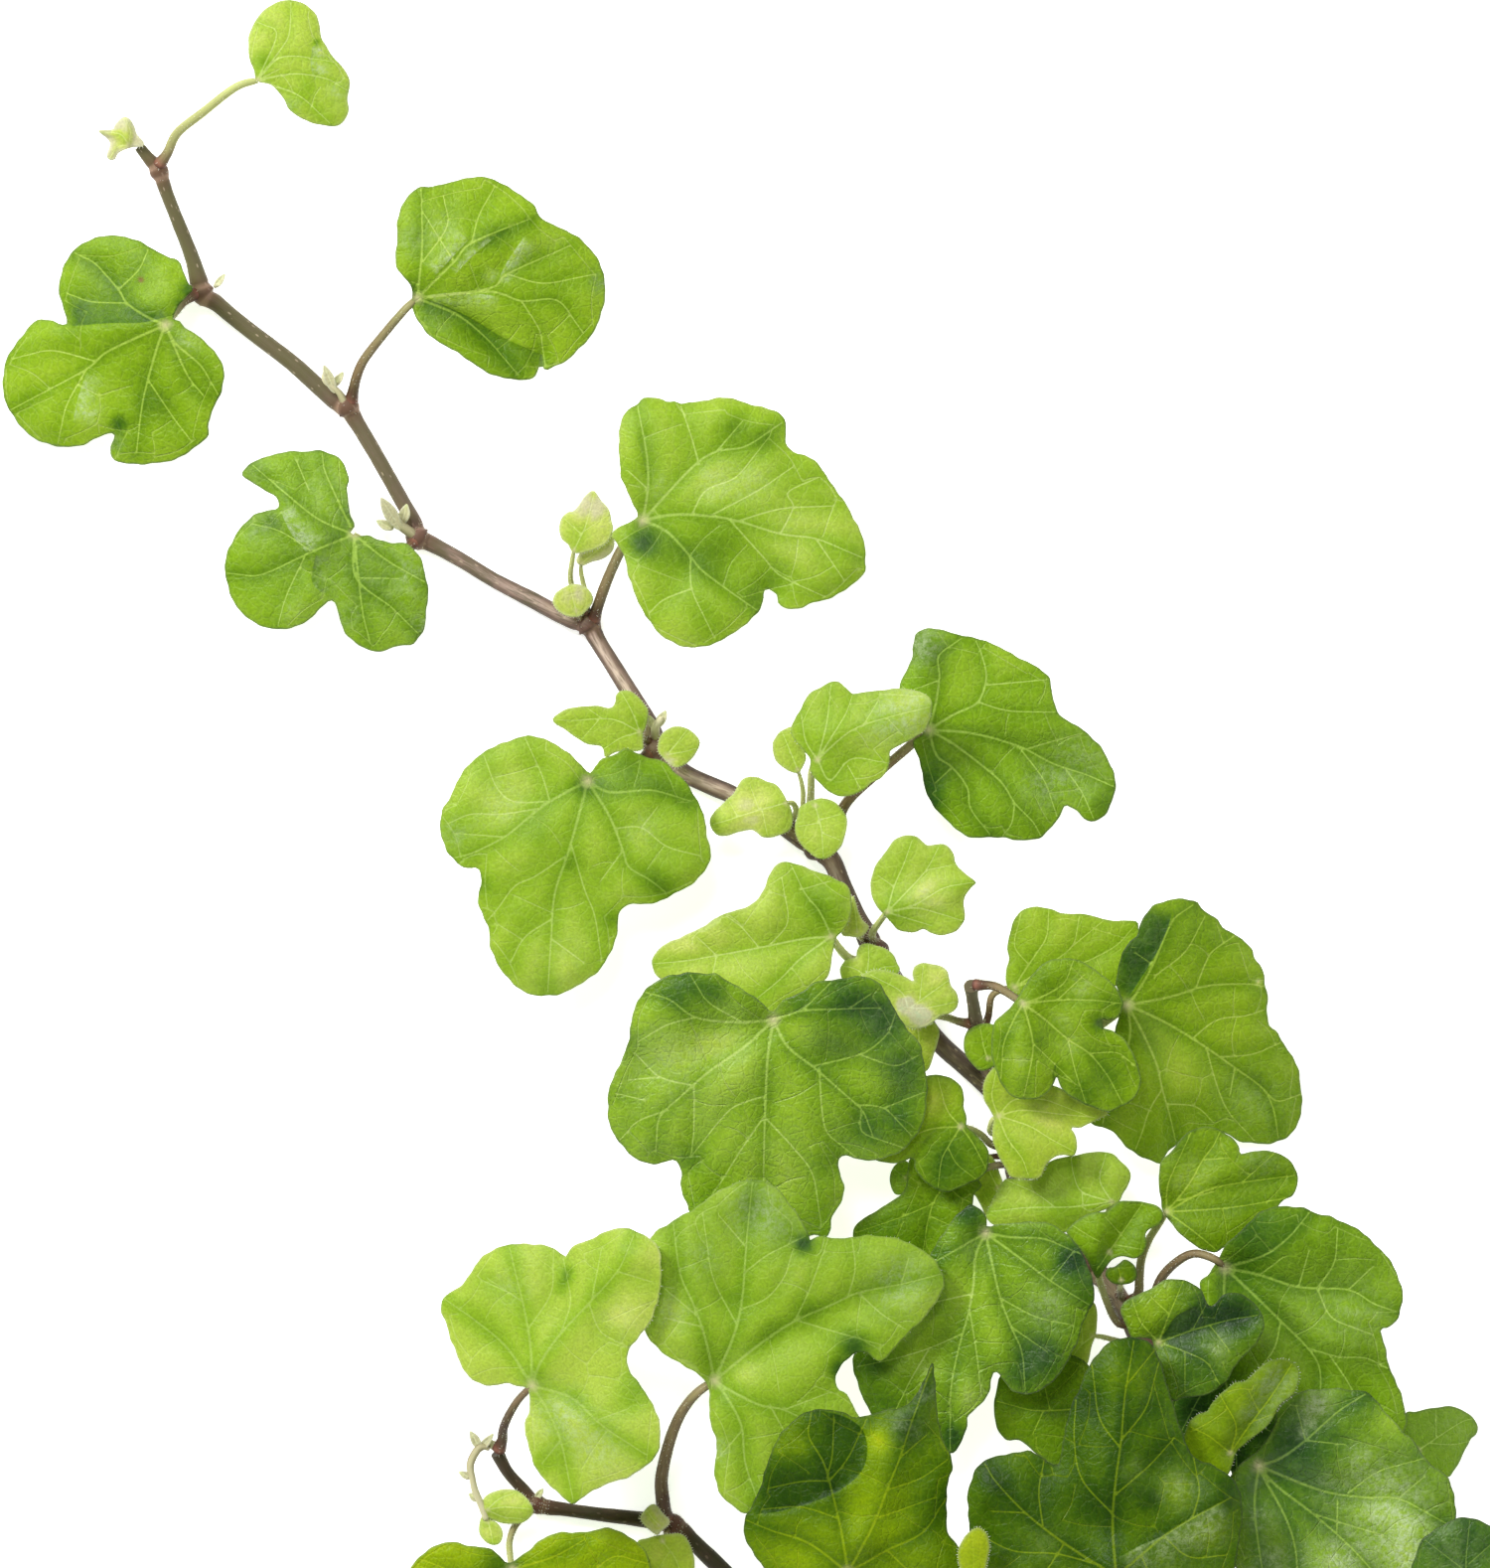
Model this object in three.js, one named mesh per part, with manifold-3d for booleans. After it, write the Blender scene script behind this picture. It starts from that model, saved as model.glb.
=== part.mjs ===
// One cut spray of small-leaved ivy lying on a flat surface: a zigzag main stem,
// a side branch, a short side shoot, and one leaf blade with its stalk per node.
import * as THREE from "three";
import Module from "manifold-3d";

const wasm = await Module();
wasm.setup();

// Driving dimensions in millimetres.
// Outlines are drawn on a sheet seen from EYE_HEIGHT above VIEW_CENTRE: whatever
// stands higher than the sheet is drawn in towards the centre by its height.
const EYE_HEIGHT = 900;
const VIEW_CENTRE = [105, 110.46];
const ORIGIN = [108.6, 97.24];
const BLADE_THICKNESS = 0.5;
const BUD_THICKNESS = 1.4;
const OUTLINE_TOLERANCE = 0.28;
const SMALLEST_STEP = 3.4;
const STEPS_ACROSS = 4;
const CREASE_STEP = 4.5;
const RIM_ROOM = 0.45;
const STEM_SIDES = 8;
const STALK_SIDES = 6;
const STALK_SINK = 0.1;
const SEAT_GAP = 0.3;

const STEM_BROWN = 0x5a4038;
const BRANCH_BROWN = 0x3d2c2a;
const CREAM = 0xdcd9a8;
const GREEN = {
  lime: 0xb4d24a,
  light: 0x9cc63a,
  fresh: 0x7fae2c,
  middle: 0x5f9226,
  deep: 0x3f7424,
  dark: 0x2c5a26,
};

const group = new THREE.Group();
group.name = "wonder_english_ivy";

// Reads "x,y x,y ..." or "x,y,z x,y,z ..." into lists of numbers.
function points(text) {
  return text.trim().split(/\s+/).map((point) => point.split(",").map(Number));
}

// Puts a point drawn on the sheet at its height z into the part's frame.
function place([x, y], z) {
  const pull = 1 - z / EYE_HEIGHT;
  return [
    VIEW_CENTRE[0] + (x - VIEW_CENTRE[0]) * pull - ORIGIN[0],
    VIEW_CENTRE[1] + (y - VIEW_CENTRE[1]) * pull - ORIGIN[1],
    z,
  ];
}

function cross(a, b, c) {
  return (b[0] - a[0]) * (c[1] - a[1]) - (b[1] - a[1]) * (c[0] - a[0]);
}

function areaOf(outline) {
  let sum = 0;
  outline.forEach((a, i) => {
    const b = outline[(i + 1) % outline.length];
    sum += (a[0] * b[1] - b[0] * a[1]) / 2;
  });
  return sum;
}

function distanceToSegment(p, a, b) {
  const length = Math.hypot(b[0] - a[0], b[1] - a[1]) || 1e-9;
  const along = ((p[0] - a[0]) * (b[0] - a[0]) + (p[1] - a[1]) * (b[1] - a[1])) / length ** 2;
  const t = Math.min(1, Math.max(0, along));
  return Math.hypot(a[0] + (b[0] - a[0]) * t - p[0], a[1] + (b[1] - a[1]) * t - p[1]);
}

function isInside(p, outline) {
  let inside = false;
  outline.forEach((a, i) => {
    const b = outline[(i + 1) % outline.length];
    const straddles = a[1] > p[1] !== b[1] > p[1];
    if (straddles && p[0] < a[0] + ((b[0] - a[0]) * (p[1] - a[1])) / (b[1] - a[1])) {
      inside = !inside;
    }
  });
  return inside;
}

// Keeps only the points that an open line needs to stay within a tolerance.
function thin(line) {
  const [first, last] = [line[0], line[line.length - 1]];
  const off = line.map((p) => distanceToSegment(p, first, last));
  const worst = Math.max(...off);
  if (worst < OUTLINE_TOLERANCE) return [first, last];
  const k = off.indexOf(worst);
  return [...thin(line.slice(0, k + 1)).slice(0, -1), ...thin(line.slice(k))];
}

function outlineOf(leaf) {
  let outline = points(leaf.outline);
  if (areaOf(outline) < 0) outline = outline.reverse();
  const half = Math.floor(outline.length / 2);
  const there = thin(outline.slice(0, half + 1));
  const back = thin([...outline.slice(half), outline[0]]);
  return [...there.slice(0, -1), ...back.slice(0, -1)];
}

function roomAt(p, outline) {
  if (!isInside(p, outline)) return 0;
  return Math.min(...outline.map((a, i) => distanceToSegment(p, a, outline[(i + 1) % outline.length])));
}

// The points that carry a blade's shape: its junction, points along its creases,
// and a staggered grid over the rest.
function innerPoints(leaf, outline, step) {
  const found = [];
  const keep = (p, spacing) => {
    if (found.every((q) => Math.hypot(q[0] - p[0], q[1] - p[1]) > spacing)) found.push(p);
  };
  if (roomAt(leaf.junction, outline) > 0.1) keep(leaf.junction, 0);
  for (const [ax, ay, bx, by] of leaf.creases ?? []) {
    const count = Math.max(1, Math.round(Math.hypot(bx - ax, by - ay) / CREASE_STEP));
    for (let i = 0; i <= count; i += 1) {
      const p = [ax + ((bx - ax) * i) / count, ay + ((by - ay) * i) / count];
      if (roomAt(p, outline) > RIM_ROOM) keep(p, step * 0.4);
    }
  }
  const xs = outline.map((p) => p[0]);
  const ys = outline.map((p) => p[1]);
  let row = 0;
  for (let y = Math.min(...ys) + step / 2; y < Math.max(...ys); y += step * 0.87) {
    row += 1;
    for (let x = Math.min(...xs) + (row % 2 ? step / 2 : step); x < Math.max(...xs); x += step) {
      if (roomAt([x, y], outline) > step * 0.35) keep([x, y], step * 0.55);
    }
  }
  return found;
}

// True when d lies inside the circle through a, b and c, taken anticlockwise.
function inCircle(a, b, c, d) {
  const [ax, ay, bx, by] = [a[0] - d[0], a[1] - d[1], b[0] - d[0], b[1] - d[1]];
  const [cx, cy] = [c[0] - d[0], c[1] - d[1]];
  return (
    (ax * ax + ay * ay) * (bx * cy - cx * by) -
      (bx * bx + by * by) * (ax * cy - cx * ay) +
      (cx * cx + cy * cy) * (ax * by - bx * ay) >
    1e-6
  );
}

// Turns shared edges round until every triangle is as plump as it can be.
function plump(all, faces) {
  for (let changed = true; changed; ) {
    changed = false;
    const owner = new Map();
    faces.forEach((f, i) => f.forEach((a, k) => owner.set(a * 4096 + f[(k + 1) % 3], i)));
    const used = new Set();
    for (const [edge, i] of owner) {
      const a = Math.floor(edge / 4096);
      const b = edge % 4096;
      const j = owner.get(b * 4096 + a);
      if (j === undefined || used.has(i) || used.has(j)) continue;
      const c = faces[i].find((v) => v !== a && v !== b);
      const d = faces[j].find((v) => v !== a && v !== b);
      if (!inCircle(all[a], all[b], all[c], all[d])) continue;
      if (cross(all[a], all[d], all[c]) < 1e-9 || cross(all[d], all[b], all[c]) < 1e-9) continue;
      faces[i] = [a, d, c];
      faces[j] = [d, b, c];
      used.add(i).add(j);
      changed = true;
    }
  }
}

// Triangles that fill an outline, passing through the inner points.
function fill(outline, inner) {
  const all = [...outline, ...inner];
  const contour = outline.map((p) => new THREE.Vector2(p[0], p[1]));
  const faces = THREE.ShapeUtils.triangulateShape(contour, []);
  for (let i = outline.length; i < all.length; i += 1) {
    const k = faces.findIndex(([a, b, c]) =>
      [cross(all[a], all[b], all[i]), cross(all[b], all[c], all[i]), cross(all[c], all[a], all[i])]
        .every((side) => side > 1e-7),
    );
    if (k < 0) continue;
    const [a, b, c] = faces[k];
    faces.splice(k, 1, [a, b, i], [b, c, i], [c, a, i]);
  }
  plump(all, faces);
  return { all, faces };
}

function solid(vertices, faces) {
  return new wasm.Manifold(
    new wasm.Mesh({
      numProp: 3,
      vertProperties: new Float32Array(vertices.flat()),
      triVerts: new Uint32Array(faces.flat()),
    }),
  );
}

// The height of a blade's middle surface over the sheet: its tilt, its cup and
// its creases, each a line a-b with a height and a half width.
function bladeHeight(leaf, [x, y]) {
  const [dx, dy] = [x - leaf.junction[0], y - leaf.junction[1]];
  let z = leaf.rise + leaf.tilt[0] * dx + leaf.tilt[1] * dy;
  z += ((leaf.cup ?? 0) * (dx * dx + dy * dy)) / 100;
  for (const [ax, ay, bx, by, height, width] of leaf.creases ?? []) {
    const d = distanceToSegment([x, y], [ax, ay], [bx, by]);
    z += height * Math.exp(-((d / width) ** 2));
  }
  return z;
}

// A thin closed blade: an upper and a lower skin joined by a rim.
function blade(leaf, thickness) {
  const outline = outlineOf(leaf);
  const step = Math.max(SMALLEST_STEP, Math.sqrt(areaOf(outline)) / STEPS_ACROSS);
  const { all, faces } = fill(outline, innerPoints(leaf, outline, step));
  const upper = all.map((p) => place(p, bladeHeight(leaf, p) + thickness / 2));
  const lower = all.map((p, i) => [upper[i][0], upper[i][1], upper[i][2] - thickness]);
  const n = all.length;
  const closed = [...faces, ...faces.map(([a, b, c]) => [c + n, b + n, a + n])];
  outline.forEach((p, a) => {
    const b = (a + 1) % outline.length;
    closed.push([a, a + n, b], [b, a + n, b + n]);
  });
  return solid([...upper, ...lower], closed);
}

// A closed tube along a smooth curve through [x, y, z, radius] points on the sheet.
function tube(path, sides, perSpan) {
  const placed = path.map(([x, y, z, r]) => [...place([x, y], z), r]);
  const curve = new THREE.CatmullRomCurve3(
    placed.map(([x, y, z]) => new THREE.Vector3(x, y, z)),
    false,
    "centripetal",
  );
  const spans = path.length - 1;
  const vertices = [];
  let normal = new THREE.Vector3(0, 0, 1);
  for (let i = 0; i <= spans * perSpan; i += 1) {
    const t = i / (spans * perSpan);
    const span = Math.min(spans - 1, Math.floor(i / perSpan));
    const part = i / perSpan - span;
    const radius = placed[span][3] * (1 - part) + placed[span + 1][3] * part;
    const centre = curve.getPoint(t);
    const along = curve.getTangent(t);
    if (i === 0 && Math.abs(along.z) > 0.9) normal = new THREE.Vector3(1, 0, 0);
    normal.addScaledVector(along, -normal.dot(along)).normalize();
    const side = new THREE.Vector3().crossVectors(along, normal);
    for (let k = 0; k < sides; k += 1) {
      const turn = (2 * Math.PI * k) / sides;
      const p = centre.clone();
      p.addScaledVector(normal, radius * Math.cos(turn));
      p.addScaledVector(side, radius * Math.sin(turn));
      vertices.push([p.x, p.y, p.z]);
    }
  }
  const faces = [];
  for (let i = 0; i < spans * perSpan; i += 1) {
    for (let k = 0; k < sides; k += 1) {
      const [a, b] = [i * sides + k, i * sides + ((k + 1) % sides)];
      faces.push([a, b, b + sides], [a, b + sides, a + sides]);
    }
  }
  const last = spans * perSpan * sides;
  for (let k = 1; k < sides - 1; k += 1) {
    faces.push([0, k + 1, k], [last, last + k, last + k + 1]);
  }
  return solid(vertices, faces);
}

// The point nearest to p on the centre lines of the stems, with the radius there.
function nearestOnStems(p) {
  let best = { gap: Infinity };
  for (const stem of [MAIN_STEM, SIDE_BRANCH, SIDE_SHOOT]) {
    for (let i = 1; i < stem.length; i += 1) {
      const [a, b] = [stem[i - 1], stem[i]];
      const span = [b[0] - a[0], b[1] - a[1], b[2] - a[2]];
      const dot = span.reduce((sum, s, k) => sum + s * (p[k] - a[k]), 0);
      const t = Math.min(1, Math.max(0, dot / span.reduce((sum, s) => sum + s * s, 0)));
      const q = a.map((v, k) => v + (b[k] - v) * t);
      const gap = Math.hypot(p[0] - q[0], p[1] - q[1], p[2] - q[2]);
      if (gap < best.gap) best = { gap, axis: q, radius: q[3] };
    }
  }
  return best;
}

// A stalk's foot stops SEAT_GAP short of the stem that carries it.
function seat(way, footRadius) {
  const [before, last] = [way[way.length - 2], way[way.length - 1]];
  const { gap, axis, radius } = nearestOnStems(last);
  const out = last.map((v, k) => (v - axis[k]) / gap);
  const along = before.map((v, k) => v - last[k]);
  const cosine = out.reduce((sum, v, k) => sum + v * along[k], 0) / Math.hypot(...along);
  const slant = Math.sqrt(Math.max(0, 1 - cosine * cosine));
  const reach = radius + SEAT_GAP + footRadius * slant;
  return [...way.slice(0, -1), out.map((v, k) => axis[k] + v * reach)];
}

// The stalk runs from under the blade's junction through its points to its foot.
function stalkOf(leaf) {
  const [top, foot] = leaf.radius ?? [0.45, 0.6];
  const way = seat(points(leaf.stalk), foot);
  const start = [...leaf.junction, bladeHeight(leaf, leaf.junction) - STALK_SINK];
  const path = [start, ...way].map(([x, y, z], i) => [x, y, z, top + ((foot - top) * i) / way.length]);
  return tube(path, STALK_SIDES, 1);
}

function addNode(name, body, colour) {
  const mesh = body.getMesh();
  const geometry = new THREE.BufferGeometry();
  geometry.setAttribute("position", new THREE.BufferAttribute(new Float32Array(mesh.vertProperties), 3));
  geometry.setIndex(new THREE.BufferAttribute(new Uint32Array(mesh.triVerts), 1));
  geometry.computeVertexNormals();
  const node = new THREE.Mesh(geometry, new THREE.MeshStandardMaterial({ color: colour, roughness: 0.55 }));
  node.name = name;
  group.add(node);
}

function addLeaf(name, leaf) {
  const body = leaf.stalk
    ? wasm.Manifold.union(blade(leaf, BLADE_THICKNESS), stalkOf(leaf))
    : blade(leaf, BLADE_THICKNESS);
  addNode(name, body, GREEN[leaf.tone]);
}

// Main stem, from the growing tip at the upper left to the cut end: x, y, z, radius.
const MAIN_STEM = points(`
  19.6,200.3,6.3,0.75 20.8,198.8,6.0,0.85 22.4,196.8,5.4,1.15 23.6,193.4,4.7,0.92
  27.0,184.8,3.4,1.02 28.6,179.6,2.5,1.45 30.6,178.1,2.3,1.15 35.0,174.5,1.8,1.10
  40.9,170.0,1.5,1.15 47.3,164.3,1.5,1.20 48.9,163.6,1.5,1.50 50.2,161.5,1.5,1.15
  53.0,156.8,1.7,1.05 56.0,151.5,1.8,1.05 58.2,147.5,1.7,1.15 58.9,145.2,1.6,1.55
  60.8,144.3,1.6,1.15 64.5,142.3,1.7,1.05 70.0,139.0,1.8,1.05 75.0,136.4,1.9,1.15
  80.0,133.8,1.8,1.20 82.8,133.0,1.8,1.65 84.3,130.5,1.9,1.20 88.2,124.3,2.0,1.20
  91.2,119.4,1.9,1.30 92.6,115.6,1.8,1.75 95.8,112.4,1.8,1.35 100.0,110.3,2.0,1.30
  103.3,108.9,2.1,1.30 108.4,106.0,2.1,1.30 112.2,103.4,1.9,1.45 115.0,101.6,1.8,1.75
  117.2,99.6,1.8,1.40 118.8,96.0,2.0,1.30 120.9,91.6,2.0,1.30 123.4,86.8,1.8,1.75
  126.2,82.6,1.9,1.35 130.4,76.6,2.1,1.30 132.8,73.6,2.1,1.35 138.2,68.8,1.9,1.35
  141.0,66.3,1.8,1.80 142.7,62.3,1.9,1.40 142.9,58.0,1.8,1.70 144.5,51.5,1.9,1.35
  148.0,46.7,1.8,1.45 152.6,42.9,1.8,1.70 155.9,40.4,1.8,1.45 158.3,37.0,1.8,1.45
  161.2,31.6,1.8,1.80 163.6,25.0,1.9,1.50 165.7,17.0,1.9,1.75 166.9,8.0,1.8,1.60
  166.5,-1.0,1.8,1.70 165.2,-8.0,1.8,1.60 163.6,-14.6,2.0,2.00 161.9,-25.0,1.6,1.60
`);

// Side branch, from its fork on the main stem to its last node.
const SIDE_BRANCH = points(`
  161.1,-15.3,1.9,1.25 150.0,-15.0,1.5,1.25 136.0,-13.8,1.4,1.30 120.5,-10.6,1.4,1.35
  109.5,-6.0,1.3,1.20 104.0,-2.2,1.3,1.20 100.0,1.5,1.3,1.20 97.6,3.8,1.3,1.15
  94.8,6.1,1.4,1.40 90.0,6.9,1.4,1.10 85.0,7.5,1.4,1.00 80.0,8.2,1.4,0.95
  75.6,9.0,1.6,1.20 73.6,11.2,2.2,0.90 71.5,13.6,3.2,0.82 70.1,16.2,4.2,1.00
`);

// Short side shoot that stands up from the main stem between two leaves.
const SIDE_SHOOT = points(`
  139.4,69.6,3.95,1.05 138.4,72.6,5.0,1.00 137.7,76.0,6.6,1.15
  137.3,78.6,9.6,0.90 137.0,80.6,12.4,0.85 136.9,82.0,14.6,1.05
`);

// Pale young shoot at the end of the side branch.
const END_SHOOT = points(`
  69.0,16.9,4.9,0.40 67.6,17.0,5.2,0.55 66.3,14.7,5.4,0.55 66.6,12.5,5.4,0.45
  67.0,10.8,5.2,0.50 67.9,8.7,5.0,0.50 68.6,6.6,4.8,0.45
`);

// Little buds in the angles of the nodes: x, y, z, radius along each.
const NODE_BUDS = [
  points("48.6,164.2,2.6,0.7 47.6,165.8,3.4,0.45 45.8,167.3,4.0,0.4 45.8,168.7,4.4,0.3"),
  points("58.2,145.6,2.8,0.8 56.4,147.0,4.0,0.7 55.2,148.6,4.8,0.6 53.7,150.3,5.2,0.35"),
  points("92.4,117.0,3.2,0.7 92.4,118.6,4.6,0.6 93.4,119.9,5.4,0.4"),
];

const TIP_BUD = {
  junction: [18.2, 200.4],
  rise: 8.1,
  tilt: [-0.15, 0.1],
  outline: `13.8,202.5 15.9,202.7 16.2,203.3 17.3,204.4 18.3,204.2 18.9,203.2 19.3,202.0
    20.2,201.0 20.2,200.3 18.9,200.2 17.5,199.8 16.6,199.3 16.2,198.5 15.4,198.4 15.0,199.0
    15.4,200.0 15.5,200.8 14.9,201.6`,
};

const YOUNG_LEAVES = [
  {
    junction: [68.6, 8.2],
    rise: 4.9,
    tilt: [0.1, 0.05],
    creases: [[69.0, 8.6, 74.2, 8.2, 0.6, 1.1]],
    outline: `67.8,8.9 68.3,10.0 69.5,10.7 71.0,11.1 72.5,11.0 73.8,10.3 74.7,9.2 75.2,8.2
      74.8,7.2 73.6,6.4 72.0,6.2 70.5,6.4 69.2,6.9 68.0,7.7`,
  },
  {
    junction: [68.8, 6.6],
    rise: 4.8,
    tilt: [0, -0.12],
    outline: `68.1,7.5 69.2,6.9 70.3,6.1 70.9,4.8 70.5,3.6 69.6,3.2 68.6,3.6 67.7,4.6 67.5,6.0`,
  },
];

// Every blade: its outline and junction on the sheet, the height of the junction,
// the tilt per millimetre towards +X and +Y, and the stalk's points x,y,z to its foot.
addLeaf("leaf_01", {
  tone: "lime", junction: [36.3, 209.6], rise: 12, tilt: [-0.12, 0.04], cup: -0.5,
  outline: `36.0,209.9 35.7,211.2 35.2,212.5 35.0,214.4 35.1,216.0 35.9,217.8 37.3,219.6
    38.6,220.4 40.2,220.9 41.8,220.8 43.2,220.2 44.4,219.1 45.0,217.6 45.4,215.4 46.0,214.4
    46.8,213.1 47.9,211.9 48.9,210.6 49.3,209.0 49.0,207.1 49.1,205.4 48.7,204.2 47.6,203.2
    46.0,203.2 43.7,203.7 42.0,204.5 40.7,205.6 39.9,207.1 38.9,208.3 38.0,209.1 36.7,209.3`,
  stalk: "34.0,209.0,11.4 32.0,207.8,10.9 28.6,205.1,9.6 25.0,202.2,8.2 23.6,199.4,7.2 22.9,197.9,6.7",
  radius: [0.42, 0.6],
});
addLeaf("leaf_02", {
  tone: "fresh", junction: [23.3, 175.1], rise: 9.2, tilt: [0.24, 0.02], cup: -0.52,
  creases: [[9, 174, 24, 176.5, 1.2, 4]],
  outline: `24.4,176.0 25.2,177.9 27.1,180.0 26.6,180.9 26.1,182.2 25.5,183.7 24.7,184.5
    23.6,184.7 22.1,185.6 20.5,186.5 18.6,187.3 16.0,187.8 13.5,187.4 11.2,186.4 9.6,184.6
    8.7,182.7 8.3,180.8 8.5,178.8 9.1,176.9 9.4,175.3 8.3,175.3 7.2,175.8 5.8,176.0 4.5,175.3
    3.2,173.7 1.9,172.1 0.9,170.2 0.4,167.9 0.5,165.4 1.3,163.1 2.9,160.9 4.8,159.1 7.4,158.2
    9.8,157.9 11.9,158.3 13.8,159.3 16.0,159.8 15.7,158.0 15.6,156.7 16.7,155.8 19.9,155.5
    23.1,155.8 25.6,156.6 27.9,158.2 29.3,159.6 29.5,161.5 30.1,163.5 31.2,165.7 31.6,167.9
    31.1,170.2 29.6,172.1 27.9,173.6 26.3,174.7 25.2,175.7`,
  stalk: "24.6,176.8,7.2 25.8,178.3,5.3 26.8,179.2,3.9",
});
addLeaf("leaf_03", {
  tone: "fresh", junction: [58.8, 178.9], rise: 13, tilt: [-0.05, 0.03], cup: -0.25,
  creases: [[60, 178, 76.2, 171, -1.6, 3], [63, 184, 74, 189, 1.2, 4]],
  outline: `58.2,179.8 57.5,181.1 56.7,182.1 55.8,183.5 55.8,185.8 56.0,188.0 56.0,189.9
    56.6,191.9 57.7,193.5 59.3,194.6 61.1,194.7 63.0,195.1 64.7,195.6 66.7,196.0 68.6,195.9
    70.2,195.4 72.1,194.3 74.0,193.0 75.5,191.9 76.0,190.4 77.6,189.5 80.1,188.3 82.0,187.1
    83.7,185.3 84.8,183.2 85.3,181.0 85.2,178.7 84.6,176.2 83.5,173.9 81.7,171.8 79.8,170.1
    78.0,169.2 76.9,168.8 76.4,169.4 76.3,171.0 76.0,169.1 75.5,168.0 74.2,167.4 72.1,167.5
    69.9,167.9 67.9,168.9 66.0,170.1 64.1,171.5 61.9,172.6 60.3,173.9 59.1,175.4 58.3,176.8
    58.0,178.4`,
  stalk: "57.0,177.2,11.4 54.4,174.2,9.2 51.5,170.5,6.6 50.3,168.0,5.0 50.5,165.6,3.7",
  radius: [0.5, 0.65],
});
addLeaf("leaf_04", {
  tone: "fresh", junction: [49.9, 145.6], rise: 8.5, tilt: [0.04, 0.02], cup: -0.45,
  creases: [[40, 150, 44.8, 143.8, 1.3, 2.2]],
  outline: `49.4,145.9 49.9,146.6 49.8,147.6 49.3,148.8 49.0,150.8 49.0,152.4 49.2,153.5
    48.8,154.8 48.0,156.2 46.8,157.0 44.8,157.5 43.1,157.3 40.8,157.4 38.9,156.9 37.1,156.5
    35.5,155.7 34.1,154.3 34.9,153.3 36.7,152.2 38.3,151.3 39.2,150.3 39.1,149.3 37.3,148.9
    35.5,148.2 33.8,146.4 32.6,144.4 31.9,142.8 31.7,140.5 32.2,137.9 33.3,135.5 34.9,133.8
    36.7,132.8 38.3,132.3 40.2,132.3 42.1,132.8 44.0,133.9 45.1,135.2 46.3,136.2 47.2,135.9
    47.7,134.4 48.2,132.7 48.8,131.5 50.1,130.3 51.7,129.5 53.3,129.0 54.9,129.5 56.5,130.0
    58.1,130.1 59.1,131.1 59.9,132.8 60.1,135.1 60.4,137.0 60.1,139.2 59.7,141.2 59.1,142.6
    58.1,143.7 57.0,144.5 55.2,144.4 53.6,144.8 52.0,145.5 50.4,145.4`,
  stalk: "52.2,144.2,7.0 55.0,143.4,5.2 57.2,143.6,3.9 58.2,144.1,3.5",
});
addLeaf("leaf_05", {
  tone: "light", junction: [90.6, 147.6], rise: 14, tilt: [-0.03, 0.02], cup: -0.2,
  creases: [[87, 146, 95, 140, -1.2, 3], [92, 148, 108.3, 138.1, -1.5, 3.5]],
  outline: `89.9,148.1 89.1,150.0 88.1,152.4 87.4,154.2 87.3,156.4 87.2,159.0 87.4,161.2
    88.2,162.8 89.6,163.9 90.4,164.7 91.7,164.9 93.3,164.7 94.2,164.3 95.2,164.4 96.2,164.1
    98.1,164.3 100.0,164.7 101.9,164.9 103.2,164.8 104.8,164.3 106.4,163.8 108.0,163.4
    109.5,163.0 110.3,162.3 110.8,160.9 110.7,159.0 111.2,157.9 112.2,157.1 113.8,156.6
    114.9,156.1 116.2,154.3 117.3,152.6 118.7,150.8 119.7,149.0 120.8,147.1 121.6,145.2
    122.0,142.9 121.9,140.5 120.5,138.8 118.3,137.3 116.3,136.4 114.1,135.8 112.2,135.1
    110.4,135.3 109.6,136.1 109.5,137.0 108.3,138.1 107.8,137.7 107.6,136.4 107.1,135.1
    105.9,133.7 104.2,132.2 102.2,131.1 100.6,130.1 98.7,129.8 96.8,129.7 94.9,130.3
    92.9,131.7 91.3,133.7 89.9,136.2 88.8,139.1 88.1,142.0 87.3,143.8 86.5,144.9 86.2,145.5
    87.0,146.6 88.5,147.3`,
  stalk: "88.6,145.2,11.6 87.3,143.0,10.0 86.0,140.2,7.8 84.9,137.4,5.8 85.1,134.7,4.0",
  radius: [0.6, 0.7],
});
addLeaf("leaf_06", {
  tone: "lime", junction: [80.9, 143.4], rise: 7.4, tilt: [0.02, 0.06], cup: 0.6,
  outline: `80.9,143.0 80.1,144.2 79.2,144.9 78.8,146.4 79.2,148.0 80.1,148.8 80.8,148.9
    81.6,149.8 82.5,151.1 83.6,151.8 84.4,151.0 84.8,150.3 85.8,149.2 86.2,147.5 86.4,146.2
    85.5,144.5 83.5,143.4`,
  stalk: "80.6,141.6,6.2 80.4,139.2,4.8 81.3,136.6,3.9 81.9,135.3,3.4",
  radius: [0.3, 0.4],
});
addLeaf("leaf_07", {
  tone: "lime", junction: [81.9, 141.5], rise: 5.4, tilt: [0.1, 0.02], cup: 0.5,
  outline: `81.2,142.0 82.0,141.2 83.3,141.7 85.0,142.2 86.2,143.1 86.6,144.6 86.0,146.0
    84.0,144.8 82.2,143.6`,
  stalk: "81.9,140.3,4.9 82.3,138.4,4.4 82.8,136.6,4.2 83.0,135.2,3.8",
  radius: [0.28, 0.35],
});
addLeaf("leaf_08", {
  tone: "light", junction: [81.2, 134.9], rise: 5.6, tilt: [-0.05, 0.1], cup: 0.8,
  outline: `78.9,137.8 80.3,138.6 81.5,138.6 82.8,138.0 83.6,136.8 83.3,135.6 82.4,134.6
    81.7,134.1 80.7,134.0 79.6,134.2 78.5,135.0 77.9,136.0 78.2,137.2`,
  stalk: "81.5,134.3,4.9 82.0,133.9,4.0",
  radius: [0.3, 0.35],
});
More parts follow.
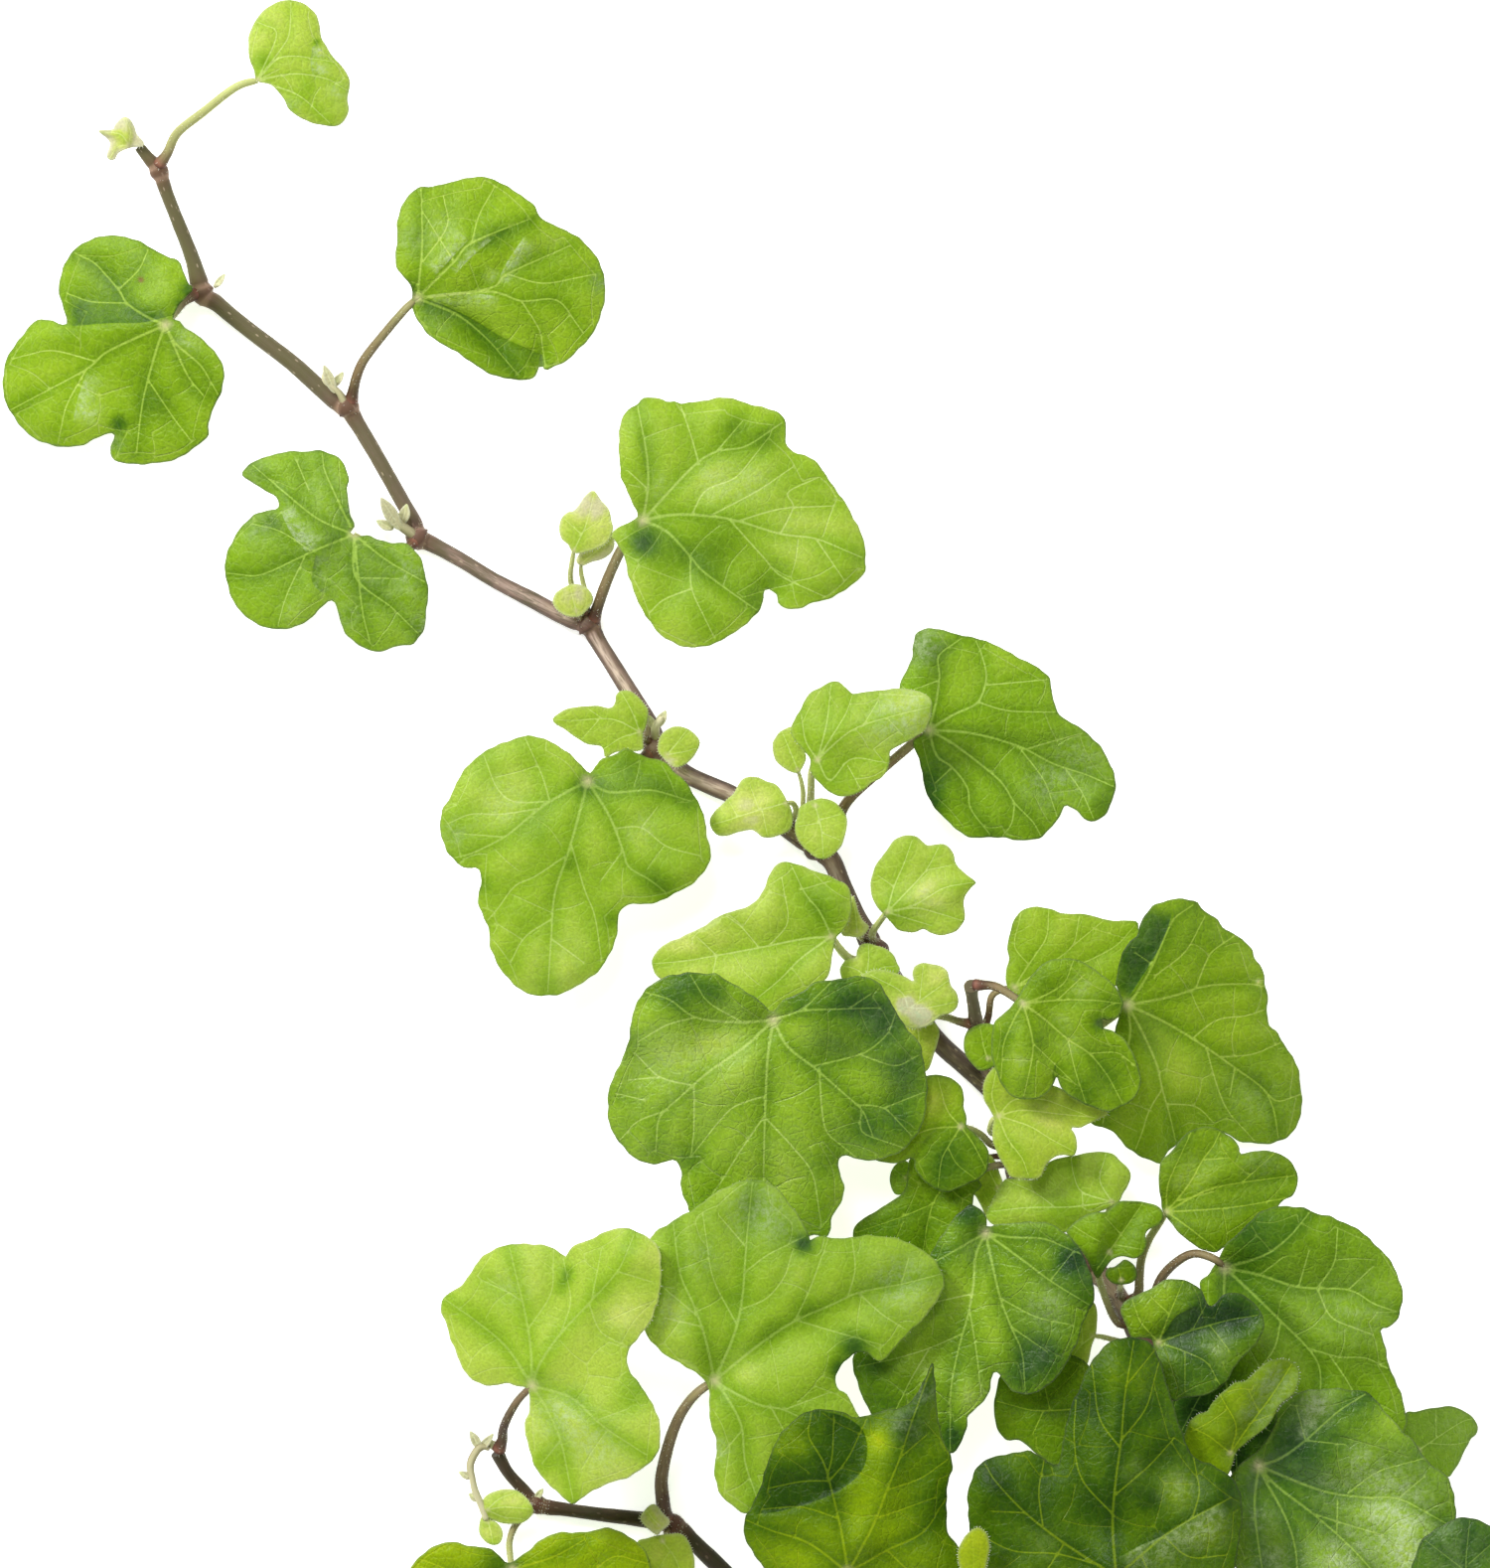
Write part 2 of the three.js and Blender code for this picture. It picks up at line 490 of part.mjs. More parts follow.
addLeaf("leaf_09", {
  tone: "lime", junction: [90.2, 117.8], rise: 6.6, tilt: [-0.04, 0.1], cup: 0.3,
  outline: `77.9,119.6 78.7,120.4 79.7,121.0 81.3,121.3 84.0,121.5 86.0,121.2 86.7,122.0
    86.8,122.9 87.5,123.6 88.7,123.6 89.8,122.9 90.6,122.0 91.3,121.0 91.3,119.8 91.0,118.4
    90.6,117.6 90.6,116.4 90.4,115.2 87.0,115.0 85.4,114.2 85.0,115.3 84.6,115.8 82.8,116.1
    81.3,116.9 79.5,118.2 78.3,118.9`,
  stalk: "90.6,116.9,5.0 91.2,116.2,3.9",
  radius: [0.35, 0.4],
});
addLeaf("leaf_10", {
  tone: "lime", junction: [94.0, 114.6], rise: 6.3, tilt: [0.04, 0.08], cup: 0.5,
  outline: `93.9,118.0 95.0,118.6 96.6,118.4 97.8,117.6 98.6,116.6 98.4,115.4 97.4,113.9
    96.5,113.2 95.3,112.8 94.3,113.3 93.3,114.3 92.7,115.2 92.8,116.4 93.2,117.4`,
  stalk: "93.8,114.9,5.0 93.4,115.1,4.0",
  radius: [0.3, 0.4],
});
addLeaf("leaf_11", {
  tone: "light", junction: [82.8, 110.9], rise: 12.5, tilt: [0, 0.01], cup: -0.3,
  creases: [[84, 112, 94, 114, -1.4, 2.6]],
  outline: `83.2,112.0 82.0,113.1 80.6,114.4 79.0,115.7 77.2,116.6 75.3,117.2 73.4,117.2
    71.6,116.4 70.0,116.0 68.1,114.9 66.3,113.4 65.0,112.0 64.3,110.4 63.4,108.6 62.5,107.2
    62.1,105.6 62.1,103.3 62.8,101.4 63.8,100.0 65.2,98.7 67.1,98.6 67.8,97.8 67.8,96.6
    67.4,95.1 67.5,93.4 68.2,91.5 68.9,89.9 69.1,87.5 69.9,85.4 71.0,83.8 72.6,82.0 74.2,81.0
    76.3,80.6 78.4,80.7 80.4,81.5 82.4,82.6 84.1,83.9 85.4,85.5 86.3,87.3 87.0,89.5 87.2,91.8
    87.8,93.1 88.8,93.5 90.7,93.5 92.6,93.8 94.5,94.7 96.8,95.9 98.7,97.4 99.9,99.2
    100.2,100.6 99.8,102.7 99.4,104.9 98.9,107.0 97.7,109.1 96.5,110.9 95.0,112.3 93.4,113.7
    91.3,114.2 89.7,114.9 88.1,115.4 86.7,114.7 85.1,114.1 83.8,112.9`,
  stalk: "85.0,111.2,9.6 88.0,112.2,6.2 90.2,113.6,3.9 91.0,114.3,3.3",
  radius: [0.6, 0.7],
});
addLeaf("leaf_12", {
  tone: "light", junction: [115.2, 113.9], rise: 14.5, tilt: [0.06, 0.03], cup: -0.1,
  creases: [[117, 117, 131, 121.5, 1.0, 2.4]],
  outline: `111.5,118.5 111.6,117.2 112.6,115.9 113.6,114.8 114.2,113.8 114.2,112.5
    114.8,111.3 116.0,110.1 117.3,109.1 118.7,108.7 120.2,108.9 121.5,109.5 122.8,110.6
    124.2,111.3 125.1,112.5 125.4,113.8 125.4,115.0 126.3,115.6 128.7,116.9 130.2,117.9
    131.0,119.4 131.3,120.8 131.3,122.0 130.9,122.8 129.8,123.4 128.3,123.8 126.0,123.9
    123.5,123.6 121.0,123.3 120.1,123.2 119.2,124.1 118.3,124.8 117.3,124.9 116.0,124.3
    114.2,123.3 113.4,122.2 112.8,120.9 112.0,119.7`,
  stalk: "114.4,112.2,12.4 114.3,109.8,9.8 114.2,107.2,6.6 114.4,104.9,4.4 114.3,103.8,3.7",
  radius: [0.42, 0.55],
});
addLeaf("leaf_13", {
  tone: "lime", junction: [112.4, 112.5], rise: 9.5, tilt: [0.02, 0.05], cup: 0.4,
  outline: `108.9,115.9 109.0,116.6 109.8,117.7 110.8,118.3 111.6,118.5 112.6,117.4
    113.2,115.8 113.6,114.2 113.2,113.0 112.4,112.0 111.0,112.4 109.6,113.4 109.0,114.7`,
  stalk: "112.9,111.0,8.2 113.2,109.0,6.4 113.0,106.4,4.6 112.8,104.4,3.6",
  radius: [0.25, 0.35],
});
addLeaf("leaf_14", {
  tone: "lime", junction: [110.8, 107.8], rise: 7.8, tilt: [0.03, 0], cup: 0.2,
  creases: [[102, 105, 110.5, 107.8, 0.6, 1.6]],
  outline: `100.1,104.6 100.1,105.6 100.7,106.6 101.8,107.6 102.6,108.4 103.4,109.2
    104.0,110.2 104.6,111.1 105.7,111.5 106.8,111.4 108.0,110.9 109.2,110.5 110.0,109.7
    110.6,108.7 111.3,107.4 111.7,106.2 111.7,105.0 111.3,104.0 110.0,103.3 108.6,102.9
    107.4,103.0 106.7,103.6 105.8,104.0 104.2,103.7 102.6,103.2 101.4,103.2 100.6,103.7`,
  stalk: "111.8,107.7,6.9 112.2,106.4,5.4 111.4,105.2,3.9",
  radius: [0.35, 0.4],
});
addLeaf("leaf_15", {
  tone: "light", junction: [114.9, 107.4], rise: 9.4, tilt: [0.02, -0.06], cup: 0.4,
  outline: `114.0,108.0 114.9,108.3 115.8,108.5 117.3,108.1 118.3,107.3 119.2,106.1
    119.4,104.7 119.1,103.3 118.6,101.8 117.6,100.6 116.2,99.9 115.0,100.1 113.8,101.0
    112.8,102.0 112.2,103.3 112.0,104.6 112.4,106.0 112.7,107.2`,
  stalk: "115.3,105.8,7.4 115.7,104.4,5.6 115.9,103.2,4.2",
  radius: [0.3, 0.4],
});
addLeaf("leaf_16", {
  tone: "fresh", junction: [130.9, 118.1], rise: 9.5, tilt: [-0.06, 0.03], cup: -0.2,
  creases: [[133, 117.3, 154, 111.5, -1.5, 3.5], [130.6, 118, 130.4, 130, 1.0, 3]],
  outline: `128.7,116.5 129.2,114.8 129.8,112.8 130.2,110.6 130.6,109.2 131.2,107.8
    132.2,106.6 133.4,105.4 134.6,104.2 136.0,103.2 137.5,102.9 139.5,102.9 141.5,102.9
    143.0,102.6 144.6,102.5 146.2,102.7 147.2,103.4 148.2,104.4 149.2,105.6 149.8,106.8
    150.2,107.5 151.0,107.2 152.0,106.4 152.8,105.5 153.8,105.2 155.0,105.5 156.1,106.6
    156.8,108.2 157.2,110.0 157.1,111.8 156.5,113.2 155.8,114.6 154.9,116.0 153.6,117.3
    152.2,118.4 150.8,119.2 149.8,119.8 149.1,120.7 148.6,121.8 148.3,123.0 148.2,124.3
    147.9,125.5 146.8,126.5 145.0,127.6 143.0,128.6 140.8,129.8 138.5,130.8 136.0,131.3
    133.5,132.0 131.5,132.4 130.0,132.2 129.0,131.6 128.7,130.0 128.6,128.6 128.0,127.0
    127.3,125.7 126.8,124.4 127.2,122.4 128.6,120.4 130.2,118.8 130.0,117.6`,
  stalk: "127.5,115.2,8.4 121.0,109.6,6.8 118.9,107.2,5.4 118.0,104.8,4.2 117.7,103.6,3.4",
  radius: [0.6, 0.7],
});
addLeaf("leaf_17", {
  tone: "light", junction: [117.2, 89.0], rise: 13, tilt: [0, 0], cup: -0.1,
  creases: [[95, 85.4, 116, 88.8, -0.8, 2.6]],
  outline: `117.9,88.9 119.0,90.0 119.8,91.5 120.0,93.5 119.9,95.2 119.4,96.2 118.3,96.8
    116.7,97.6 114.9,98.2 113.0,98.9 111.5,99.4 110.2,99.5 109.2,98.8 108.5,97.8 107.9,96.2
    107.2,94.9 106.4,93.8 105.1,93.1 103.5,92.6 101.5,91.9 99.6,90.7 97.8,89.7 95.8,88.8
    93.9,88.0 92.8,87.1 92.0,85.9 91.9,84.6 92.6,83.4 94.6,82.2 98.0,81.8 101.5,81.3
    104.4,79.8 107.0,78.6 109.5,78.4 111.5,79.8 114.0,81.2 116.0,82.5 116.9,84.0 117.3,86.0
    117.5,87.6`,
  stalk: "118.3,87.3,10.8 119.8,85.8,8.0 121.6,85.6,5.2 122.1,85.8,3.9",
  radius: [0.5, 0.6],
});
addLeaf("leaf_18", {
  tone: "lime", junction: [125.0, 92.4], rise: 13, tilt: [0.03, 0.04], cup: 0.1,
  creases: [[125.5, 92.8, 136.5, 96.4, 1.0, 2.2]],
  outline: `124.5,92.1 123.5,93.3 122.9,94.6 122.7,96.2 123.0,98.0 123.6,99.3 124.4,100.3
    125.2,101.5 126.2,102.7 127.6,103.2 129.0,103.1 130.0,102.4 130.8,101.8 131.8,101.9
    132.9,102.0 133.8,101.5 134.4,100.6 134.6,99.6 135.2,98.6 136.2,97.7 137.6,96.6
    136.8,95.8 136.1,94.8 135.8,93.6 136.0,92.4 135.9,91.2 135.2,90.2 134.2,89.5 132.7,89.1
    131.4,89.4 130.2,90.0 129.0,89.6 127.6,89.6 126.4,90.0 125.6,91.0`,
  stalk: "123.8,90.8,9.8 122.9,89.4,6.8 123.2,88.4,4.2 123.4,88.2,3.8",
  radius: [0.4, 0.5],
});
addLeaf("leaf_19", {
  tone: "lime", junction: [120.8, 89.6], rise: 7.6, tilt: [0, 0], cup: 0.3,
  outline: `118.6,89.3 119.6,89.0 121.2,88.9 122.2,89.7 122.4,90.5 121.6,91.3 121.0,92.5
    120.6,93.8 120.2,94.8 119.6,93.5 119.0,91.4`,
  stalk: "121.2,88.8,5.8 121.6,88.2,4.2",
  radius: [0.25, 0.35],
});
addLeaf("leaf_20", {
  tone: "light", junction: [122.2, 83.2], rise: 9.4, tilt: [0, 0.05], cup: -0.2,
  outline: `118.4,84.0 118.6,84.9 119.4,85.8 120.6,86.0 120.8,87.0 121.3,87.8 122.2,88.0
    123.5,87.7 124.8,87.3 125.8,86.5 126.4,85.3 126.7,84.0 124.0,81.8 121.0,81.6 119.0,82.4`,
  stalk: "123.2,84.0,6.6 124.0,84.8,4.2 124.1,85.0,3.8",
  radius: [0.3, 0.4],
});
addLeaf("leaf_21", {
  tone: "lime", junction: [128.0, 78.8], rise: 13, tilt: [0.02, 0.04], cup: -0.1,
  outline: `121.5,83.5 122.8,84.2 124.3,84.3 126.0,83.9 127.6,83.3 128.8,82.6 128.6,83.7
    128.9,84.7 129.8,85.2 131.2,85.1 132.6,84.8 133.5,84.1 133.8,82.9 134.1,81.9 134.8,81.1
    135.1,80.0 134.8,78.9 133.9,78.2 132.6,77.8 131.6,77.0 130.6,76.3 129.2,76.0 127.8,76.2
    126.8,76.8 126.0,78.3 124.5,80.0 122.5,81.5 121.3,82.6`,
  stalk: "131.0,78.0,10.8 133.4,77.6,9.6 135.2,77.0,8.4 136.2,76.6,7.6",
  radius: [0.4, 0.5],
});
addLeaf("leaf_22", {
  tone: "fresh", junction: [129.4, 76.0], rise: 8.2, tilt: [0, 0.05], cup: -0.2,
  outline: `128.0,77.0 130.0,77.0 131.8,76.8 132.4,75.5 132.1,73.8 131.5,72.0 130.8,70.2
    129.5,69.8 128.2,71.0 127.5,73.0 127.3,75.5`,
  stalk: "130.4,76.5,5.4 130.8,76.7,4.0",
  radius: [0.3, 0.4],
});
addLeaf("leaf_23", {
  tone: "deep", junction: [109.0, 77.2], rise: 20.5, tilt: [-0.05, 0.24], cup: -0.2,
  creases: [[107, 76, 91, 71, -1.0, 3], [110, 76.5, 126, 66, -1.2, 3]],
  outline: `109.0,78.3 107.6,79.5 105.6,80.9 104.0,82.0 102.4,82.8 100.9,83.7 99.2,83.8
    97.0,83.9 95.4,83.6 93.8,83.4 92.2,82.4 90.8,81.3 89.8,79.8 89.2,78.0 88.8,76.0 88.5,74.0
    87.9,72.2 87.0,70.4 86.2,68.6 85.7,66.8 85.6,65.0 85.8,63.0 86.4,61.2 87.4,59.8 88.6,58.5
    90.0,57.4 91.6,56.9 93.4,57.1 94.8,57.5 95.6,56.9 96.0,55.6 96.0,53.8 96.2,52.4 96.9,51.1
    97.2,50.2 98.4,48.2 102.0,46.4 107.0,45.6 112.0,46.0 114.6,46.9 116.4,46.5 117.0,47.8
    117.4,49.6 118.1,50.8 118.8,52.2 119.0,53.8 118.5,55.4 118.1,56.8 118.3,57.8 119.4,58.0
    121.0,57.6 122.8,57.4 125.0,57.8 127.0,58.7 128.6,60.2 129.8,62.0 130.4,64.2 130.7,66.6
    130.6,69.0 130.2,71.4 129.8,73.4 128.9,74.9 127.6,76.3 126.4,78.2 125.2,80.4 124.0,82.2
    122.6,83.2 120.8,83.4 118.6,83.0 116.6,82.8 115.2,82.7 113.6,81.6 111.8,80.6 110.2,79.9`,
  stalk: "111.5,77.0,17.6 115.0,77.4,14.4 118.6,79.4,10.4 121.6,82.4,6.0 122.8,84.4,4.2 123.0,84.9,3.8",
  radius: [0.6, 0.7],
});
addLeaf("leaf_24", {
  tone: "light", junction: [143.0, 81.8], rise: 8, tilt: [0, 0], cup: -0.1,
  outline: `141.8,82.5 141.8,84.2 142.2,85.7 142.0,87.3 142.1,88.4 142.4,89.8 142.8,91.0
    143.6,92.3 144.8,93.0 146.4,93.2 148.2,92.8 149.6,92.3 151.5,92.2 153.2,92.1 154.6,91.7
    156.4,91.3 158.5,91.2 160.2,91.1 160.5,89.8 160.4,87.0 159.8,84.4 158.0,82.4 154.0,81.0
    149.0,80.2 145.0,80.2 142.5,81.2`,
  stalk: "141.0,81.4,7.4 139.7,80.4,6.8 139.3,77.8,6.2 139.3,76.1,5.7",
  radius: [0.4, 0.45],
});
addLeaf("leaf_25", {
  tone: "fresh", junction: [144.2, 79.5], rise: 18, tilt: [0.02, 0.06], cup: -0.25,
  creases: [[145, 79, 145.3, 70, 1.0, 2.4], [145, 78.8, 158, 68, -1.0, 3]],
  outline: `143.3,80.2 144.4,82.0 145.4,83.5 146.6,84.8 148.0,85.6 149.8,85.9 151.8,85.7
    153.6,84.8 155.3,83.6 156.9,82.2 157.9,80.9 158.3,79.6 158.0,78.3 157.3,77.5 156.2,77.2
    155.2,77.3 154.5,76.8 155.3,76.1 156.8,75.7 158.1,74.9 159.0,73.8 159.8,72.3 160.5,70.6
    160.8,69.0 160.5,67.2 159.6,65.9 158.0,65.0 156.0,64.3 154.0,64.9 152.0,65.8 150.2,66.9
    149.3,68.2 148.9,69.3 148.4,68.0 147.6,66.9 146.2,66.2 144.4,66.0 142.7,66.4 141.6,67.5
    140.8,69.0 140.0,71.0 139.7,73.0 139.8,75.2 140.2,77.0 141.4,78.0 142.5,79.2`,
  stalk: "142.0,81.0,17.2 140.0,82.0,16.8 138.6,82.5,16.4",
  radius: [0.5, 0.55],
});
addLeaf("leaf_26", {
  tone: "fresh", junction: [158.9, 79.3], rise: 13, tilt: [-0.3, 0.18], cup: -0.285,
  creases: [[160, 78, 164, 67, 1.0, 2.5], [160, 79, 178, 67.5, -1.0, 4]],
  outline: `157.3,82.2 157.5,84.0 157.9,85.8 158.3,87.1 159.3,88.2 160.3,89.2 160.6,90.6
    161.3,91.9 162.4,93.2 163.9,93.9 165.5,94.3 167.3,94.2 168.6,93.9 169.4,93.0 170.2,92.3
    171.3,91.6 172.1,90.6 173.0,89.9 174.2,89.2 175.4,88.3 176.4,87.2 177.0,85.8 177.8,84.6
    178.2,83.2 178.4,81.7 178.8,80.2 178.5,79.0 178.6,77.8 178.9,76.6 179.9,75.6 180.6,74.4
    181.5,73.0 182.5,71.6 183.0,70.2 183.2,68.6 183.5,66.8 183.5,65.0 183.1,63.2 182.5,61.7
    181.4,60.7 180.0,60.1 178.8,59.7 177.0,59.8 175.5,60.0 174.2,60.3 172.7,61.2 170.0,61.4
    167.4,60.6 165.4,59.4 164.2,58.0 163.5,56.9 162.5,57.3 161.0,57.9 159.8,58.5 158.6,59.4
    157.9,60.4 157.0,61.3 155.8,62.0 154.4,62.2 153.6,63.4 154.2,66.6 155.4,70.6 156.8,74.6
    157.6,77.6 158.0,79.4 157.7,80.8`,
  stalk: "156.0,77.2,10.6 150.0,73.0,6.6 144.6,69.2,4.2 143.0,68.0,3.8",
  radius: [0.6, 0.65],
});
addLeaf("leaf_27", {
  tone: "middle", junction: [135.4, 62.2], rise: 12, tilt: [0, 0], cup: -0.2,
  outline: `136.3,62.2 136.2,63.6 135.8,65.0 135.9,66.3 135.5,67.7 134.3,68.9 132.9,69.4
    131.5,69.5 130.3,69.2 128.8,67.8 127.6,66.0 127.2,63.5 125.5,61.5 123.3,60.0 122.6,58.6
    123.4,57.5 125.0,57.1 127.0,57.1 128.3,57.7 128.9,57.3 128.9,56.4 129.5,55.3 130.6,54.2
    132.0,53.3 133.6,53.0 135.2,53.5 136.6,54.2 138.0,54.8 139.1,56.0 139.4,57.6 139.2,59.0
    138.3,60.3 137.3,61.3`,
  stalk: "136.9,61.8,9.4 138.3,61.0,7.6 139.4,59.9,6.0 140.6,59.4,4.4 141.0,59.2,3.8",
  radius: [0.4, 0.5],
});
addLeaf("leaf_28", {
  tone: "fresh", junction: [139.2, 71.8], rise: 9.6, tilt: [0, 0.04], cup: 0.1,
  outline: `136.0,75.0 136.6,75.9 138.0,76.6 139.6,76.7 140.6,76.0 140.8,73.6 140.6,71.2
    139.6,70.4 138.1,70.1 137.0,71.0 136.1,72.3 135.8,73.8`,
  stalk: "140.2,70.4,6.4 140.7,69.0,4.2 140.8,68.7,3.9",
  radius: [0.3, 0.35],
});
addLeaf("leaf_29", {
  tone: "lime", junction: [140.7, 63.7], rise: 13, tilt: [0.05, 0], cup: -0.15,
  creases: [[141, 63.8, 154, 63.4, -0.8, 3]],
  outline: `139.8,64.0 138.9,65.6 138.5,67.2 138.8,68.8 139.5,69.9 140.4,70.6 142.5,69.8
    146.0,68.8 149.4,67.6 152.0,66.0 154.0,65.2 156.2,64.2 154.8,63.2 153.4,62.6 152.3,62.0
    151.0,62.0 151.4,61.2 151.8,60.0 151.7,58.8 151.2,58.0 149.8,58.2 148.4,57.8 147.4,56.6
    146.5,55.0 144.4,54.8 142.4,55.1 141.8,56.3 141.0,57.5 140.3,59.0 139.9,60.5 139.9,62.0
    140.1,63.2`,
  stalk: "139.9,63.0,10.8 139.6,61.6,8.6 140.3,61.2,6.4 141.4,61.0,4.2 141.6,61.0,3.8",
  radius: [0.4, 0.5],
});
addLeaf("leaf_30", {
  tone: "light", junction: [156.7, 51.6], rise: 8.6, tilt: [0, 0], cup: -0.1,
  creases: [[143, 50.4, 156, 51, 0.6, 2]],
  outline: `157.9,51.9 158.3,52.8 159.0,54.0 159.4,55.1 159.1,56.2 158.0,57.2 157.1,58.2
    155.8,58.6 154.0,58.6 152.0,58.2 150.5,58.0 148.8,57.6 147.5,57.0 146.9,56.2 146.5,55.3
    145.5,54.7 143.8,54.8 142.2,54.9 141.4,54.5 140.5,53.0 139.9,51.8 139.2,50.5 139.0,49.4
    140.4,48.2 143.5,48.0 147.0,47.6 149.8,47.2 151.5,48.2 153.0,49.3 154.5,50.0 156.0,50.6
    157.3,51.2`,
  stalk: "156.0,49.4,6.6 154.8,46.6,4.8 154.0,44.6,3.8",
  radius: [0.4, 0.5],
});
addLeaf("leaf_31", {
  tone: "middle", junction: [133.5, 54.4], rise: 8.2, tilt: [0.03, 0.04], cup: -0.1,
  creases: [[132.6, 54, 130.6, 44, -0.7, 2]],
  outline: `128.3,57.8 127.9,55.5 127.5,53.3 126.4,52.2 124.6,51.0 122.6,49.8 120.9,48.6
    120.2,47.2 120.9,45.0 123.6,43.0 127.4,42.2 131.2,42.8 134.2,45.0 136.4,48.0 137.1,51.4
    137.4,52.8 138.4,54.0 136.8,55.6 133.0,57.2 130.4,58.2`,
  stalk: "137.0,55.6,7.2 139.8,56.6,6.6 141.0,56.8,4.6 141.3,56.8,3.9",
  radius: [0.4, 0.45],
});
addLeaf("leaf_32", {
  tone: "fresh", junction: [140.6, 53.6], rise: 4.0, tilt: [0.02, 0], cup: 0,
  outline: `138.6,58.2 139.6,58.2 140.5,56.8 141.0,55.4 141.3,54.0 140.5,52.4 139.6,50.8
    139.0,49.6 138.3,51.0 137.6,52.2 136.8,53.2 136.6,54.6 137.4,56.8`,
  stalk: "141.6,53.4,3.7 142.2,53.3,3.3",
  radius: [0.3, 0.35],
});
addLeaf("leaf_33", {
  tone: "fresh", junction: [164.4, 50.2], rise: 13, tilt: [-0.03, -0.04], cup: -0.1,
  creases: [[165, 51, 171.5, 61, -0.9, 2.4], [165, 50.5, 182, 55, -0.8, 2.4]],
  outline: `164.0,50.0 163.6,52.0 163.3,54.0 163.4,56.0 163.8,57.6 164.9,58.5 165.8,59.6
    166.8,60.9 168.0,61.7 169.6,62.2 171.2,62.0 172.6,61.3 173.9,60.4 174.6,59.4 174.8,58.4
    175.8,58.5 177.0,58.8 178.6,58.8 180.2,58.4 181.5,57.7 182.5,56.5 182.9,55.2 182.8,53.8
    182.2,52.4 181.0,51.9 179.6,50.4 177.6,49.0 175.4,47.4 173.4,45.8 171.6,44.6 170.4,44.6
    169.0,45.0 167.8,45.9 166.5,46.9 165.2,48.4`,
  stalk: "163.4,48.6,10.4 161.9,46.2,8.4 160.9,43.6,7.4 160.6,41.0,5.8 160.4,38.6,4.0 160.1,38.0,3.6",
  radius: [0.45, 0.6],
});
addLeaf("leaf_34", {
  tone: "middle", junction: [156.3, 44.6], rise: 13, tilt: [0, 0.01], cup: 0.1,
  creases: [[156.3, 44.4, 160.5, 50.4, -1.3, 1.6], [154.6, 45, 154.8, 49.5, 0.8, 1.6]],
  outline: `150.3,47.3 151.0,48.3 152.5,49.5 154.2,50.1 155.8,50.2 156.8,51.0 157.8,51.7
    159.2,51.7 161.0,51.6 162.7,51.2 163.8,50.4 163.9,49.2 163.2,48.3 162.0,47.7 161.4,46.9
    161.6,46.0 161.4,44.9 160.8,44.0 159.8,43.6 158.0,43.9 156.6,43.3 155.4,41.6 154.6,40.8
    153.8,42.2 153.0,43.8 151.6,45.6`,
  stalk: "155.1,42.4,10.8 154.9,40.9,9.8 155.6,38.5,7.6 156.8,35.6,5.2 157.8,34.4,4.0 158.1,34.2,3.6",
  radius: [0.4, 0.5],
});
addLeaf("leaf_35", {
  tone: "fresh", junction: [158.0, 40.6], rise: 14.4, tilt: [0, 0], cup: 1.5,
  outline: `155.8,41.5 156.2,42.3 157.0,42.4 157.8,43.0 158.5,43.5 159.5,43.0 160.1,42.3
    160.2,41.0 159.5,40.2 158.2,39.9 156.9,40.1 156.0,40.8`,
  stalk: "157.9,39.6,10.0 157.8,38.8,5.6 157.8,38.6,3.8",
  radius: [0.3, 0.35],
});
addLeaf("leaf_36", {
  tone: "deep", junction: [138.9, 47.2], rise: 16, tilt: [0.08, 0.08], cup: -0.1,
  creases: [[139, 46, 144.5, 31, -1.0, 2.6], [138.5, 46.5, 132, 30, -0.8, 2.6]],
  outline: `139.1,48.2 140.2,48.4 142.0,48.5 144.5,48.8 147.0,48.7 148.6,48.3 150.0,47.3
    151.4,46.0 152.6,44.3 153.4,42.3 154.1,40.2 154.3,38.4 154.0,37.2 153.2,35.8 152.5,34.0
    152.0,32.2 151.2,30.5 150.3,28.8 149.2,27.2 147.6,25.6 145.8,24.7 144.0,24.5 142.6,25.0
    141.6,26.2 140.8,27.4 140.1,27.6 139.8,26.6 139.5,25.2 138.8,23.7 137.7,22.6 136.5,21.4
    136.3,20.3 135.9,18.7 135.3,17.3 134.4,16.3 133.7,16.2 133.0,17.3 132.4,19.0 132.0,21.0
    131.2,23.6 129.6,23.6 127.6,22.0 125.6,20.4 123.8,20.6 122.8,21.7 121.8,23.6 120.9,25.8
    120.3,28.0 120.3,30.0 122.0,32.6 125.4,36.0 128.4,39.6 130.6,43.2 132.4,46.4 134.4,49.2
    136.0,50.8 137.0,51.2 138.2,50.5 139.0,49.5`,
  stalk: "139.9,46.0,13.0 142.0,45.6,8.8 145.0,46.2,4.6 146.0,46.8,4.0",
  radius: [0.6, 0.65],
});
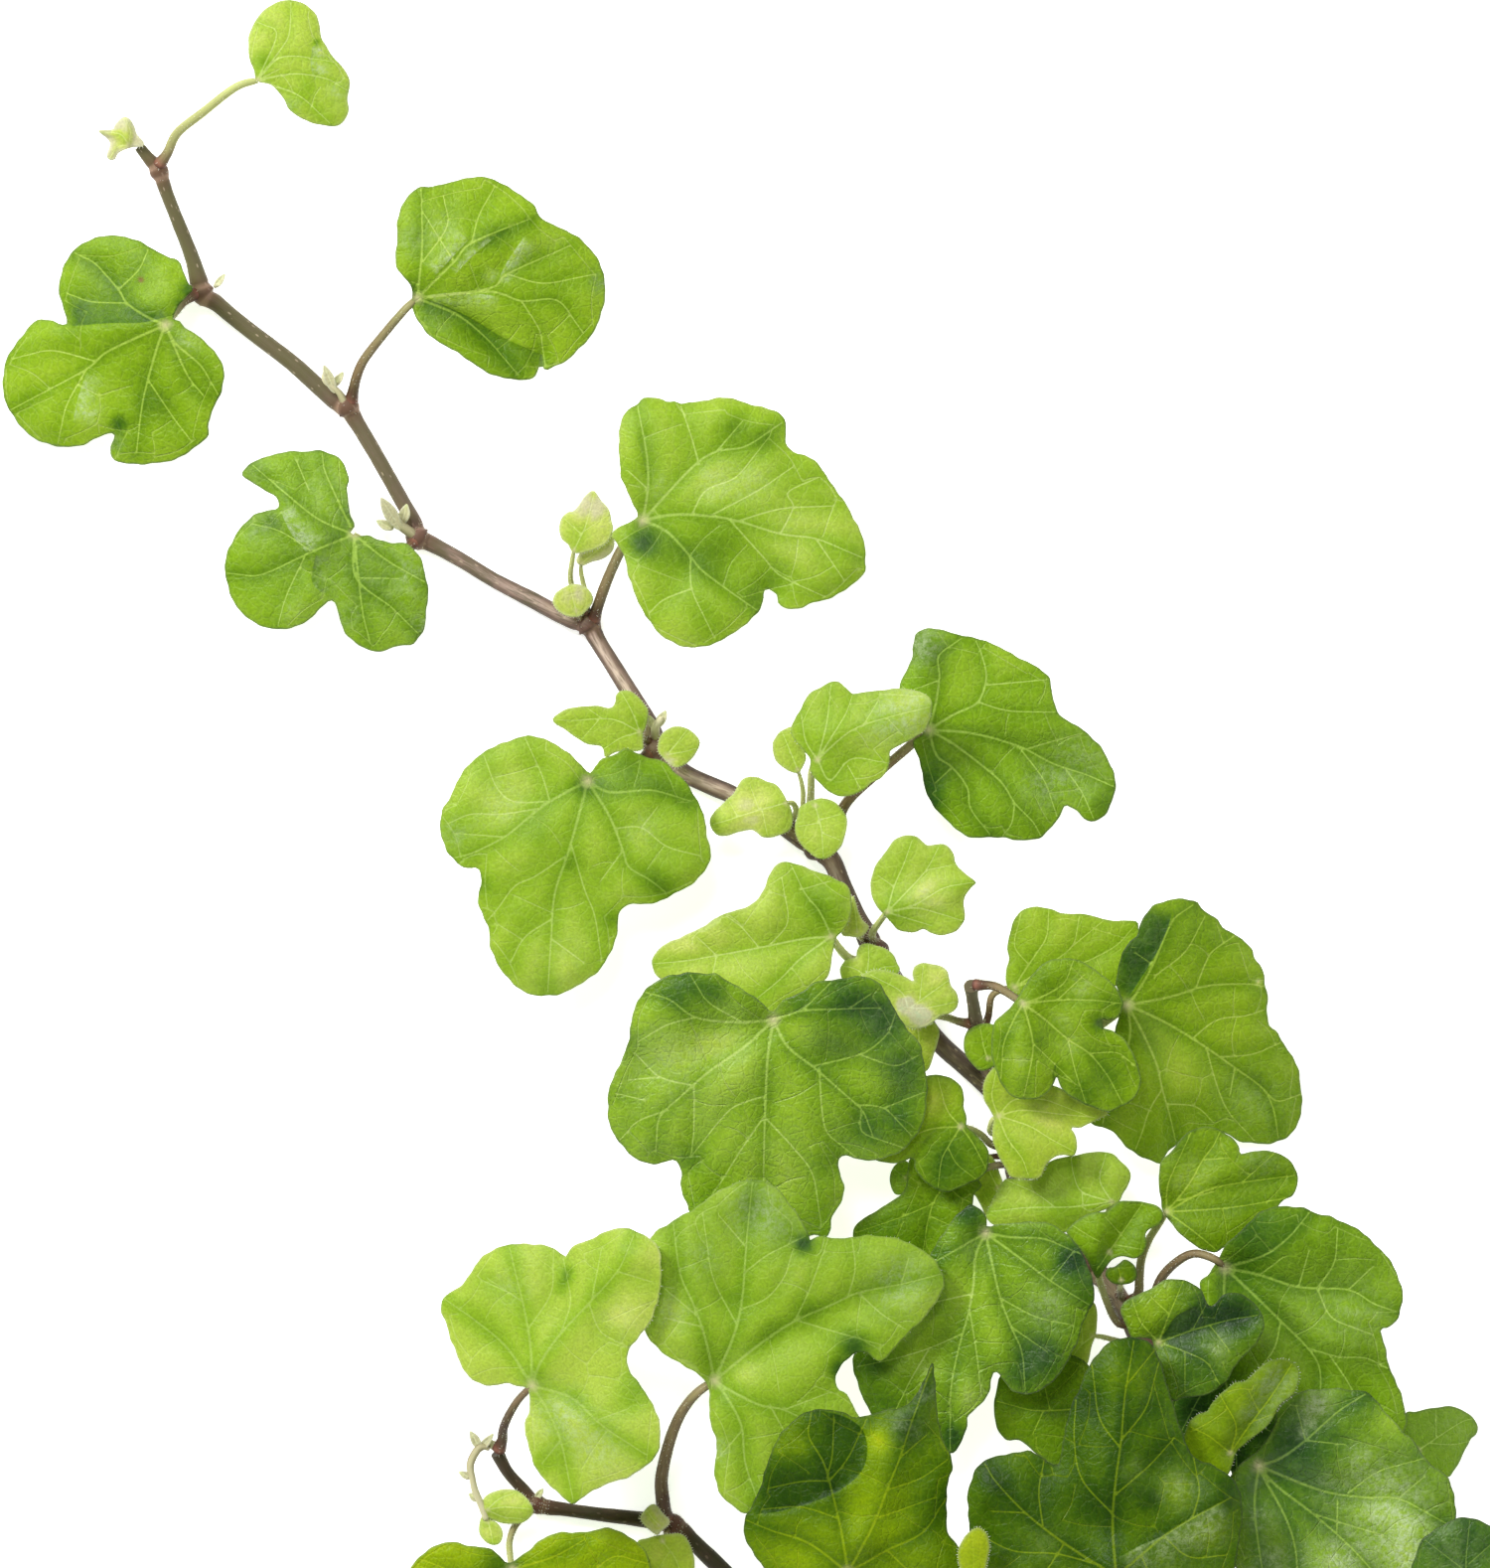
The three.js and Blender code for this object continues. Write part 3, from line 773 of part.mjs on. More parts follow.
addLeaf("leaf_37", {
  tone: "fresh", junction: [172.6, 42.3], rise: 18, tilt: [-0.03, 0.09], cup: -0.12,
  creases: [[174, 42, 193, 38.5, -1.2, 3], [174, 40.5, 186, 28, -1.2, 3]],
  outline: `171.7,43.5 172.2,44.8 173.2,46.0 174.5,47.1 175.8,48.5 177.2,49.8 178.6,50.6
    180.0,51.0 182.0,50.9 184.0,50.7 185.8,49.9 187.6,49.5 189.4,48.7 191.2,47.9 192.4,46.9
    193.8,45.7 195.0,44.4 196.2,43.0 196.9,41.4 197.5,39.8 197.7,38.0 197.4,36.2 196.7,34.7
    195.6,33.9 194.6,33.5 195.2,31.5 195.4,29.8 196.0,28.0 196.7,26.3 197.4,24.7 197.9,23.0
    198.2,21.3 198.0,19.4 196.6,17.6 193.0,17.0 189.4,18.0 186.0,18.8 182.6,18.4 179.6,17.2
    177.4,15.6 175.0,13.9 174.2,12.0 173.5,13.4 173.2,15.4 172.4,17.2 170.6,17.6 168.6,16.6
    166.8,17.8 165.6,20.2 165.2,23.0 166.0,26.0 167.8,29.2 169.2,32.8 169.8,36.8 169.0,40.0
    170.5,41.6`,
  stalk: `171.2,43.5,17.0 168.5,44.3,15.8 166.2,43.4,14.2 163.8,41.0,10.8 162.4,37.4,6.4
    161.8,34.8,4.2 161.7,34.4,3.8`,
  radius: [0.5, 0.65],
});
addLeaf("leaf_38", {
  tone: "dark", junction: [163.3, 31.8], rise: 23, tilt: [0.02, 0.02], cup: 0,
  creases: [[164, 32, 175.5, 35.4, -1.2, 2.2]],
  outline: `162.2,32.2 161.0,32.4 159.4,32.6 158.6,34.4 157.9,36.1 158.4,37.4 159.9,38.4
    161.7,39.1 162.9,39.8 164.2,40.6 166.2,40.7 168.0,40.1 169.4,39.1 169.9,37.7 170.6,36.9
    171.4,37.3 172.2,38.4 173.6,38.8 175.3,38.4 176.9,37.2 178.0,35.4 178.1,33.7 177.3,31.9
    175.7,30.2 174.1,28.4 172.9,26.3 171.2,24.9 169.0,24.2 167.0,24.0 165.4,23.5 164.3,24.7
    163.6,27.4 163.0,29.6 162.6,31.2`,
  stalk: "162.9,30.4,17.0 162.9,29.6,9.0 162.8,29.4,4.2 162.8,29.4,3.9",
  radius: [0.5, 0.55],
});
addLeaf("leaf_39", {
  tone: "lime", junction: [173.4, 16.2], rise: 23.5, tilt: [0.03, 0.06], cup: 0.2,
  creases: [[174.2, 17, 181.5, 28, -1.4, 1.8], [174.2, 17, 168, 20, 0.6, 1.6]],
  outline: `167.1,19.3 167.7,20.7 168.7,21.6 170.1,22.1 170.8,23.2 172.2,24.7 174.0,26.1
    175.4,26.3 176.4,27.2 177.8,28.4 179.2,29.3 181.3,29.4 182.5,28.8 183.1,27.4 182.9,25.6
    182.0,24.2 180.6,23.2 179.9,22.1 179.2,20.7 177.8,19.3 175.7,17.7 174.2,16.2 173.6,14.2
    172.8,12.9 171.0,12.9 169.0,13.9 167.3,15.5 166.7,17.6`,
  stalk: "172.4,15.2,18.0 170.6,14.6,10.0 168.6,14.4,5.0 168.0,14.3,3.9",
  radius: [0.45, 0.5],
});
addLeaf("leaf_40", {
  tone: "dark", junction: [177.4, 14.4], rise: 19.5, tilt: [0.02, 0.05], cup: 0,
  creases: [[179, 12.6, 193, 0, -1.4, 3], [179, 13, 198, 9.8, -1.0, 3]],
  outline: `177.0,16.2 179.0,19.0 179.8,21.0 180.3,22.8 181.8,24.0 183.8,25.0 186.0,25.2
    188.3,25.3 190.5,25.1 192.3,24.9 193.7,23.9 195.2,22.1 196.5,20.6 197.8,19.2 199.2,18.0
    200.0,16.7 201.0,15.3 202.3,14.2 203.8,13.0 204.3,12.3 204.9,10.6 205.1,9.0 205.2,7.0
    204.6,3.6 203.0,0.0 200.0,-3.4 195.6,-6.2 190.0,-7.6 184.0,-7.6 178.6,-5.6 175.0,-1.6
    172.8,3.4 172.4,8.4 173.0,12.0 174.4,14.2 175.8,15.6`,
  stalk: "175.4,12.6,14.0 172.6,10.6,8.0 170.0,9.6,4.8 168.8,9.2,3.9",
  radius: [0.65, 0.7],
});
addLeaf("leaf_41", {
  tone: "fresh", junction: [199.9, 16.6], rise: 8, tilt: [-0.62, -0.1], cup: -0.6,
  outline: `198.2,21.9 199.5,22.0 201.0,22.4 203.0,22.7 204.5,22.8 206.0,22.3 207.3,21.5
    208.1,20.5 208.3,19.7 208.0,18.8 207.3,18.2 206.9,17.3 206.2,16.1 205.7,14.9 204.9,13.7
    204.1,12.8 202.0,13.2 199.5,14.6 197.8,17.0 197.4,19.6`,
  stalk: "196.0,14.0,6.6 188.0,9.6,4.6 178.0,6.6,4.0 170.0,5.6,3.8 168.9,5.5,3.6",
  radius: [0.4, 0.5],
});
addLeaf("leaf_42", {
  tone: "dark", junction: [209.6, -7.6], rise: 23, tilt: [0, 0.08], cup: -0.2,
  outline: `198.6,-2.0 198.9,0.0 199.6,2.0 200.3,3.9 201.5,4.9 203.0,5.9 205.2,7.0 206.8,7.1
    208.3,6.8 210.0,6.0 212.4,4.6 215.0,3.4 217.6,1.4 219.2,-1.4 219.6,-4.6 218.4,-7.8
    215.6,-9.8 212.4,-9.4 210.2,-7.8 208.6,-9.8 205.4,-10.6 202.0,-9.4 199.6,-6.4`,
  stalk: "206.0,-11.4,19.0 196.0,-13.4,11.0 182.0,-12.6,5.4 170.0,-10.8,3.8 167.7,-10.4,3.6",
  radius: [0.6, 0.7],
});
addLeaf("leaf_43", {
  tone: "middle", junction: [157.3, -1.2], rise: 28, tilt: [0, 0.03], cup: -0.2,
  creases: [[157.2, 0, 158.4, 27, 1.0, 3], [156, 0, 141, 11, 0.8, 3], [158.5, 0.5, 173, 9.5, 0.8, 3]],
  outline: `152.2,25.5 153.0,27.5 154.0,29.3 155.4,31.0 156.8,32.0 158.4,32.5 160.2,32.4
    161.8,31.9 162.9,30.7 163.7,28.7 164.3,26.5 165.0,24.3 165.7,21.8 166.4,19.8 167.0,18.0
    167.8,16.3 169.0,15.2 170.8,14.5 172.5,13.6 173.9,12.4 174.8,10.5 175.1,8.5 175.0,6.0
    174.6,3.5 174.2,1.0 173.4,-2.0 171.2,-4.8 167.8,-6.4 164.0,-6.2 160.6,-4.4 157.8,-2.4
    155.0,-4.8 150.6,-6.6 145.6,-6.4 141.2,-4.2 138.4,-0.6 137.0,3.0 136.6,6.0 136.4,8.0
    136.4,10.5 136.9,12.5 137.7,14.2 139.0,15.2 140.8,15.9 143.2,16.2 145.0,16.6 146.0,16.1
    147.4,15.2 148.8,14.3 149.3,15.2 149.8,17.5 150.2,20.0 150.9,22.5 151.6,24.2`,
  stalk: "158.8,-4.0,20.0 161.2,-6.6,10.0 163.2,-8.0,4.4 163.5,-8.1,3.9",
  radius: [0.7, 0.75],
});
addLeaf("leaf_44", {
  tone: "middle", junction: [151.8, 22.4], rise: 8.6, tilt: [0, 0], cup: -0.1,
  outline: `140.9,27.0 140.6,25.8 140.2,24.0 140.1,22.0 140.4,20.0 141.2,18.6 142.0,18.0
    143.6,18.0 145.0,17.0 146.5,15.8 148.8,14.4 151.6,15.6 153.6,18.6 154.4,22.0 154.4,25.4
    153.6,28.4 151.0,30.0 147.0,30.4 143.0,29.4`,
  stalk: "154.6,22.4,6.6 158.6,22.8,4.8 162.0,23.2,4.0 162.6,23.2,3.6",
  radius: [0.4, 0.5],
});
addLeaf("leaf_45", {
  tone: "middle", junction: [119.5, -0.6], rise: 21, tilt: [0, 0.08], cup: -0.1,
  creases: [[122, 4, 131.3, 28, 1.2, 2.2], [118.6, 2, 114.4, 20, 0.6, 3]],
  outline: `107.7,0.0 106.3,1.8 105.3,3.6 104.8,5.3 105.0,7.1 106.0,8.8 107.2,11.6
    108.2,14.9 109.2,17.5 110.5,19.5 112.2,21.1 114.0,22.1 116.0,22.4 118.5,22.0 120.5,21.3
    122.7,21.6 124.8,22.3 126.8,22.6 128.2,23.2 129.4,25.0 130.6,27.2 131.5,29.0 131.8,26.0
    132.0,23.5 132.3,20.5 133.0,18.0 133.9,16.0 134.3,14.2 133.8,12.7 133.4,10.5 133.5,8.0
    133.4,5.7 134.0,4.3 135.2,3.0 136.2,1.0 136.6,-1.4 135.6,-4.2 132.6,-6.6 128.2,-7.6
    123.8,-5.8 120.4,-2.6 117.8,-5.6 113.8,-6.2 110.2,-4.0`,
  stalk: "120.2,-3.2,14.0 120.6,-6.4,7.0 120.8,-8.6,4.0 120.8,-8.9,3.4",
  radius: [0.6, 0.65],
});
addLeaf("leaf_46", {
  tone: "light", junction: [100.7, 26.4], rise: 18.5, tilt: [0.01, 0.04], cup: -0.12,
  creases: [[101, 27.5, 105, 50, -1.0, 3], [102, 27.5, 127, 40, -1.2, 3], [101.5, 25, 105, 12, -0.8, 2.4]],
  outline: `99.6,26.0 98.7,27.0 97.3,28.0 95.8,28.9 94.0,29.8 92.7,31.0 91.6,32.2 90.8,33.4
    90.3,36.0 90.0,40.0 90.4,43.6 91.5,46.2 92.5,47.5 94.0,48.4 96.5,49.9 97.2,50.3 99.0,51.5
    101.0,53.0 103.0,54.0 105.0,54.6 107.0,54.7 108.6,54.1 110.0,53.0 111.2,51.5 112.3,50.0
    113.3,48.3 114.0,46.9 114.2,46.2 115.0,46.7 116.5,46.6 118.5,46.5 120.3,46.6 122.0,46.9
    124.0,46.8 126.0,46.5 128.0,45.9 130.0,44.8 131.5,43.6 132.6,42.2 133.1,40.5 132.7,38.8
    131.8,37.2 130.6,35.7 129.3,34.2 128.0,33.0 126.8,31.8 125.8,30.6 124.2,29.0 123.3,29.5
    122.4,30.2 121.2,30.4 120.0,29.9 118.7,28.7 117.9,27.4 117.8,26.2 118.3,25.2 119.0,24.7
    119.9,23.6 120.6,22.2 121.2,21.2 122.0,19.0 121.6,16.2 120.0,13.6 118.0,11.8 115.5,10.5
    112.0,9.7 108.5,8.5 105.2,7.6 104.0,8.2 102.7,9.2 101.6,10.3 100.9,11.9 100.7,13.5
    100.8,15.0 101.0,16.8 100.8,18.5 100.3,20.0 99.9,21.8 100.0,23.5 99.9,25.2`,
  stalk: `98.3,24.7,15.8 96.3,22.3,13.0 94.9,19.4,10.6 93.8,15.8,8.2 93.2,12.4,6.2
    93.4,9.6,4.6 93.9,8.2,4.0`,
  radius: [0.55, 0.9],
});
addLeaf("leaf_47", {
  tone: "lime", junction: [75.0, 25.7], rise: 15, tilt: [0.38, 0], cup: 0,
  creases: [[76, 28, 88, 43.5, 1.0, 2.6], [75.5, 29, 73, 44, 0.6, 3], [76, 24.6, 90, 17, 0.6, 3]],
  outline: `74.4,25.2 73.0,25.6 71.5,26.0 70.0,25.8 68.5,25.7 67.2,26.1 66.0,27.1 65.1,28.3
    64.4,30.0 63.6,32.0 63.0,34.0 62.2,36.0 62.2,37.4 63.0,38.5 64.3,39.4 65.5,40.3 66.4,41.7
    67.2,43.0 68.2,44.1 69.8,44.9 71.5,45.6 73.3,45.7 75.0,45.6 76.8,45.5 78.2,45.0 79.2,44.2
    79.8,43.8 80.3,45.0 81.4,45.7 83.0,46.2 84.6,47.0 86.0,47.7 87.8,47.9 89.3,47.6 90.8,46.9
    92.2,46.0 92.9,44.8 93.2,43.0 93.2,41.0 93.0,39.0 92.6,37.0 91.9,35.2 91.2,34.0 90.6,33.2
    89.8,32.2 88.9,31.2 88.4,30.1 88.4,28.8 89.1,27.3 90.2,25.8 91.3,24.2 92.2,22.7 92.8,21.0
    93.1,19.2 93.0,17.4 92.5,15.9 91.3,14.6 89.8,13.5 88.0,12.6 86.0,12.0 84.5,11.3 82.8,10.5
    81.8,9.6 81.0,9.0 80.3,9.1 79.6,9.8 78.3,10.9 76.8,12.3 75.6,14.0 74.8,15.8 74.4,17.5
    74.0,19.2 74.0,20.5 74.5,22.0 74.7,23.8`,
  stalk: "73.0,23.6,13.0 71.6,21.3,10.6 70.9,19.5,7.8 70.8,18.2,6.2 70.7,17.6,5.6",
  radius: [0.45, 0.65],
});
addLeaf("leaf_48", {
  tone: "lime", junction: [93.4, 3.8], rise: 4.8, tilt: [0.03, 0], cup: 0.2,
  creases: [[93, 4, 96.4, -0.4, -0.7, 1.3]],
  outline: `89.8,3.6 91.2,4.2 92.6,4.6 94.5,4.8 95.6,4.9 96.6,4.4 97.2,3.4 97.6,2.3 97.9,0.8
    97.8,-0.8 96.6,-3.0 94.2,-4.4 91.8,-4.0 90.6,-1.8 90.2,1.2`,
  stalk: "93.9,4.8,3.8 94.1,5.2,3.5",
  radius: [0.3, 0.35],
});
addLeaf("leaf_49", {
  tone: "fresh", junction: [72.2, -0.2], rise: 9, tilt: [0.03, 0.14], cup: -0.2,
  outline: `72.2,0.8 73.3,1.6 74.6,2.6 76.0,3.8 77.5,4.6 79.2,5.1 81.0,5.0 82.8,5.1 84.3,5.5
    85.6,5.7 87.0,5.3 88.5,4.5 89.7,3.8 90.8,2.6 91.5,1.2 91.9,-1.0 91.4,-4.4 89.6,-8.0
    86.0,-10.8 81.6,-12.4 78.0,-14.8 74.2,-17.4 70.6,-17.0 67.6,-14.2 64.0,-12.2 60.0,-9.8
    57.2,-6.2 56.6,-2.4 57.8,0.0 59.0,1.4 60.4,2.7 62.0,3.4 63.8,3.7 65.6,3.3 67.3,3.0
    68.7,2.8 69.5,2.6 70.5,1.6 71.3,0.9`,
  stalk: "71.9,1.6,7.0 71.8,3.6,5.0 72.4,5.6,3.7 73.6,7.2,3.2 74.5,8.1,2.8",
  radius: [0.4, 0.45],
});
addLeaf("leaf_50", {
  tone: "light", junction: [154.0, 32.7], rise: 7.7, tilt: [0, 0.02], cup: 0,
  outline: `149.8,27.3 151.0,27.2 152.3,27.7 153.2,28.6 153.6,30.0 153.9,31.5 154.4,32.6
    154.6,34.5 154.6,36.4 154.0,37.4 152.2,36.0 150.8,33.2 149.8,30.4`,
  stalk: "155.2,32.6,6.4 156.8,32.2,5.0 158.4,31.8,4.2 159.1,31.6,3.8",
  radius: [0.3, 0.4],
});
addLeaf("leaf_51", {
  tone: "deep", junction: [127.6, 55.0], rise: 5.4, tilt: [0, 0], cup: 0.2,
  outline: `125.4,54.5 125.6,55.9 126.4,57.0 127.6,57.4 128.6,56.4 128.8,54.6 127.6,52.9
    126.4,52.6 125.7,53.3`,
  stalk: "129.4,55.2,4.6 133.0,56.0,3.9 137.0,57.6,3.1 140.4,58.0,2.4 140.8,58.0,2.3",
  radius: [0.25, 0.35],
});
addLeaf("leaf_52", {
  tone: "lime", junction: [92.9, 6.0], rise: 5.2, tilt: [0, 0], cup: 1.2,
  outline: `90.3,7.3 91.0,8.3 91.9,9.0 92.6,8.8 93.2,8.0 94.0,7.2 94.4,6.6 94.2,6.0 93.2,5.2
    92.7,4.6 92.0,5.0 91.0,5.8 90.4,6.6`,
  stalk: "93.4,6.0,4.3 94.0,6.1,3.5",
  radius: [0.3, 0.35],
});
addLeaf("leaf_53", {
  tone: "lime", junction: [137.2, -1.2], rise: 31, tilt: [0, 0.06], cup: 0.8,
  outline: `135.2,3.0 135.9,4.3 136.9,5.3 138.0,5.7 139.1,4.8 139.5,3.2 139.2,1.3
    138.8,-0.5 138.0,-2.2 136.5,-2.0 135.4,-0.3 135.0,1.5`,
  stalk: "137.2,-5.0,24.0 137.0,-8.6,13.0 136.8,-11.2,5.0 136.8,-11.5,3.4",
  radius: [0.4, 0.5],
});

addNode(
  "main_stem",
  NODE_BUDS.reduce(
    (body, bud) => wasm.Manifold.union(body, tube(bud, 6, 2)),
    tube(MAIN_STEM, STEM_SIDES, 1),
  ),
  STEM_BROWN,
);
addNode("side_branch", tube(SIDE_BRANCH, STEM_SIDES, 2), BRANCH_BROWN);
addNode("side_shoot", tube(SIDE_SHOOT, STEM_SIDES, 2), STEM_BROWN);
addNode("tip_bud", blade(TIP_BUD, BUD_THICKNESS), CREAM);
addNode(
  "end_shoot",
  YOUNG_LEAVES.reduce((body, leaf) => wasm.Manifold.union(body, blade(leaf, 0.9)), tube(END_SHOOT, 6, 2)),
  GREEN.lime,
);

export default group;
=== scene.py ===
"""A cut spray of small-leaved ivy lying on a plain pale table, seen from straight above.

Every leaf is a thin closed blade grown from its drawn rim and veins, with its stalk.
The stems, stalks and buds are round shoots run along their drawn lines."""
import math
import zlib

import bpy
import numpy as np
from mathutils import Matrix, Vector
from mathutils.geometry import delaunay_2d_cdt


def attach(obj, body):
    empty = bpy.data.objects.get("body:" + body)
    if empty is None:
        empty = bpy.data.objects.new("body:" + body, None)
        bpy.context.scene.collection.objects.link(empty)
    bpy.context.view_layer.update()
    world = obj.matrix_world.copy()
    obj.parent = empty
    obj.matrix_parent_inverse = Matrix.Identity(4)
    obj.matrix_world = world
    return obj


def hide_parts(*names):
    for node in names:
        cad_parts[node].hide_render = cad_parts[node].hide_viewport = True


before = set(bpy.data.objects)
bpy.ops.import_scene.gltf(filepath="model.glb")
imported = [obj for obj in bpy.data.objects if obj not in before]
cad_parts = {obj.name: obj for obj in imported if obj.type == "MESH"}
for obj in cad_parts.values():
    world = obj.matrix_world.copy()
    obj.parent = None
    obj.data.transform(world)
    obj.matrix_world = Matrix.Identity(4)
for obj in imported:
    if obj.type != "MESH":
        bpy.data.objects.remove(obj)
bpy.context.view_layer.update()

MM = 0.001
# The drawings are in millimetres on the sheet seen from EYE_HEIGHT above VIEW_CENTRE.
EYE_HEIGHT = 900.0
VIEW_CENTRE = np.array([105.0, 110.46])
ORIGIN = np.array([108.6, 97.24])
VIEW_HEIGHT = 220.92

# A blade, in millimetres. Most of it shrinks with the leaf.
FULL_LEAF = 27             # side of a square as large as a full-grown blade
BLADE_THICKNESS = 0.34
RIM_DROP = 0.35            # how far the rim bends down
NIBBLE = 0.12              # how uneven the rim is
NIBBLE_WAVES = (2.1, 3.3, 5.2)
SWELL = 0.62               # slow hollows and swells
QUILT = 0.38               # how far the blade stands up between its veins
NET_QUILT = 0.3 * QUILT
GROOVE = 0.02              # over a vein
RIDGE = 0.13               # under a vein
RIB_HALF_WIDTHS = (0.38, 0.17)      # from the joint to the tip
VEIN_HALF_WIDTHS = (0.22, 0.15)
NET_GAP_FROM_RIM = (0.3, 0.12)      # of inner threads and of threads that run to the rim
SMALLEST_NETTED = 0.42     # the size from which a blade has a net of finer veins
NET_CELL = (3.4, 1.1)      # a cell's width, and how much wider a full-grown leaf's is
NET_MARGIN = (0.75, 0.4)   # the same for the net's distance from the rim
NET_HALF_WIDTH = (0.11, 0.04)       # and for its threads
LOOSE_END_REACH = 5.0      # how far a vein's loose end looks for another line
FOLD_DEPTH = 0.6
FOLD_STEP = 0.14           # the width in which the painted shade beside a fold sets in
TABLE_GAP = 0.03           # between the lowest blades and the table
# Its mesh, in millimetres.
RIM_STEP = 0.55
VEIN_STEP = 0.62
CELL = 0.95
ROW = 0.87                 # rows of cells lie this many cells apart

STALK_GIRTH = 1.3          # a stalk's real radius over its drawn one
STALK_STEP, STEM_STEP, BUD_STEP = 0.55, 0.42, 0.3
STALK_SIDES, STEM_SIDES = 9, 16
STALK_RIDGE, BUD_RIDGE, STEM_RIDGE = 0.05, 0.06, 0.16
FULL_FOOT = 0.6            # the drawn radius of a grown leaf's stalk at its foot
BLUNT_TIP = 0.5            # the length in which a bud's end is rounded
HAIRS_PER_MM = 6           # on a stalk
TABLE_HALF_WIDTH, TABLE_DROP = 3.0, 0.0001       # in metres
LIT_SIDE_WAY = [-0.3, 0.2, 0.93]       # the way the lit side of the stems faces, where a highlight is painted

TINT_STRENGTH = 1.3
TONES = {"cream": 0.0, "lime": 0.15, "light": 0.32, "fresh": 0.5, "middle": 0.66,
         "deep": 0.83, "dark": 1.0}
AGE_OF_TONE = {"cream": "young", "lime": "young", "light": "young", "fresh": "grown",
               "middle": "grown", "deep": "leathery", "dark": "leathery"}
BLUSH_OF_AGE = {"young": 0.0, "grown": 0.2, "leathery": 0.35}


# ---------------------------------------------------------------- the drawings

def numbers(text):
    """The points written in a text, one row each."""
    return np.array([[float(value) for value in point.split(",")] for point in text.split()])


def parts(text):
    """What stands between the bars of a text."""
    return [part.strip() for part in text.split("|") if part.strip()]


READERS = {
    **dict.fromkeys(("rise", "cup", "shade", "warm", "blush", "clear"), float),
    **dict.fromkeys(("joint", "tilt", "radius"), lambda text: numbers(text)[0]),
    **dict.fromkeys(("rim", "creases", "flecks", "stalk"), numbers),
}


def drawn_leaves(text):
    """Leaves by name. A block has a name, a tone and then words, each before its numbers."""
    leaves = {}
    for block in text.strip().split("\n\n"):
        name, tone, *said = block.split()
        words = {}
        for part in said:
            if part.isalpha():
                words[part] = latest = []
            else:
                latest.append(part)
        leaves[name] = {"tone": tone}
        for word, found in words.items():
            leaves[name][word] = READERS.get(word, str)(" ".join(found))
    return leaves


# x, y, height and radius along each stem, in millimetres.
MAIN_STEM = numbers("""
    19.6,200.3,6.3,0.75 20.8,198.8,6.0,0.85 22.4,196.8,5.4,1.15 23.6,193.4,4.7,0.92
    27.0,184.8,3.4,1.02 28.6,179.6,2.5,1.45 30.6,178.1,2.3,1.15 35.0,174.5,1.8,1.10
    40.9,170.0,1.5,1.15 47.3,164.3,1.5,1.20 48.9,163.6,1.5,1.50 50.2,161.5,1.5,1.15
    53.0,156.8,1.7,1.05 56.0,151.5,1.8,1.05 58.2,147.5,1.7,1.15 58.9,145.2,1.6,1.55
    60.8,144.3,1.6,1.15 64.5,142.3,1.7,1.05 70.0,139.0,1.8,1.05 75.0,136.4,1.9,1.15
    80.0,133.8,1.8,1.20 82.8,133.0,1.8,1.65 84.3,130.5,1.9,1.20 88.2,124.3,2.0,1.20
    91.2,119.4,1.9,1.30 92.6,115.6,1.8,1.75 95.8,112.4,1.8,1.35 100.0,110.3,2.0,1.30
    103.3,108.9,2.1,1.30 108.4,106.0,2.1,1.30 112.2,103.4,1.9,1.45 115.0,101.6,1.8,1.75
    117.2,99.6,1.8,1.40 118.8,96.0,2.0,1.30 120.9,91.6,2.0,1.30 123.4,86.8,1.8,1.75
    126.2,82.6,1.9,1.35 130.4,76.6,2.1,1.30 132.8,73.6,2.1,1.35 138.2,68.8,1.9,1.35
    141.0,66.3,1.8,1.80 142.7,62.3,1.9,1.40 142.9,58.0,1.8,1.70 144.5,51.5,1.9,1.35
    148.0,46.7,1.8,1.45 152.6,42.9,1.8,1.70 155.9,40.4,1.8,1.45 158.3,37.0,1.8,1.45
    161.2,31.6,1.8,1.80 163.6,25.0,1.9,1.50 165.7,17.0,1.9,1.75 166.9,8.0,1.8,1.60
    166.5,-1.0,1.8,1.70 165.2,-8.0,1.8,1.60 163.6,-14.6,2.0,2.00 161.9,-25.0,1.6,1.60""")
SIDE_BRANCH = numbers("""
    161.1,-15.3,1.9,1.25 150.0,-15.0,1.5,1.25 136.0,-13.8,1.4,1.30 120.5,-10.6,1.4,1.35
    109.5,-6.0,1.3,1.20 104.0,-2.2,1.3,1.20 100.0,1.5,1.3,1.20 97.6,3.8,1.3,1.15
    94.8,6.1,1.4,1.40 90.0,6.9,1.4,1.10 85.0,7.5,1.4,1.00 80.0,8.2,1.4,0.95
    75.6,9.0,1.6,1.20 73.6,11.2,2.2,0.90 71.5,13.6,3.2,0.82 70.1,16.2,4.2,1.00""")
SIDE_SHOOT = numbers("""
    139.4,69.6,3.95,1.05 138.4,72.6,5.0,1.00 137.7,76.0,6.6,1.15
    137.3,78.6,9.6,0.90 137.0,80.6,12.4,0.85 136.9,82.0,14.6,1.05""")
END_SHOOT = numbers("""
    69.0,16.9,4.9,0.40 67.6,17.0,5.2,0.55 66.3,14.7,5.4,0.55 66.6,12.5,5.4,0.45
    67.0,10.8,5.2,0.50 67.9,8.7,5.0,0.50 68.6,6.6,4.8,0.45""")
NODE_BUDS = [numbers(text) for text in (
    "48.6,164.2,2.6,0.7 47.6,165.8,3.4,0.45 45.8,167.3,4.0,0.4 45.8,168.7,4.4,0.3",
    "58.2,145.6,2.8,0.8 56.4,147.0,4.0,0.7 55.2,148.6,4.8,0.6 53.7,150.3,5.2,0.35",
    "92.4,117.0,3.2,0.7 92.4,118.6,4.6,0.6 93.4,119.9,5.4,0.4")]
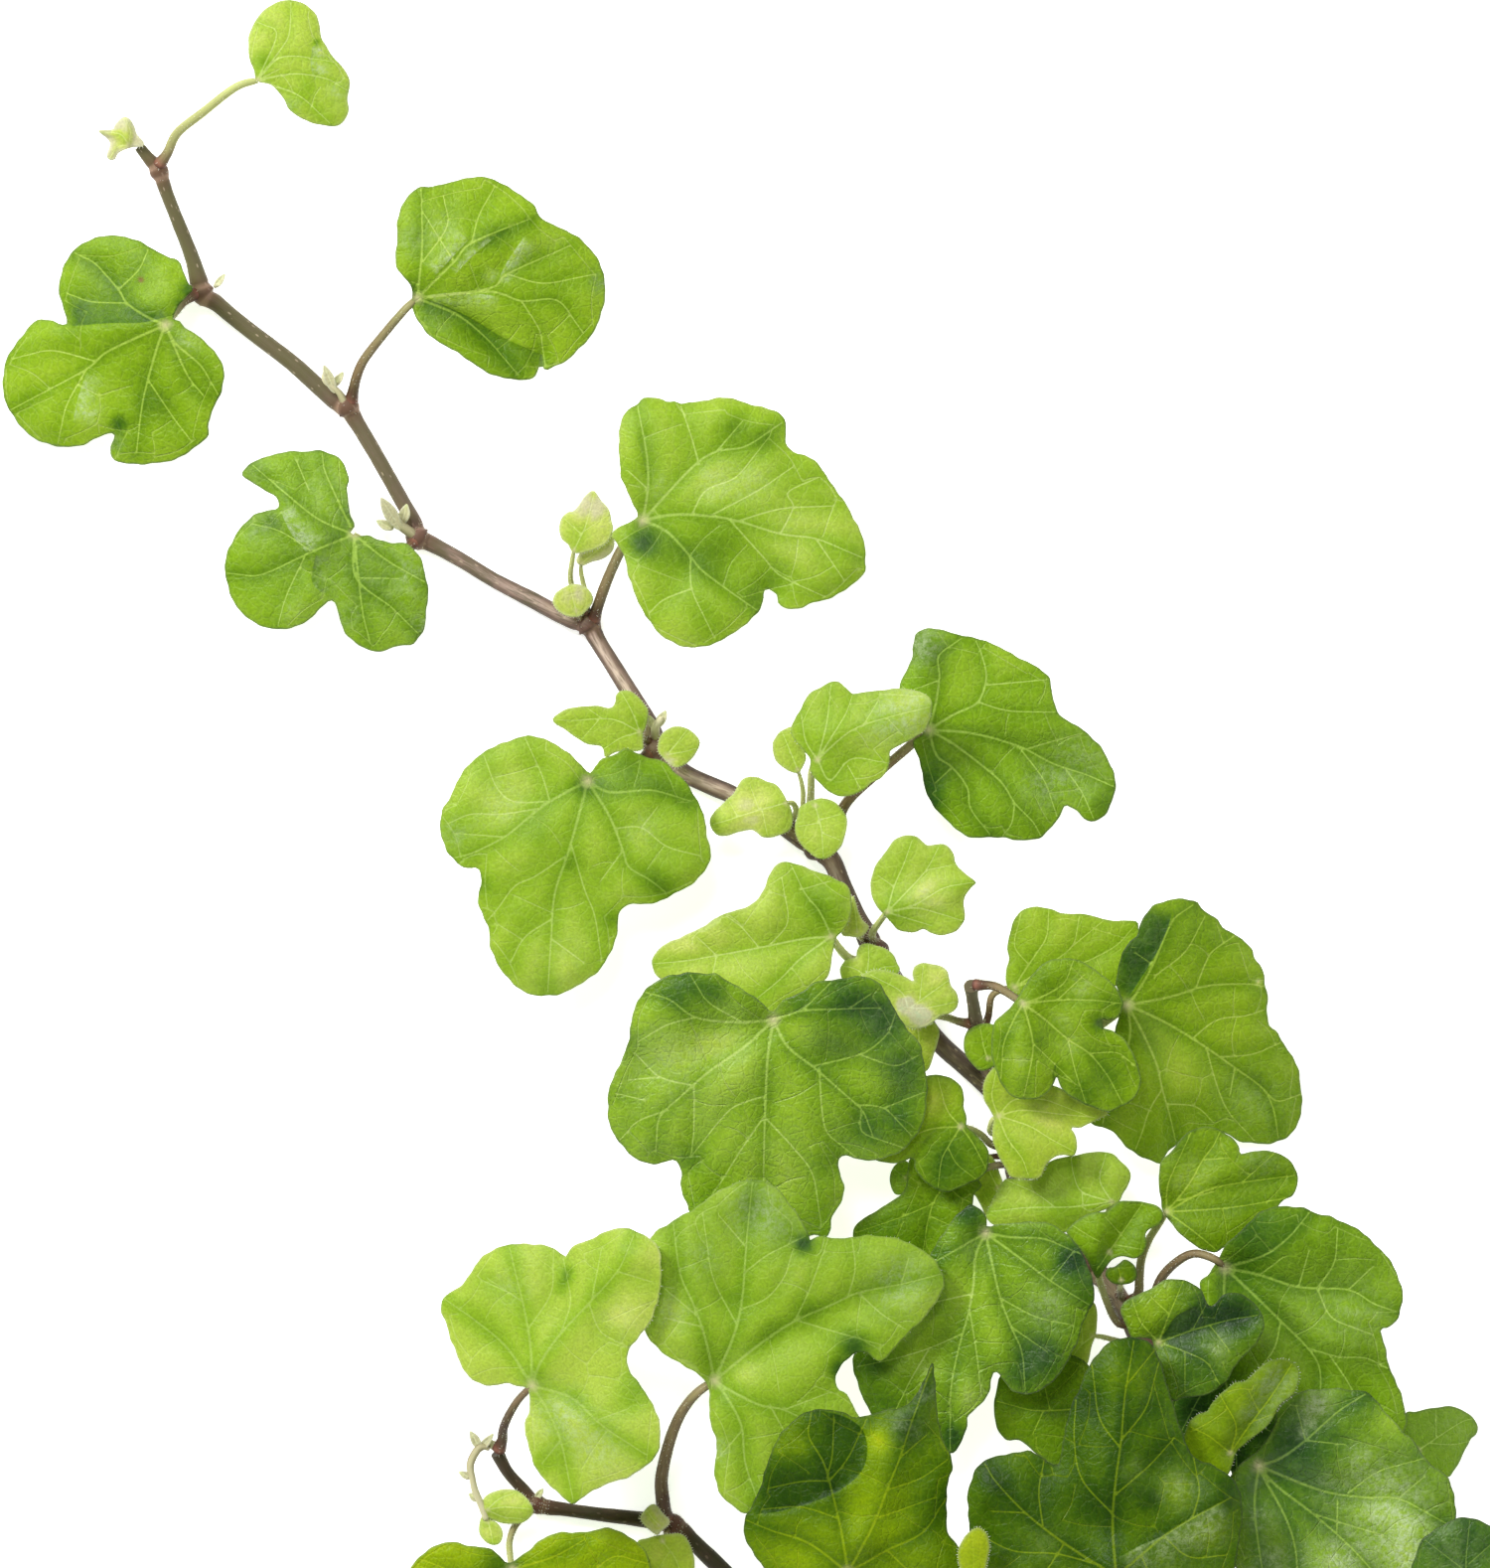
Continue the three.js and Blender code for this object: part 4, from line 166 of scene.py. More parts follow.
# Bracts round the buds: where each starts and ends, its width and its height.
BRACTS = {
    "main_stem": numbers("""
        47.2,165.6,45.6,169.6,1.5,4.3 47.0,166.4,48.4,168.6,1.2,3.9
        56.4,146.4,53.6,150.9,2.0,5.1 56.6,147.0,57.4,150.0,1.6,4.4
        55.4,146.4,53.0,147.6,1.4,4.4 92.6,118.4,93.9,120.9,1.4,5.3
        92.2,118.2,91.4,120.2,1.2,5.0 30.2,180.4,31.8,182.4,1.0,3.2"""),
    "side_branch": numbers("70.6,16.4,68.4,18.2,1.3,5.2 75.4,9.6,76.6,11.2,1.0,2.9"),
    "end_shoot": numbers("""
        67.8,16.6,66.2,19.4,1.3,5.8 67.4,16.4,69.6,19.0,1.2,5.6
        66.6,12.6,64.6,13.6,1.1,5.7 67.4,9.4,66.0,10.6,1.0,5.4"""),
}

# joint: where the stalk meets the blade. rise, tilt, cup: the blade's height and bend.
# creases: a soft fold's two ends, its height and its width. rim: the outline.
# veins: each a line, from the joint (*) or from another vein.
# tints: each a place, its radius, how much darker it is painted and how much pale sheen is painted
# on it. The darkness is partly the leaf's own tone and partly painted shade where it folds or lies
# under another leaf; below 0 it is a painted highlight.
# folds: each a sharp fold's line > how much painted shade darkens its right side (painted light
# below 0), how far, how much painted sheen.
# flecks: brown specks as places with a radius. stalk: its line with heights; radius: its ends.
# shade: how much darker a whole blade is painted. It is partly its own tone, partly painted light
# on small blades that lie in the shadow of others, and partly painted shade on blades that face the
# lamp.
LEAVES = drawn_leaves("""
leaf_01 lime joint 36.3,209.6 rise 12 tilt -0.12,0.04 cup -0.5 shade 0.05 radius 0.5,0.62
rim 36,209.9 35.7,211.2 35.2,212.5 35,214.4 35.1,216 35.9,217.8 37.3,219.6 38.6,220.4 40.2,220.9
41.8,220.8 43.2,220.2 44.4,219.1 45,217.6 45.4,215.4 46,214.4 46.8,213.1 47.9,211.9 48.9,210.6
49.3,209 49,207.1 49.1,205.4 48.7,204.2 47.6,203.2 46,203.2 43.7,203.7 42,204.5 40.7,205.6
39.9,207.1 38.9,208.3 38,209.1 36.7,209.3
veins *39.9,214.4 40.8,216.3 41,219.5 | *42,207.5 45.5,204.5 | *39,212.5 41.5,213 44.5,212.6 |
*39,216 37,217.5 | *41.5,210.5 46,209.8 48.2,208.6
tints 36.8,212.2,1.3,0.24 | 43.4,208.6,1.2,0.14 | 41,206,1,0.1,.4 | 45.1,213.6,.5,-0.12,.8 |
44.9,212,.5,-0.12,.8 | 45.1,210.4,.6,-0.06,.7 | 44.6,214.9,.5,0.36 | 38,217,5,-0.05 | 46,206,3,0.05
| 47.6,208.2,1.2,0,.4
folds 44.3,209.4 43.7,212 44,214.6 > 0.08 1.9 0.45
stalk 34,209,11.4 32,207.8,10.9 28.6,205.1,9.6 25,202.2,8.2 23.6,199.4,7.2 22.9,197.9,6.7

leaf_02 fresh joint 23.3,175.1 rise 9.2 tilt 0.24,0.02 cup -0.52 shade -0.04 warm 0.2 blush 0.25
radius 0.45,0.6
creases 9,174,24,176.5,1.2,4
rim 24.4,176 25.2,177.9 27.1,180 26.6,180.9 26.1,182.2 25.5,183.7 24.7,184.5 23.6,184.7 22.1,185.6
20.5,186.5 18.6,187.3 16,187.8 13.5,187.4 11.2,186.4 9.6,184.6 8.7,182.7 8.3,180.8 8.5,178.8
9.1,176.9 9.4,175.3 8.3,175.3 7.2,175.8 5.8,176 4.5,175.3 3.2,173.7 1.9,172.1 0.9,170.2 0.4,167.9
0.5,165.4 1.3,163.1 2.9,160.9 4.8,159.1 7.4,158.2 9.8,157.9 11.9,158.3 13.8,159.3 16,159.8 15.7,158
15.6,156.7 16.7,155.8 19.9,155.5 23.1,155.8 25.6,156.6 27.9,158.2 29.3,159.6 29.5,161.5 30.1,163.5
31.2,165.7 31.6,167.9 31.1,170.2 29.6,172.1 27.9,173.6 26.3,174.7 25.2,175.7
veins *20.5,176.4 17.9,178.2 16.7,180.1 13.5,183.7 11.5,184.8 | *15.4,171.5 12.2,168.9 4.8,164.9 |
*22.1,171.8 20.5,166 19.9,162.8 19.4,158.5 | *26.3,168.3 28.5,165.4 | *24.8,172.5 28.2,169.5
29.8,167 | 17.9,178.2 13,178.4 10.2,179.3 | 13.5,170 7.5,171.5 3.5,170.8 | 12.2,168.9 9.5,164
8.6,160.5 | 20.8,167.5 24.5,162 26.4,159.5 | 16.7,180.1 19.5,182.8 20.5,184.8
tints 11,177.2,1.6,0.22 | 26.4,180.2,1.1,0.42 | 25.4,178,1.2,0.28 | 16,181,6,0.11 |
12.8,162.6,1.4,-0.07,.35 | 16.8,161.2,1.2,0.48 | 16.5,158.4,1.1,0.28,.3 | 8,168,6,-0.08 |
26,172.8,1.7,-0.06,.5 | 10,174,2,0.11 | 22,164,2.4,0.14 | 18.6,168,2.6,0.08
flecks 19.7,181.4,0.45 19.4,181.9,0.25
folds 24.6,176.5 20,175.4 15,175.3 9.5,174.8 > 0.3 2.1 0.05 | 10.2,161.4 11,165 12.2,168.6 > -0.06
1.9 0.5
stalk 24.6,176.8,7.2 25.8,178.3,5.3 26.8,179.2,3.9

leaf_03 fresh joint 58.8,178.9 rise 13 tilt -0.05,0.03 cup -0.25 shade -0.1 warm 0.2 blush 0.45
radius 0.5,0.65
creases 60,178,76.2,171,-1.6,3 63,184,74,189,1.2,4
rim 58.2,179.8 57.5,181.1 56.7,182.1 55.8,183.5 55.8,185.8 56,188 56,189.9 56.6,191.9 57.7,193.5
59.3,194.6 61.1,194.7 63,195.1 64.7,195.6 66.7,196 68.6,195.9 70.2,195.4 72.1,194.3 74,193
75.5,191.9 76,190.4 77.6,189.5 80.1,188.3 82,187.1 83.7,185.3 84.8,183.2 85.3,181 85.2,178.7
84.6,176.2 83.5,173.9 81.7,171.8 79.8,170.1 78,169.2 76.9,168.8 76.4,169.4 76.3,171 76,169.1
75.5,168 74.2,167.4 72.1,167.5 69.9,167.9 67.9,168.9 66,170.1 64.1,171.5 61.9,172.6 60.3,173.9
59.1,175.4 58.3,176.8 58,178.4
veins *59.5,186 59.4,192.6 | *64,184 66.5,186.7 74.5,190 | *69,180.3 71.5,182.3 79,185.7 |
*69,179.8 73.5,178.5 78.5,178.6 81.5,175 | *64.5,176.5 68.5,173.3 71,170.5 | 66.5,186.7 67.5,190.5
69.4,194 | 59.6,184 63,189 62.6,192.8 | 71.5,182.3 76.5,181 82.5,182 | 73.5,178.5 76,174.5
76.4,172.4 | 64,184 61.5,188
tints 57,180,1.4,0.5 | 62,175.6,2,0,.15 | 76,170.4,1.6,0.15 | 67.4,182.2,1.2,0.15 |
69.2,182,.8,-0.12,.5 | 62,189,2,-0.03,.3 | 58,187,1.8,0.1,.3 | 79,180,4,0.06 | 84.6,181,1.4,0.12,.3
| 66,191,3,0.05 | 70,187.4,2,0.12 | 78,186,2,-0.1,.1
folds 58.6,179.3 63,177.8 67,175.8 71,173.4 76.6,170.9 > 0.3 6 0 | 66.4,187.4 64,184.8 61.4,182 >
-0.14 1.5 0.7 | 69.8,187.4 66.8,184.9 64.2,182.2 > -0.1 1.1 0.7 | 70,181 71.4,184 74,187.8 > -0.14
1.6 0.7 | 66.2,186.2 71,188.6 75.8,190.9 > 0.14 2.2 0 | 60,179.4 65,179.8 70.5,179.2 > -0.14 1.5
0.6
stalk 57,177.2,11.4 54.4,174.2,9.2 51.5,170.5,6.6 50.3,168,5 50.5,165.6,3.7

leaf_04 fresh joint 49.9,145.6 rise 8.5 tilt 0.04,0.02 cup -0.45 shade -0.03 blush 0.3 radius
0.45,0.6
creases 40,150,44.8,143.8,1.3,2.2
rim 49.4,145.9 49.9,146.6 49.8,147.6 49.3,148.8 49,150.8 49,152.4 49.2,153.5 48.8,154.8 48,156.2
46.8,157 44.8,157.5 43.1,157.3 40.8,157.4 38.9,156.9 37.1,156.5 35.5,155.7 34.1,154.3 34.9,153.3
36.7,152.2 38.3,151.3 39.2,150.3 39.1,149.3 37.3,148.9 35.5,148.2 33.8,146.4 32.6,144.4 31.9,142.8
31.7,140.5 32.2,137.9 33.3,135.5 34.9,133.8 36.7,132.8 38.3,132.3 40.2,132.3 42.1,132.8 44,133.9
45.1,135.2 46.3,136.2 47.2,135.9 47.7,134.4 48.2,132.7 48.8,131.5 50.1,130.3 51.7,129.5 53.3,129
54.9,129.5 56.5,130 58.1,130.1 59.1,131.1 59.9,132.8 60.1,135.1 60.4,137 60.1,139.2 59.7,141.2
59.1,142.6 58.1,143.7 57,144.5 55.2,144.4 53.6,144.8 52,145.5 50.4,145.4
veins *45,147.7 41,150.8 37,154.2 | *46,154 45.5,156.4 | *44,143.2 37,140 33.5,140 | *50.2,139.5
55,135.5 57.6,133 | *51,135.5 52,131 | *54.5,142 58.8,139.5 | 44,143.2 39.6,146 36,147 | 43,142.6
40.4,137 39.4,133.6 | 50.2,139.5 56,139.4 | 43.5,152 42,155.5
tints 38.4,147.4,1.3,.2,.3 | 43.9,144.6,1,-.05,.6 | 46.8,145.6,1.4,.1 | 49,134,1.4,.14,.3 |
59,132.6,1.4,.05,.4 | 57.6,140,1.8,-.1,.4 | 49,148.4,1.2,.1,.3 | 40,143,2.2,.08 | 36,146,2,.05,.2 |
46,153,3,-.06,.1 | 36,154,2,.06,.2 | 41,134.6,1.6,-.12,.2 | 53,138,2.4,.06 | 55,133,3,-.03 |
46,143,9,0.03,.1 | 57,138,8,0.03,.1 | 51,150,7,0.03,.1
folds 43.2,143 41.2,145.4 39.4,149 > -0.04 1.7 1 | 46,136.8 43.9,139 44.5,143 > 0.2 2.3 0.2
stalk 52.2,144.2,7 55,143.4,5.2 57.2,143.6,3.9 58.2,144.1,3.5

leaf_05 light joint 90.6,147.6 rise 14 tilt -0.03,0.02 cup -0.2 shade -0.03 blush 0.45 radius
0.6,0.7
creases 87,146,95,140,-1.2,3 92,148,108.3,138.1,-1.5,3.5
rim 89.9,148.1 89.1,150 88.1,152.4 87.4,154.2 87.3,156.4 87.2,159 87.4,161.2 88.2,162.8 89.6,163.9
90.4,164.7 91.7,164.9 93.3,164.7 94.2,164.3 95.2,164.4 96.2,164.1 98.1,164.3 100,164.7 101.9,164.9
103.2,164.8 104.8,164.3 106.4,163.8 108,163.4 109.5,163 110.3,162.3 110.8,160.9 110.7,159
111.2,157.9 112.2,157.1 113.8,156.6 114.9,156.1 116.2,154.3 117.3,152.6 118.7,150.8 119.7,149
120.8,147.1 121.6,145.2 122,142.9 121.9,140.5 120.5,138.8 118.3,137.3 116.3,136.4 114.1,135.8
112.2,135.1 110.4,135.3 109.6,136.1 109.5,137 108.3,138.1 107.8,137.7 107.6,136.4 107.1,135.1
105.9,133.7 104.2,132.2 102.2,131.1 100.6,130.1 98.7,129.8 96.8,129.7 94.9,130.3 92.9,131.7
91.3,133.7 89.9,136.2 88.8,139.1 88.1,142 87.3,143.8 86.5,144.9 86.2,145.5 87,146.6 88.5,147.3
veins *91.3,152 91.2,156.5 90,163 | *97.5,155 101,157.3 105,158 109.4,160.8 | 98.5,155.6 97.4,159.5
96.2,163 | *95,148.4 100,148.2 104,147.5 110,145.7 115,145 120,143 | 110,145.7 111.8,149.5
111,151.5 114.8,153.4 | 103,147.5 107.5,142.5 110,139.8 114.8,137.5 | *94,146 97.3,142.5 99,140.5
103,137.5 106,135.4 | 97.3,142.5 97.5,138 99.5,133.5 | 91.3,152 88.6,154.5 | 101,157.3 104.6,161.5
| 97.5,148.4 99.5,151.8 103.6,153.6 106.4,156.8 | 100,148.2 106.5,151.6 111,154.6 | 104,147.5
110,149.2 116.6,149.6 | 97.5,138 93.5,136.4 91.6,134.6 | 115,145 118,140.6
tints 90.6,144.4,2.2,0.6,.1 | 94,142,3,0.21 | 100.6,143.4,4,0.3 | 107.4,137.6,3,0.24 |
99.8,134.6,3,0.09 | 103.4,160.4,2.4,0.21 | 108,158.6,2,0.18 | 100.5,152.8,3,-0.12,.25 |
106,153,3,-0.09,.2 | 94,160,4,0.04 | 92.6,152,2,-0.06,.2 | 112,146,4,-0.12,.1 | 117,147,3,-0.06 |
110,141,2.4,0.06
folds 91.3,152 90.6,156 89.6,160 > 0.08 2.2 0.1
stalk 88.6,145.2,11.6 87.3,143,10 86,140.2,7.8 84.9,137.4,5.8 85.1,134.7,4

leaf_06 lime joint 80.9,143.4 rise 7.4 tilt 0.02,0.06 cup 0.6 shade -0.05 radius 0.3,0.4
rim 80.9,143 80.1,144.2 79.2,144.9 78.8,146.4 79.2,148 80.1,148.8 80.8,148.9 81.6,149.8 82.5,151.1
83.6,151.8 84.4,151 84.8,150.3 85.8,149.2 86.2,147.5 86.4,146.2 85.5,144.5 83.5,143.4
veins *82.6,147 83.6,150.8 | 82.2,146 84.6,147.6 | 82,145.6 80,147.4
tints 83.4,149.6,2,-0.1 | 81,145,2,0.08
stalk 80.6,141.6,6.2 80.4,139.2,4.8 81.3,136.6,3.9 81.9,135.3,3.4

leaf_07 lime joint 81.9,141.5 rise 5.4 tilt 0.1,0.02 cup 0.5 shade -0.13 radius 0.28,0.35
rim 81.2,142 82,141.2 83.3,141.7 85,142.2 86.2,143.1 86.6,144.6 86,146 84,144.8 82.2,143.6
veins *84.4,143.6 85.8,145
stalk 81.9,140.3,4.9 82.3,138.4,4.4 82.8,136.6,4.2 83,135.2,3.8

leaf_08 light joint 81.2,134.9 rise 5.6 tilt -0.05,0.1 cup 0.8 shade -0.22 radius 0.3,0.35
rim 78.9,137.8 80.3,138.6 81.5,138.6 82.8,138 83.6,136.8 83.3,135.6 82.4,134.6 81.7,134.1 80.7,134
79.6,134.2 78.5,135 77.9,136 78.2,137.2
veins *80.8,136.4 80.4,138
tints 81,137,1.4,-0.08
stalk 81.5,134.3,4.9 82,133.9,4

leaf_09 lime joint 90.2,117.8 rise 6.6 tilt -0.04,0.1 cup 0.3 shade 0.03 warm 0.03 blush 0.1 radius
0.35,0.4
rim 77.9,119.6 78.7,120.4 79.7,121 81.3,121.3 84,121.5 86,121.2 86.7,122 86.8,122.9 87.5,123.6
88.7,123.6 89.8,122.9 90.6,122 91.3,121 91.3,119.8 91,118.4 90.6,117.6 90.6,116.4 90.4,115.2 87,115
85.4,114.2 85,115.3 84.6,115.8 82.8,116.1 81.3,116.9 79.5,118.2 78.3,118.9
veins *86.2,119.6 81,119.4 78.8,119.5 | *89,120.8 87.8,123 | *87.6,117 85.4,115.6 | 85,119.6 83,121
| 84.4,119.5 82.4,117.2
tints 84,119,4,0.04 | 90.6,119,1.4,0.1
stalk 90.6,116.9,5 91.2,116.2,3.9

leaf_10 lime joint 94.0,114.6 rise 6.3 tilt 0.04,0.08 cup 0.5 shade 0.01 radius 0.3,0.4
rim 93.9,118 95,118.6 96.6,118.4 97.8,117.6 98.6,116.6 98.4,115.4 97.4,113.9 96.5,113.2 95.3,112.8
94.3,113.3 93.3,114.3 92.7,115.2 92.8,116.4 93.2,117.4
veins *95.4,116.2 96.6,117.8 | *96.4,115 97.8,115.4
tints 94.4,113.8,1.2,-0.1
stalk 93.8,114.9,5 93.4,115.1,4

leaf_11 light joint 82.8,110.9 rise 12.5 tilt 0,0.01 cup -0.3 shade -0.02 blush 0.3 clear 0.8
radius 0.6,0.7
creases 84,112,94,114,-1.4,2.6
rim 83.2,112 82,113.1 80.6,114.4 79,115.7 77.2,116.6 75.3,117.2 73.4,117.2 71.6,116.4 70,116
68.1,114.9 66.3,113.4 65,112 64.3,110.4 63.4,108.6 62.5,107.2 62.1,105.6 62.1,103.3 62.8,101.4
63.8,100 65.2,98.7 67.1,98.6 67.8,97.8 67.8,96.6 67.4,95.1 67.5,93.4 68.2,91.5 68.9,89.9 69.1,87.5
69.9,85.4 71,83.8 72.6,82 74.2,81 76.3,80.6 78.4,80.7 80.4,81.5 82.4,82.6 84.1,83.9 85.4,85.5
86.3,87.3 87,89.5 87.2,91.8 87.8,93.1 88.8,93.5 90.7,93.5 92.6,93.8 94.5,94.7 96.8,95.9 98.7,97.4
99.9,99.2 100.2,100.6 99.8,102.7 99.4,104.9 98.9,107 97.7,109.1 96.5,110.9 95,112.3 93.4,113.7
91.3,114.2 89.7,114.9 88.1,115.4 86.7,114.7 85.1,114.1 83.8,112.9
veins *81.7,106.5 80.1,100.8 78.2,95 77.7,89 77.3,82.6 | *77.5,108 74.7,105.9 71.1,103 66.7,100.8
64.6,100.2 | 77.5,108 72.4,108 70,110 68.6,113.4 | 76,107 70.5,106.2 66.4,106.2 63.4,105 |
*85.9,105.9 87.8,101.1 88.6,98.8 91.5,97 93.6,95.4 | 86.6,104.2 90.4,104.3 93.9,101.7 98.4,100.4 |
80,100.5 75.5,97.5 72.6,96.1 70.3,93.1 69.2,91.8 | 80.5,102 82.4,95.6 83.8,92 84.6,87 | 77.9,91.5
74,88.9 72,85.4 | 77.8,88.6 82,85.5 | *86,109.3 91.6,109.6 95.6,108.6 | 90.4,104.3 92.5,107 |
77.5,108 76.5,111.4 75,114.8 | 71.1,103 68.4,103.2 | 87.8,101.1 84.8,97
tints 88.4,112.8,3.2,0.3 | 93.5,111.4,3,0.22 | 97,108,2.6,0.16 | 84,110.4,2,0.18 |
76.3,103.4,2.6,0.19 | 80.6,99.4,1.4,0.16 | 92.6,97.2,2.8,0.19 | 86.2,91.4,1.5,0.26 |
68,96.2,1.8,0.29 | 64,103.4,2,0.06,.3 | 90.6,104,2.4,-0.1,.2 | 79,86,4,-0.13,.1 |
71,107.6,4,-0.13,.2 | 82,110,1.4,0.22 | 74,92,2.4,0.1
stalk 85,111.2,9.6 88,112.2,6.2 90.2,113.6,3.9 91,114.3,3.3

leaf_12 light joint 115.2,113.9 rise 14.5 tilt 0.06,0.03 cup -0.1 shade -0.05 blush 0.1 radius
0.42,0.55
creases 117,117,131,121.5,1.0,2.4
rim 111.5,118.5 111.6,117.2 112.6,115.9 113.6,114.8 114.2,113.8 114.2,112.5 114.8,111.3 116,110.1
117.3,109.1 118.7,108.7 120.2,108.9 121.5,109.5 122.8,110.6 124.2,111.3 125.1,112.5 125.4,113.8
125.4,115 126.3,115.6 128.7,116.9 130.2,117.9 131,119.4 131.3,120.8 131.3,122 130.9,122.8
129.8,123.4 128.3,123.8 126,123.9 123.5,123.6 121,123.3 120.1,123.2 119.2,124.1 118.3,124.8
117.3,124.9 116,124.3 114.2,123.3 113.4,122.2 112.8,120.9 112,119.7
veins *120,118 125,119.8 129.8,121 | *116.5,119 117,123.4 | *119,120 119.8,122 | *117,111 120,114
124.6,113.5 | 119.5,113 121.2,110 | 121.6,118.6 123.4,121.6 | 125,119.8 127.2,117.4 | *113.6,116.4
113,119.6
tints 128,121,3,-0.1,0.6 | 124,119,3,0,0.3 | 117,112,4,0.08 | 116,121,4,0.02
stalk 114.4,112.2,12.4 114.3,109.8,9.8 114.2,107.2,6.6 114.4,104.9,4.4 114.3,103.8,3.7

leaf_13 lime joint 112.4,112.5 rise 9.5 tilt 0.02,0.05 cup 0.4 radius 0.25,0.35
rim 108.9,115.9 109,116.6 109.8,117.7 110.8,118.3 111.6,118.5 112.6,117.4 113.2,115.8 113.6,114.2
113.2,113 112.4,112 111,112.4 109.6,113.4 109,114.7
veins *111.4,115 110.4,117.4
stalk 112.9,111,8.2 113.2,109,6.4 113,106.4,4.6 112.8,104.4,3.6

leaf_14 lime joint 110.8,107.8 rise 7.8 tilt 0.03,0 cup 0.2 shade 0.05 radius 0.35,0.4
creases 102,105,110.5,107.8,0.6,1.6
rim 100.1,104.6 100.1,105.6 100.7,106.6 101.8,107.6 102.6,108.4 103.4,109.2 104,110.2 104.6,111.1
105.7,111.5 106.8,111.4 108,110.9 109.2,110.5 110,109.7 110.6,108.7 111.3,107.4 111.7,106.2
111.7,105 111.3,104 110,103.3 108.6,102.9 107.4,103 106.7,103.6 105.8,104 104.2,103.7 102.6,103.2
101.4,103.2 100.6,103.7
veins *107,106.8 103,105.5 101,104.9 | 107,106.8 105.8,110 | 107.4,106.9 108,104 | 104,105.8
103,107.6
tints 106,107,4,-0.12
stalk 111.8,107.7,6.9 112.2,106.4,5.4 111.4,105.2,3.9

leaf_15 light joint 114.9,107.4 rise 9.4 tilt 0.02,-0.06 cup 0.4 shade -0.1 radius 0.3,0.4
rim 114,108 114.9,108.3 115.8,108.5 117.3,108.1 118.3,107.3 119.2,106.1 119.4,104.7 119.1,103.3
118.6,101.8 117.6,100.6 116.2,99.9 115,100.1 113.8,101 112.8,102 112.2,103.3 112,104.6 112.4,106
112.7,107.2
veins *115.7,104.4 116,101 | 115.4,105.4 117.8,106 | 115.5,105 113.2,104.6 | 115.8,103.6
117.8,102.8
tints 115.5,104,2.4,-0.06
stalk 115.3,105.8,7.4 115.7,104.4,5.6 115.9,103.2,4.2

leaf_16 fresh joint 130.9,118.1 rise 9.5 tilt -0.06,0.03 cup -0.2 blush 0.6 radius 0.6,0.7
creases 133,117.3,154,111.5,-1.5,3.5 130.6,118,130.4,130,1.0,3
rim 128.7,116.5 129.2,114.8 129.8,112.8 130.2,110.6 130.6,109.2 131.2,107.8 132.2,106.6 133.4,105.4
134.6,104.2 136,103.2 137.5,102.9 139.5,102.9 141.5,102.9 143,102.6 144.6,102.5 146.2,102.7
147.2,103.4 148.2,104.4 149.2,105.6 149.8,106.8 150.2,107.5 151,107.2 152,106.4 152.8,105.5
153.8,105.2 155,105.5 156.1,106.6 156.8,108.2 157.2,110 157.1,111.8 156.5,113.2 155.8,114.6
154.9,116 153.6,117.3 152.2,118.4 150.8,119.2 149.8,119.8 149.1,120.7 148.6,121.8 148.3,123
148.2,124.3 147.9,125.5 146.8,126.5 145,127.6 143,128.6 140.8,129.8 138.5,130.8 136,131.3 133.5,132
131.5,132.4 130,132.2 129,131.6 128.7,130 128.6,128.6 128,127 127.3,125.7 126.8,124.4 127.2,122.4
128.6,120.4 130.2,118.8 130,117.6
veins *131.8,121.5 132.4,125.5 132.3,128.5 134.8,130.5 | *134.5,120.3 137.8,122 139,125.5
138.3,128.8 137.8,130 | 139,124.4 143.5,124.8 146.8,125.1 | 137.8,122 142,120.8 147.4,120.6 |
*137,117.6 143.5,115.8 148.5,113.3 153,111.8 156,110.5 | 145,115.5 149.5,116.8 151.8,117.4 |
*134.5,116 138.5,113 141.3,110.5 143,107.8 145.5,105.2 146.5,103.5 | 143,107.8 142.6,105
141.5,103.4 | *132,114.5 134.2,112.8 136.3,110 136.8,107 139,104 | 150,112.8 152.4,109.4
153.6,106.8 | 143.5,115.8 147,111.2 148.2,108.2 | 132.2,125 129.4,124 | 134.2,112.8 131.8,110.6
tints 130,130,2.6,0.2,0.7 | 130.4,111,3.4,0.35 | 131.4,107.5,2,0.3 | 152,113,4,0.02,0.35 |
147,110,3,0.05,0.3 | 140,128,6,-0.12 | 134,122,4,-0.05 | 156,107.5,2,0.2
stalk 127.5,115.2,8.4 121,109.6,6.8 118.9,107.2,5.4 118,104.8,4.2 117.7,103.6,3.4

leaf_17 light joint 117.2,89.0 rise 13 tilt 0,0 cup -0.1 shade -0.11 radius 0.5,0.6
creases 95,85.4,116,88.8,-0.8,2.6
rim 117.9,88.9 119,90 119.8,91.5 120,93.5 119.9,95.2 119.4,96.2 118.3,96.8 116.7,97.6 114.9,98.2
113,98.9 111.5,99.4 110.2,99.5 109.2,98.8 108.5,97.8 107.9,96.2 107.2,94.9 106.4,93.8 105.1,93.1
103.5,92.6 101.5,91.9 99.6,90.7 97.8,89.7 95.8,88.8 93.9,88 92.8,87.1 92,85.9 91.9,84.6 92.6,83.4
94.6,82.2 98,81.8 101.5,81.3 104.4,79.8 107,78.6 109.5,78.4 111.5,79.8 114,81.2 116,82.5 116.9,84
117.3,86 117.5,87.6
veins *113,88.6 107,87.4 101,86.3 97,85.6 93,85.2 | *115.5,92.5 113.5,95 112,98 | *113,86 110,83
107,80.5 | 107,87.4 104.6,90.2 103,91.4 | 101,86.3 98.6,88.6 | 108.4,87.7 111,91 110.4,96 |
113,95.6 116.4,96.6 | 101,86.3 100.4,83.4
tints 116,93,3.4,0.28 | 110,84,6,0.02 | 98,86,6,-0.08 | 112,97,3,0.05
stalk 118.3,87.3,10.8 119.8,85.8,8 121.6,85.6,5.2 122.1,85.8,3.9

leaf_18 lime joint 125.0,92.4 rise 13 tilt 0.03,0.04 cup 0.1 shade 0.07 radius 0.4,0.5
creases 125.5,92.8,136.5,96.4,1.0,2.2
rim 124.5,92.1 123.5,93.3 122.9,94.6 122.7,96.2 123,98 123.6,99.3 124.4,100.3 125.2,101.5
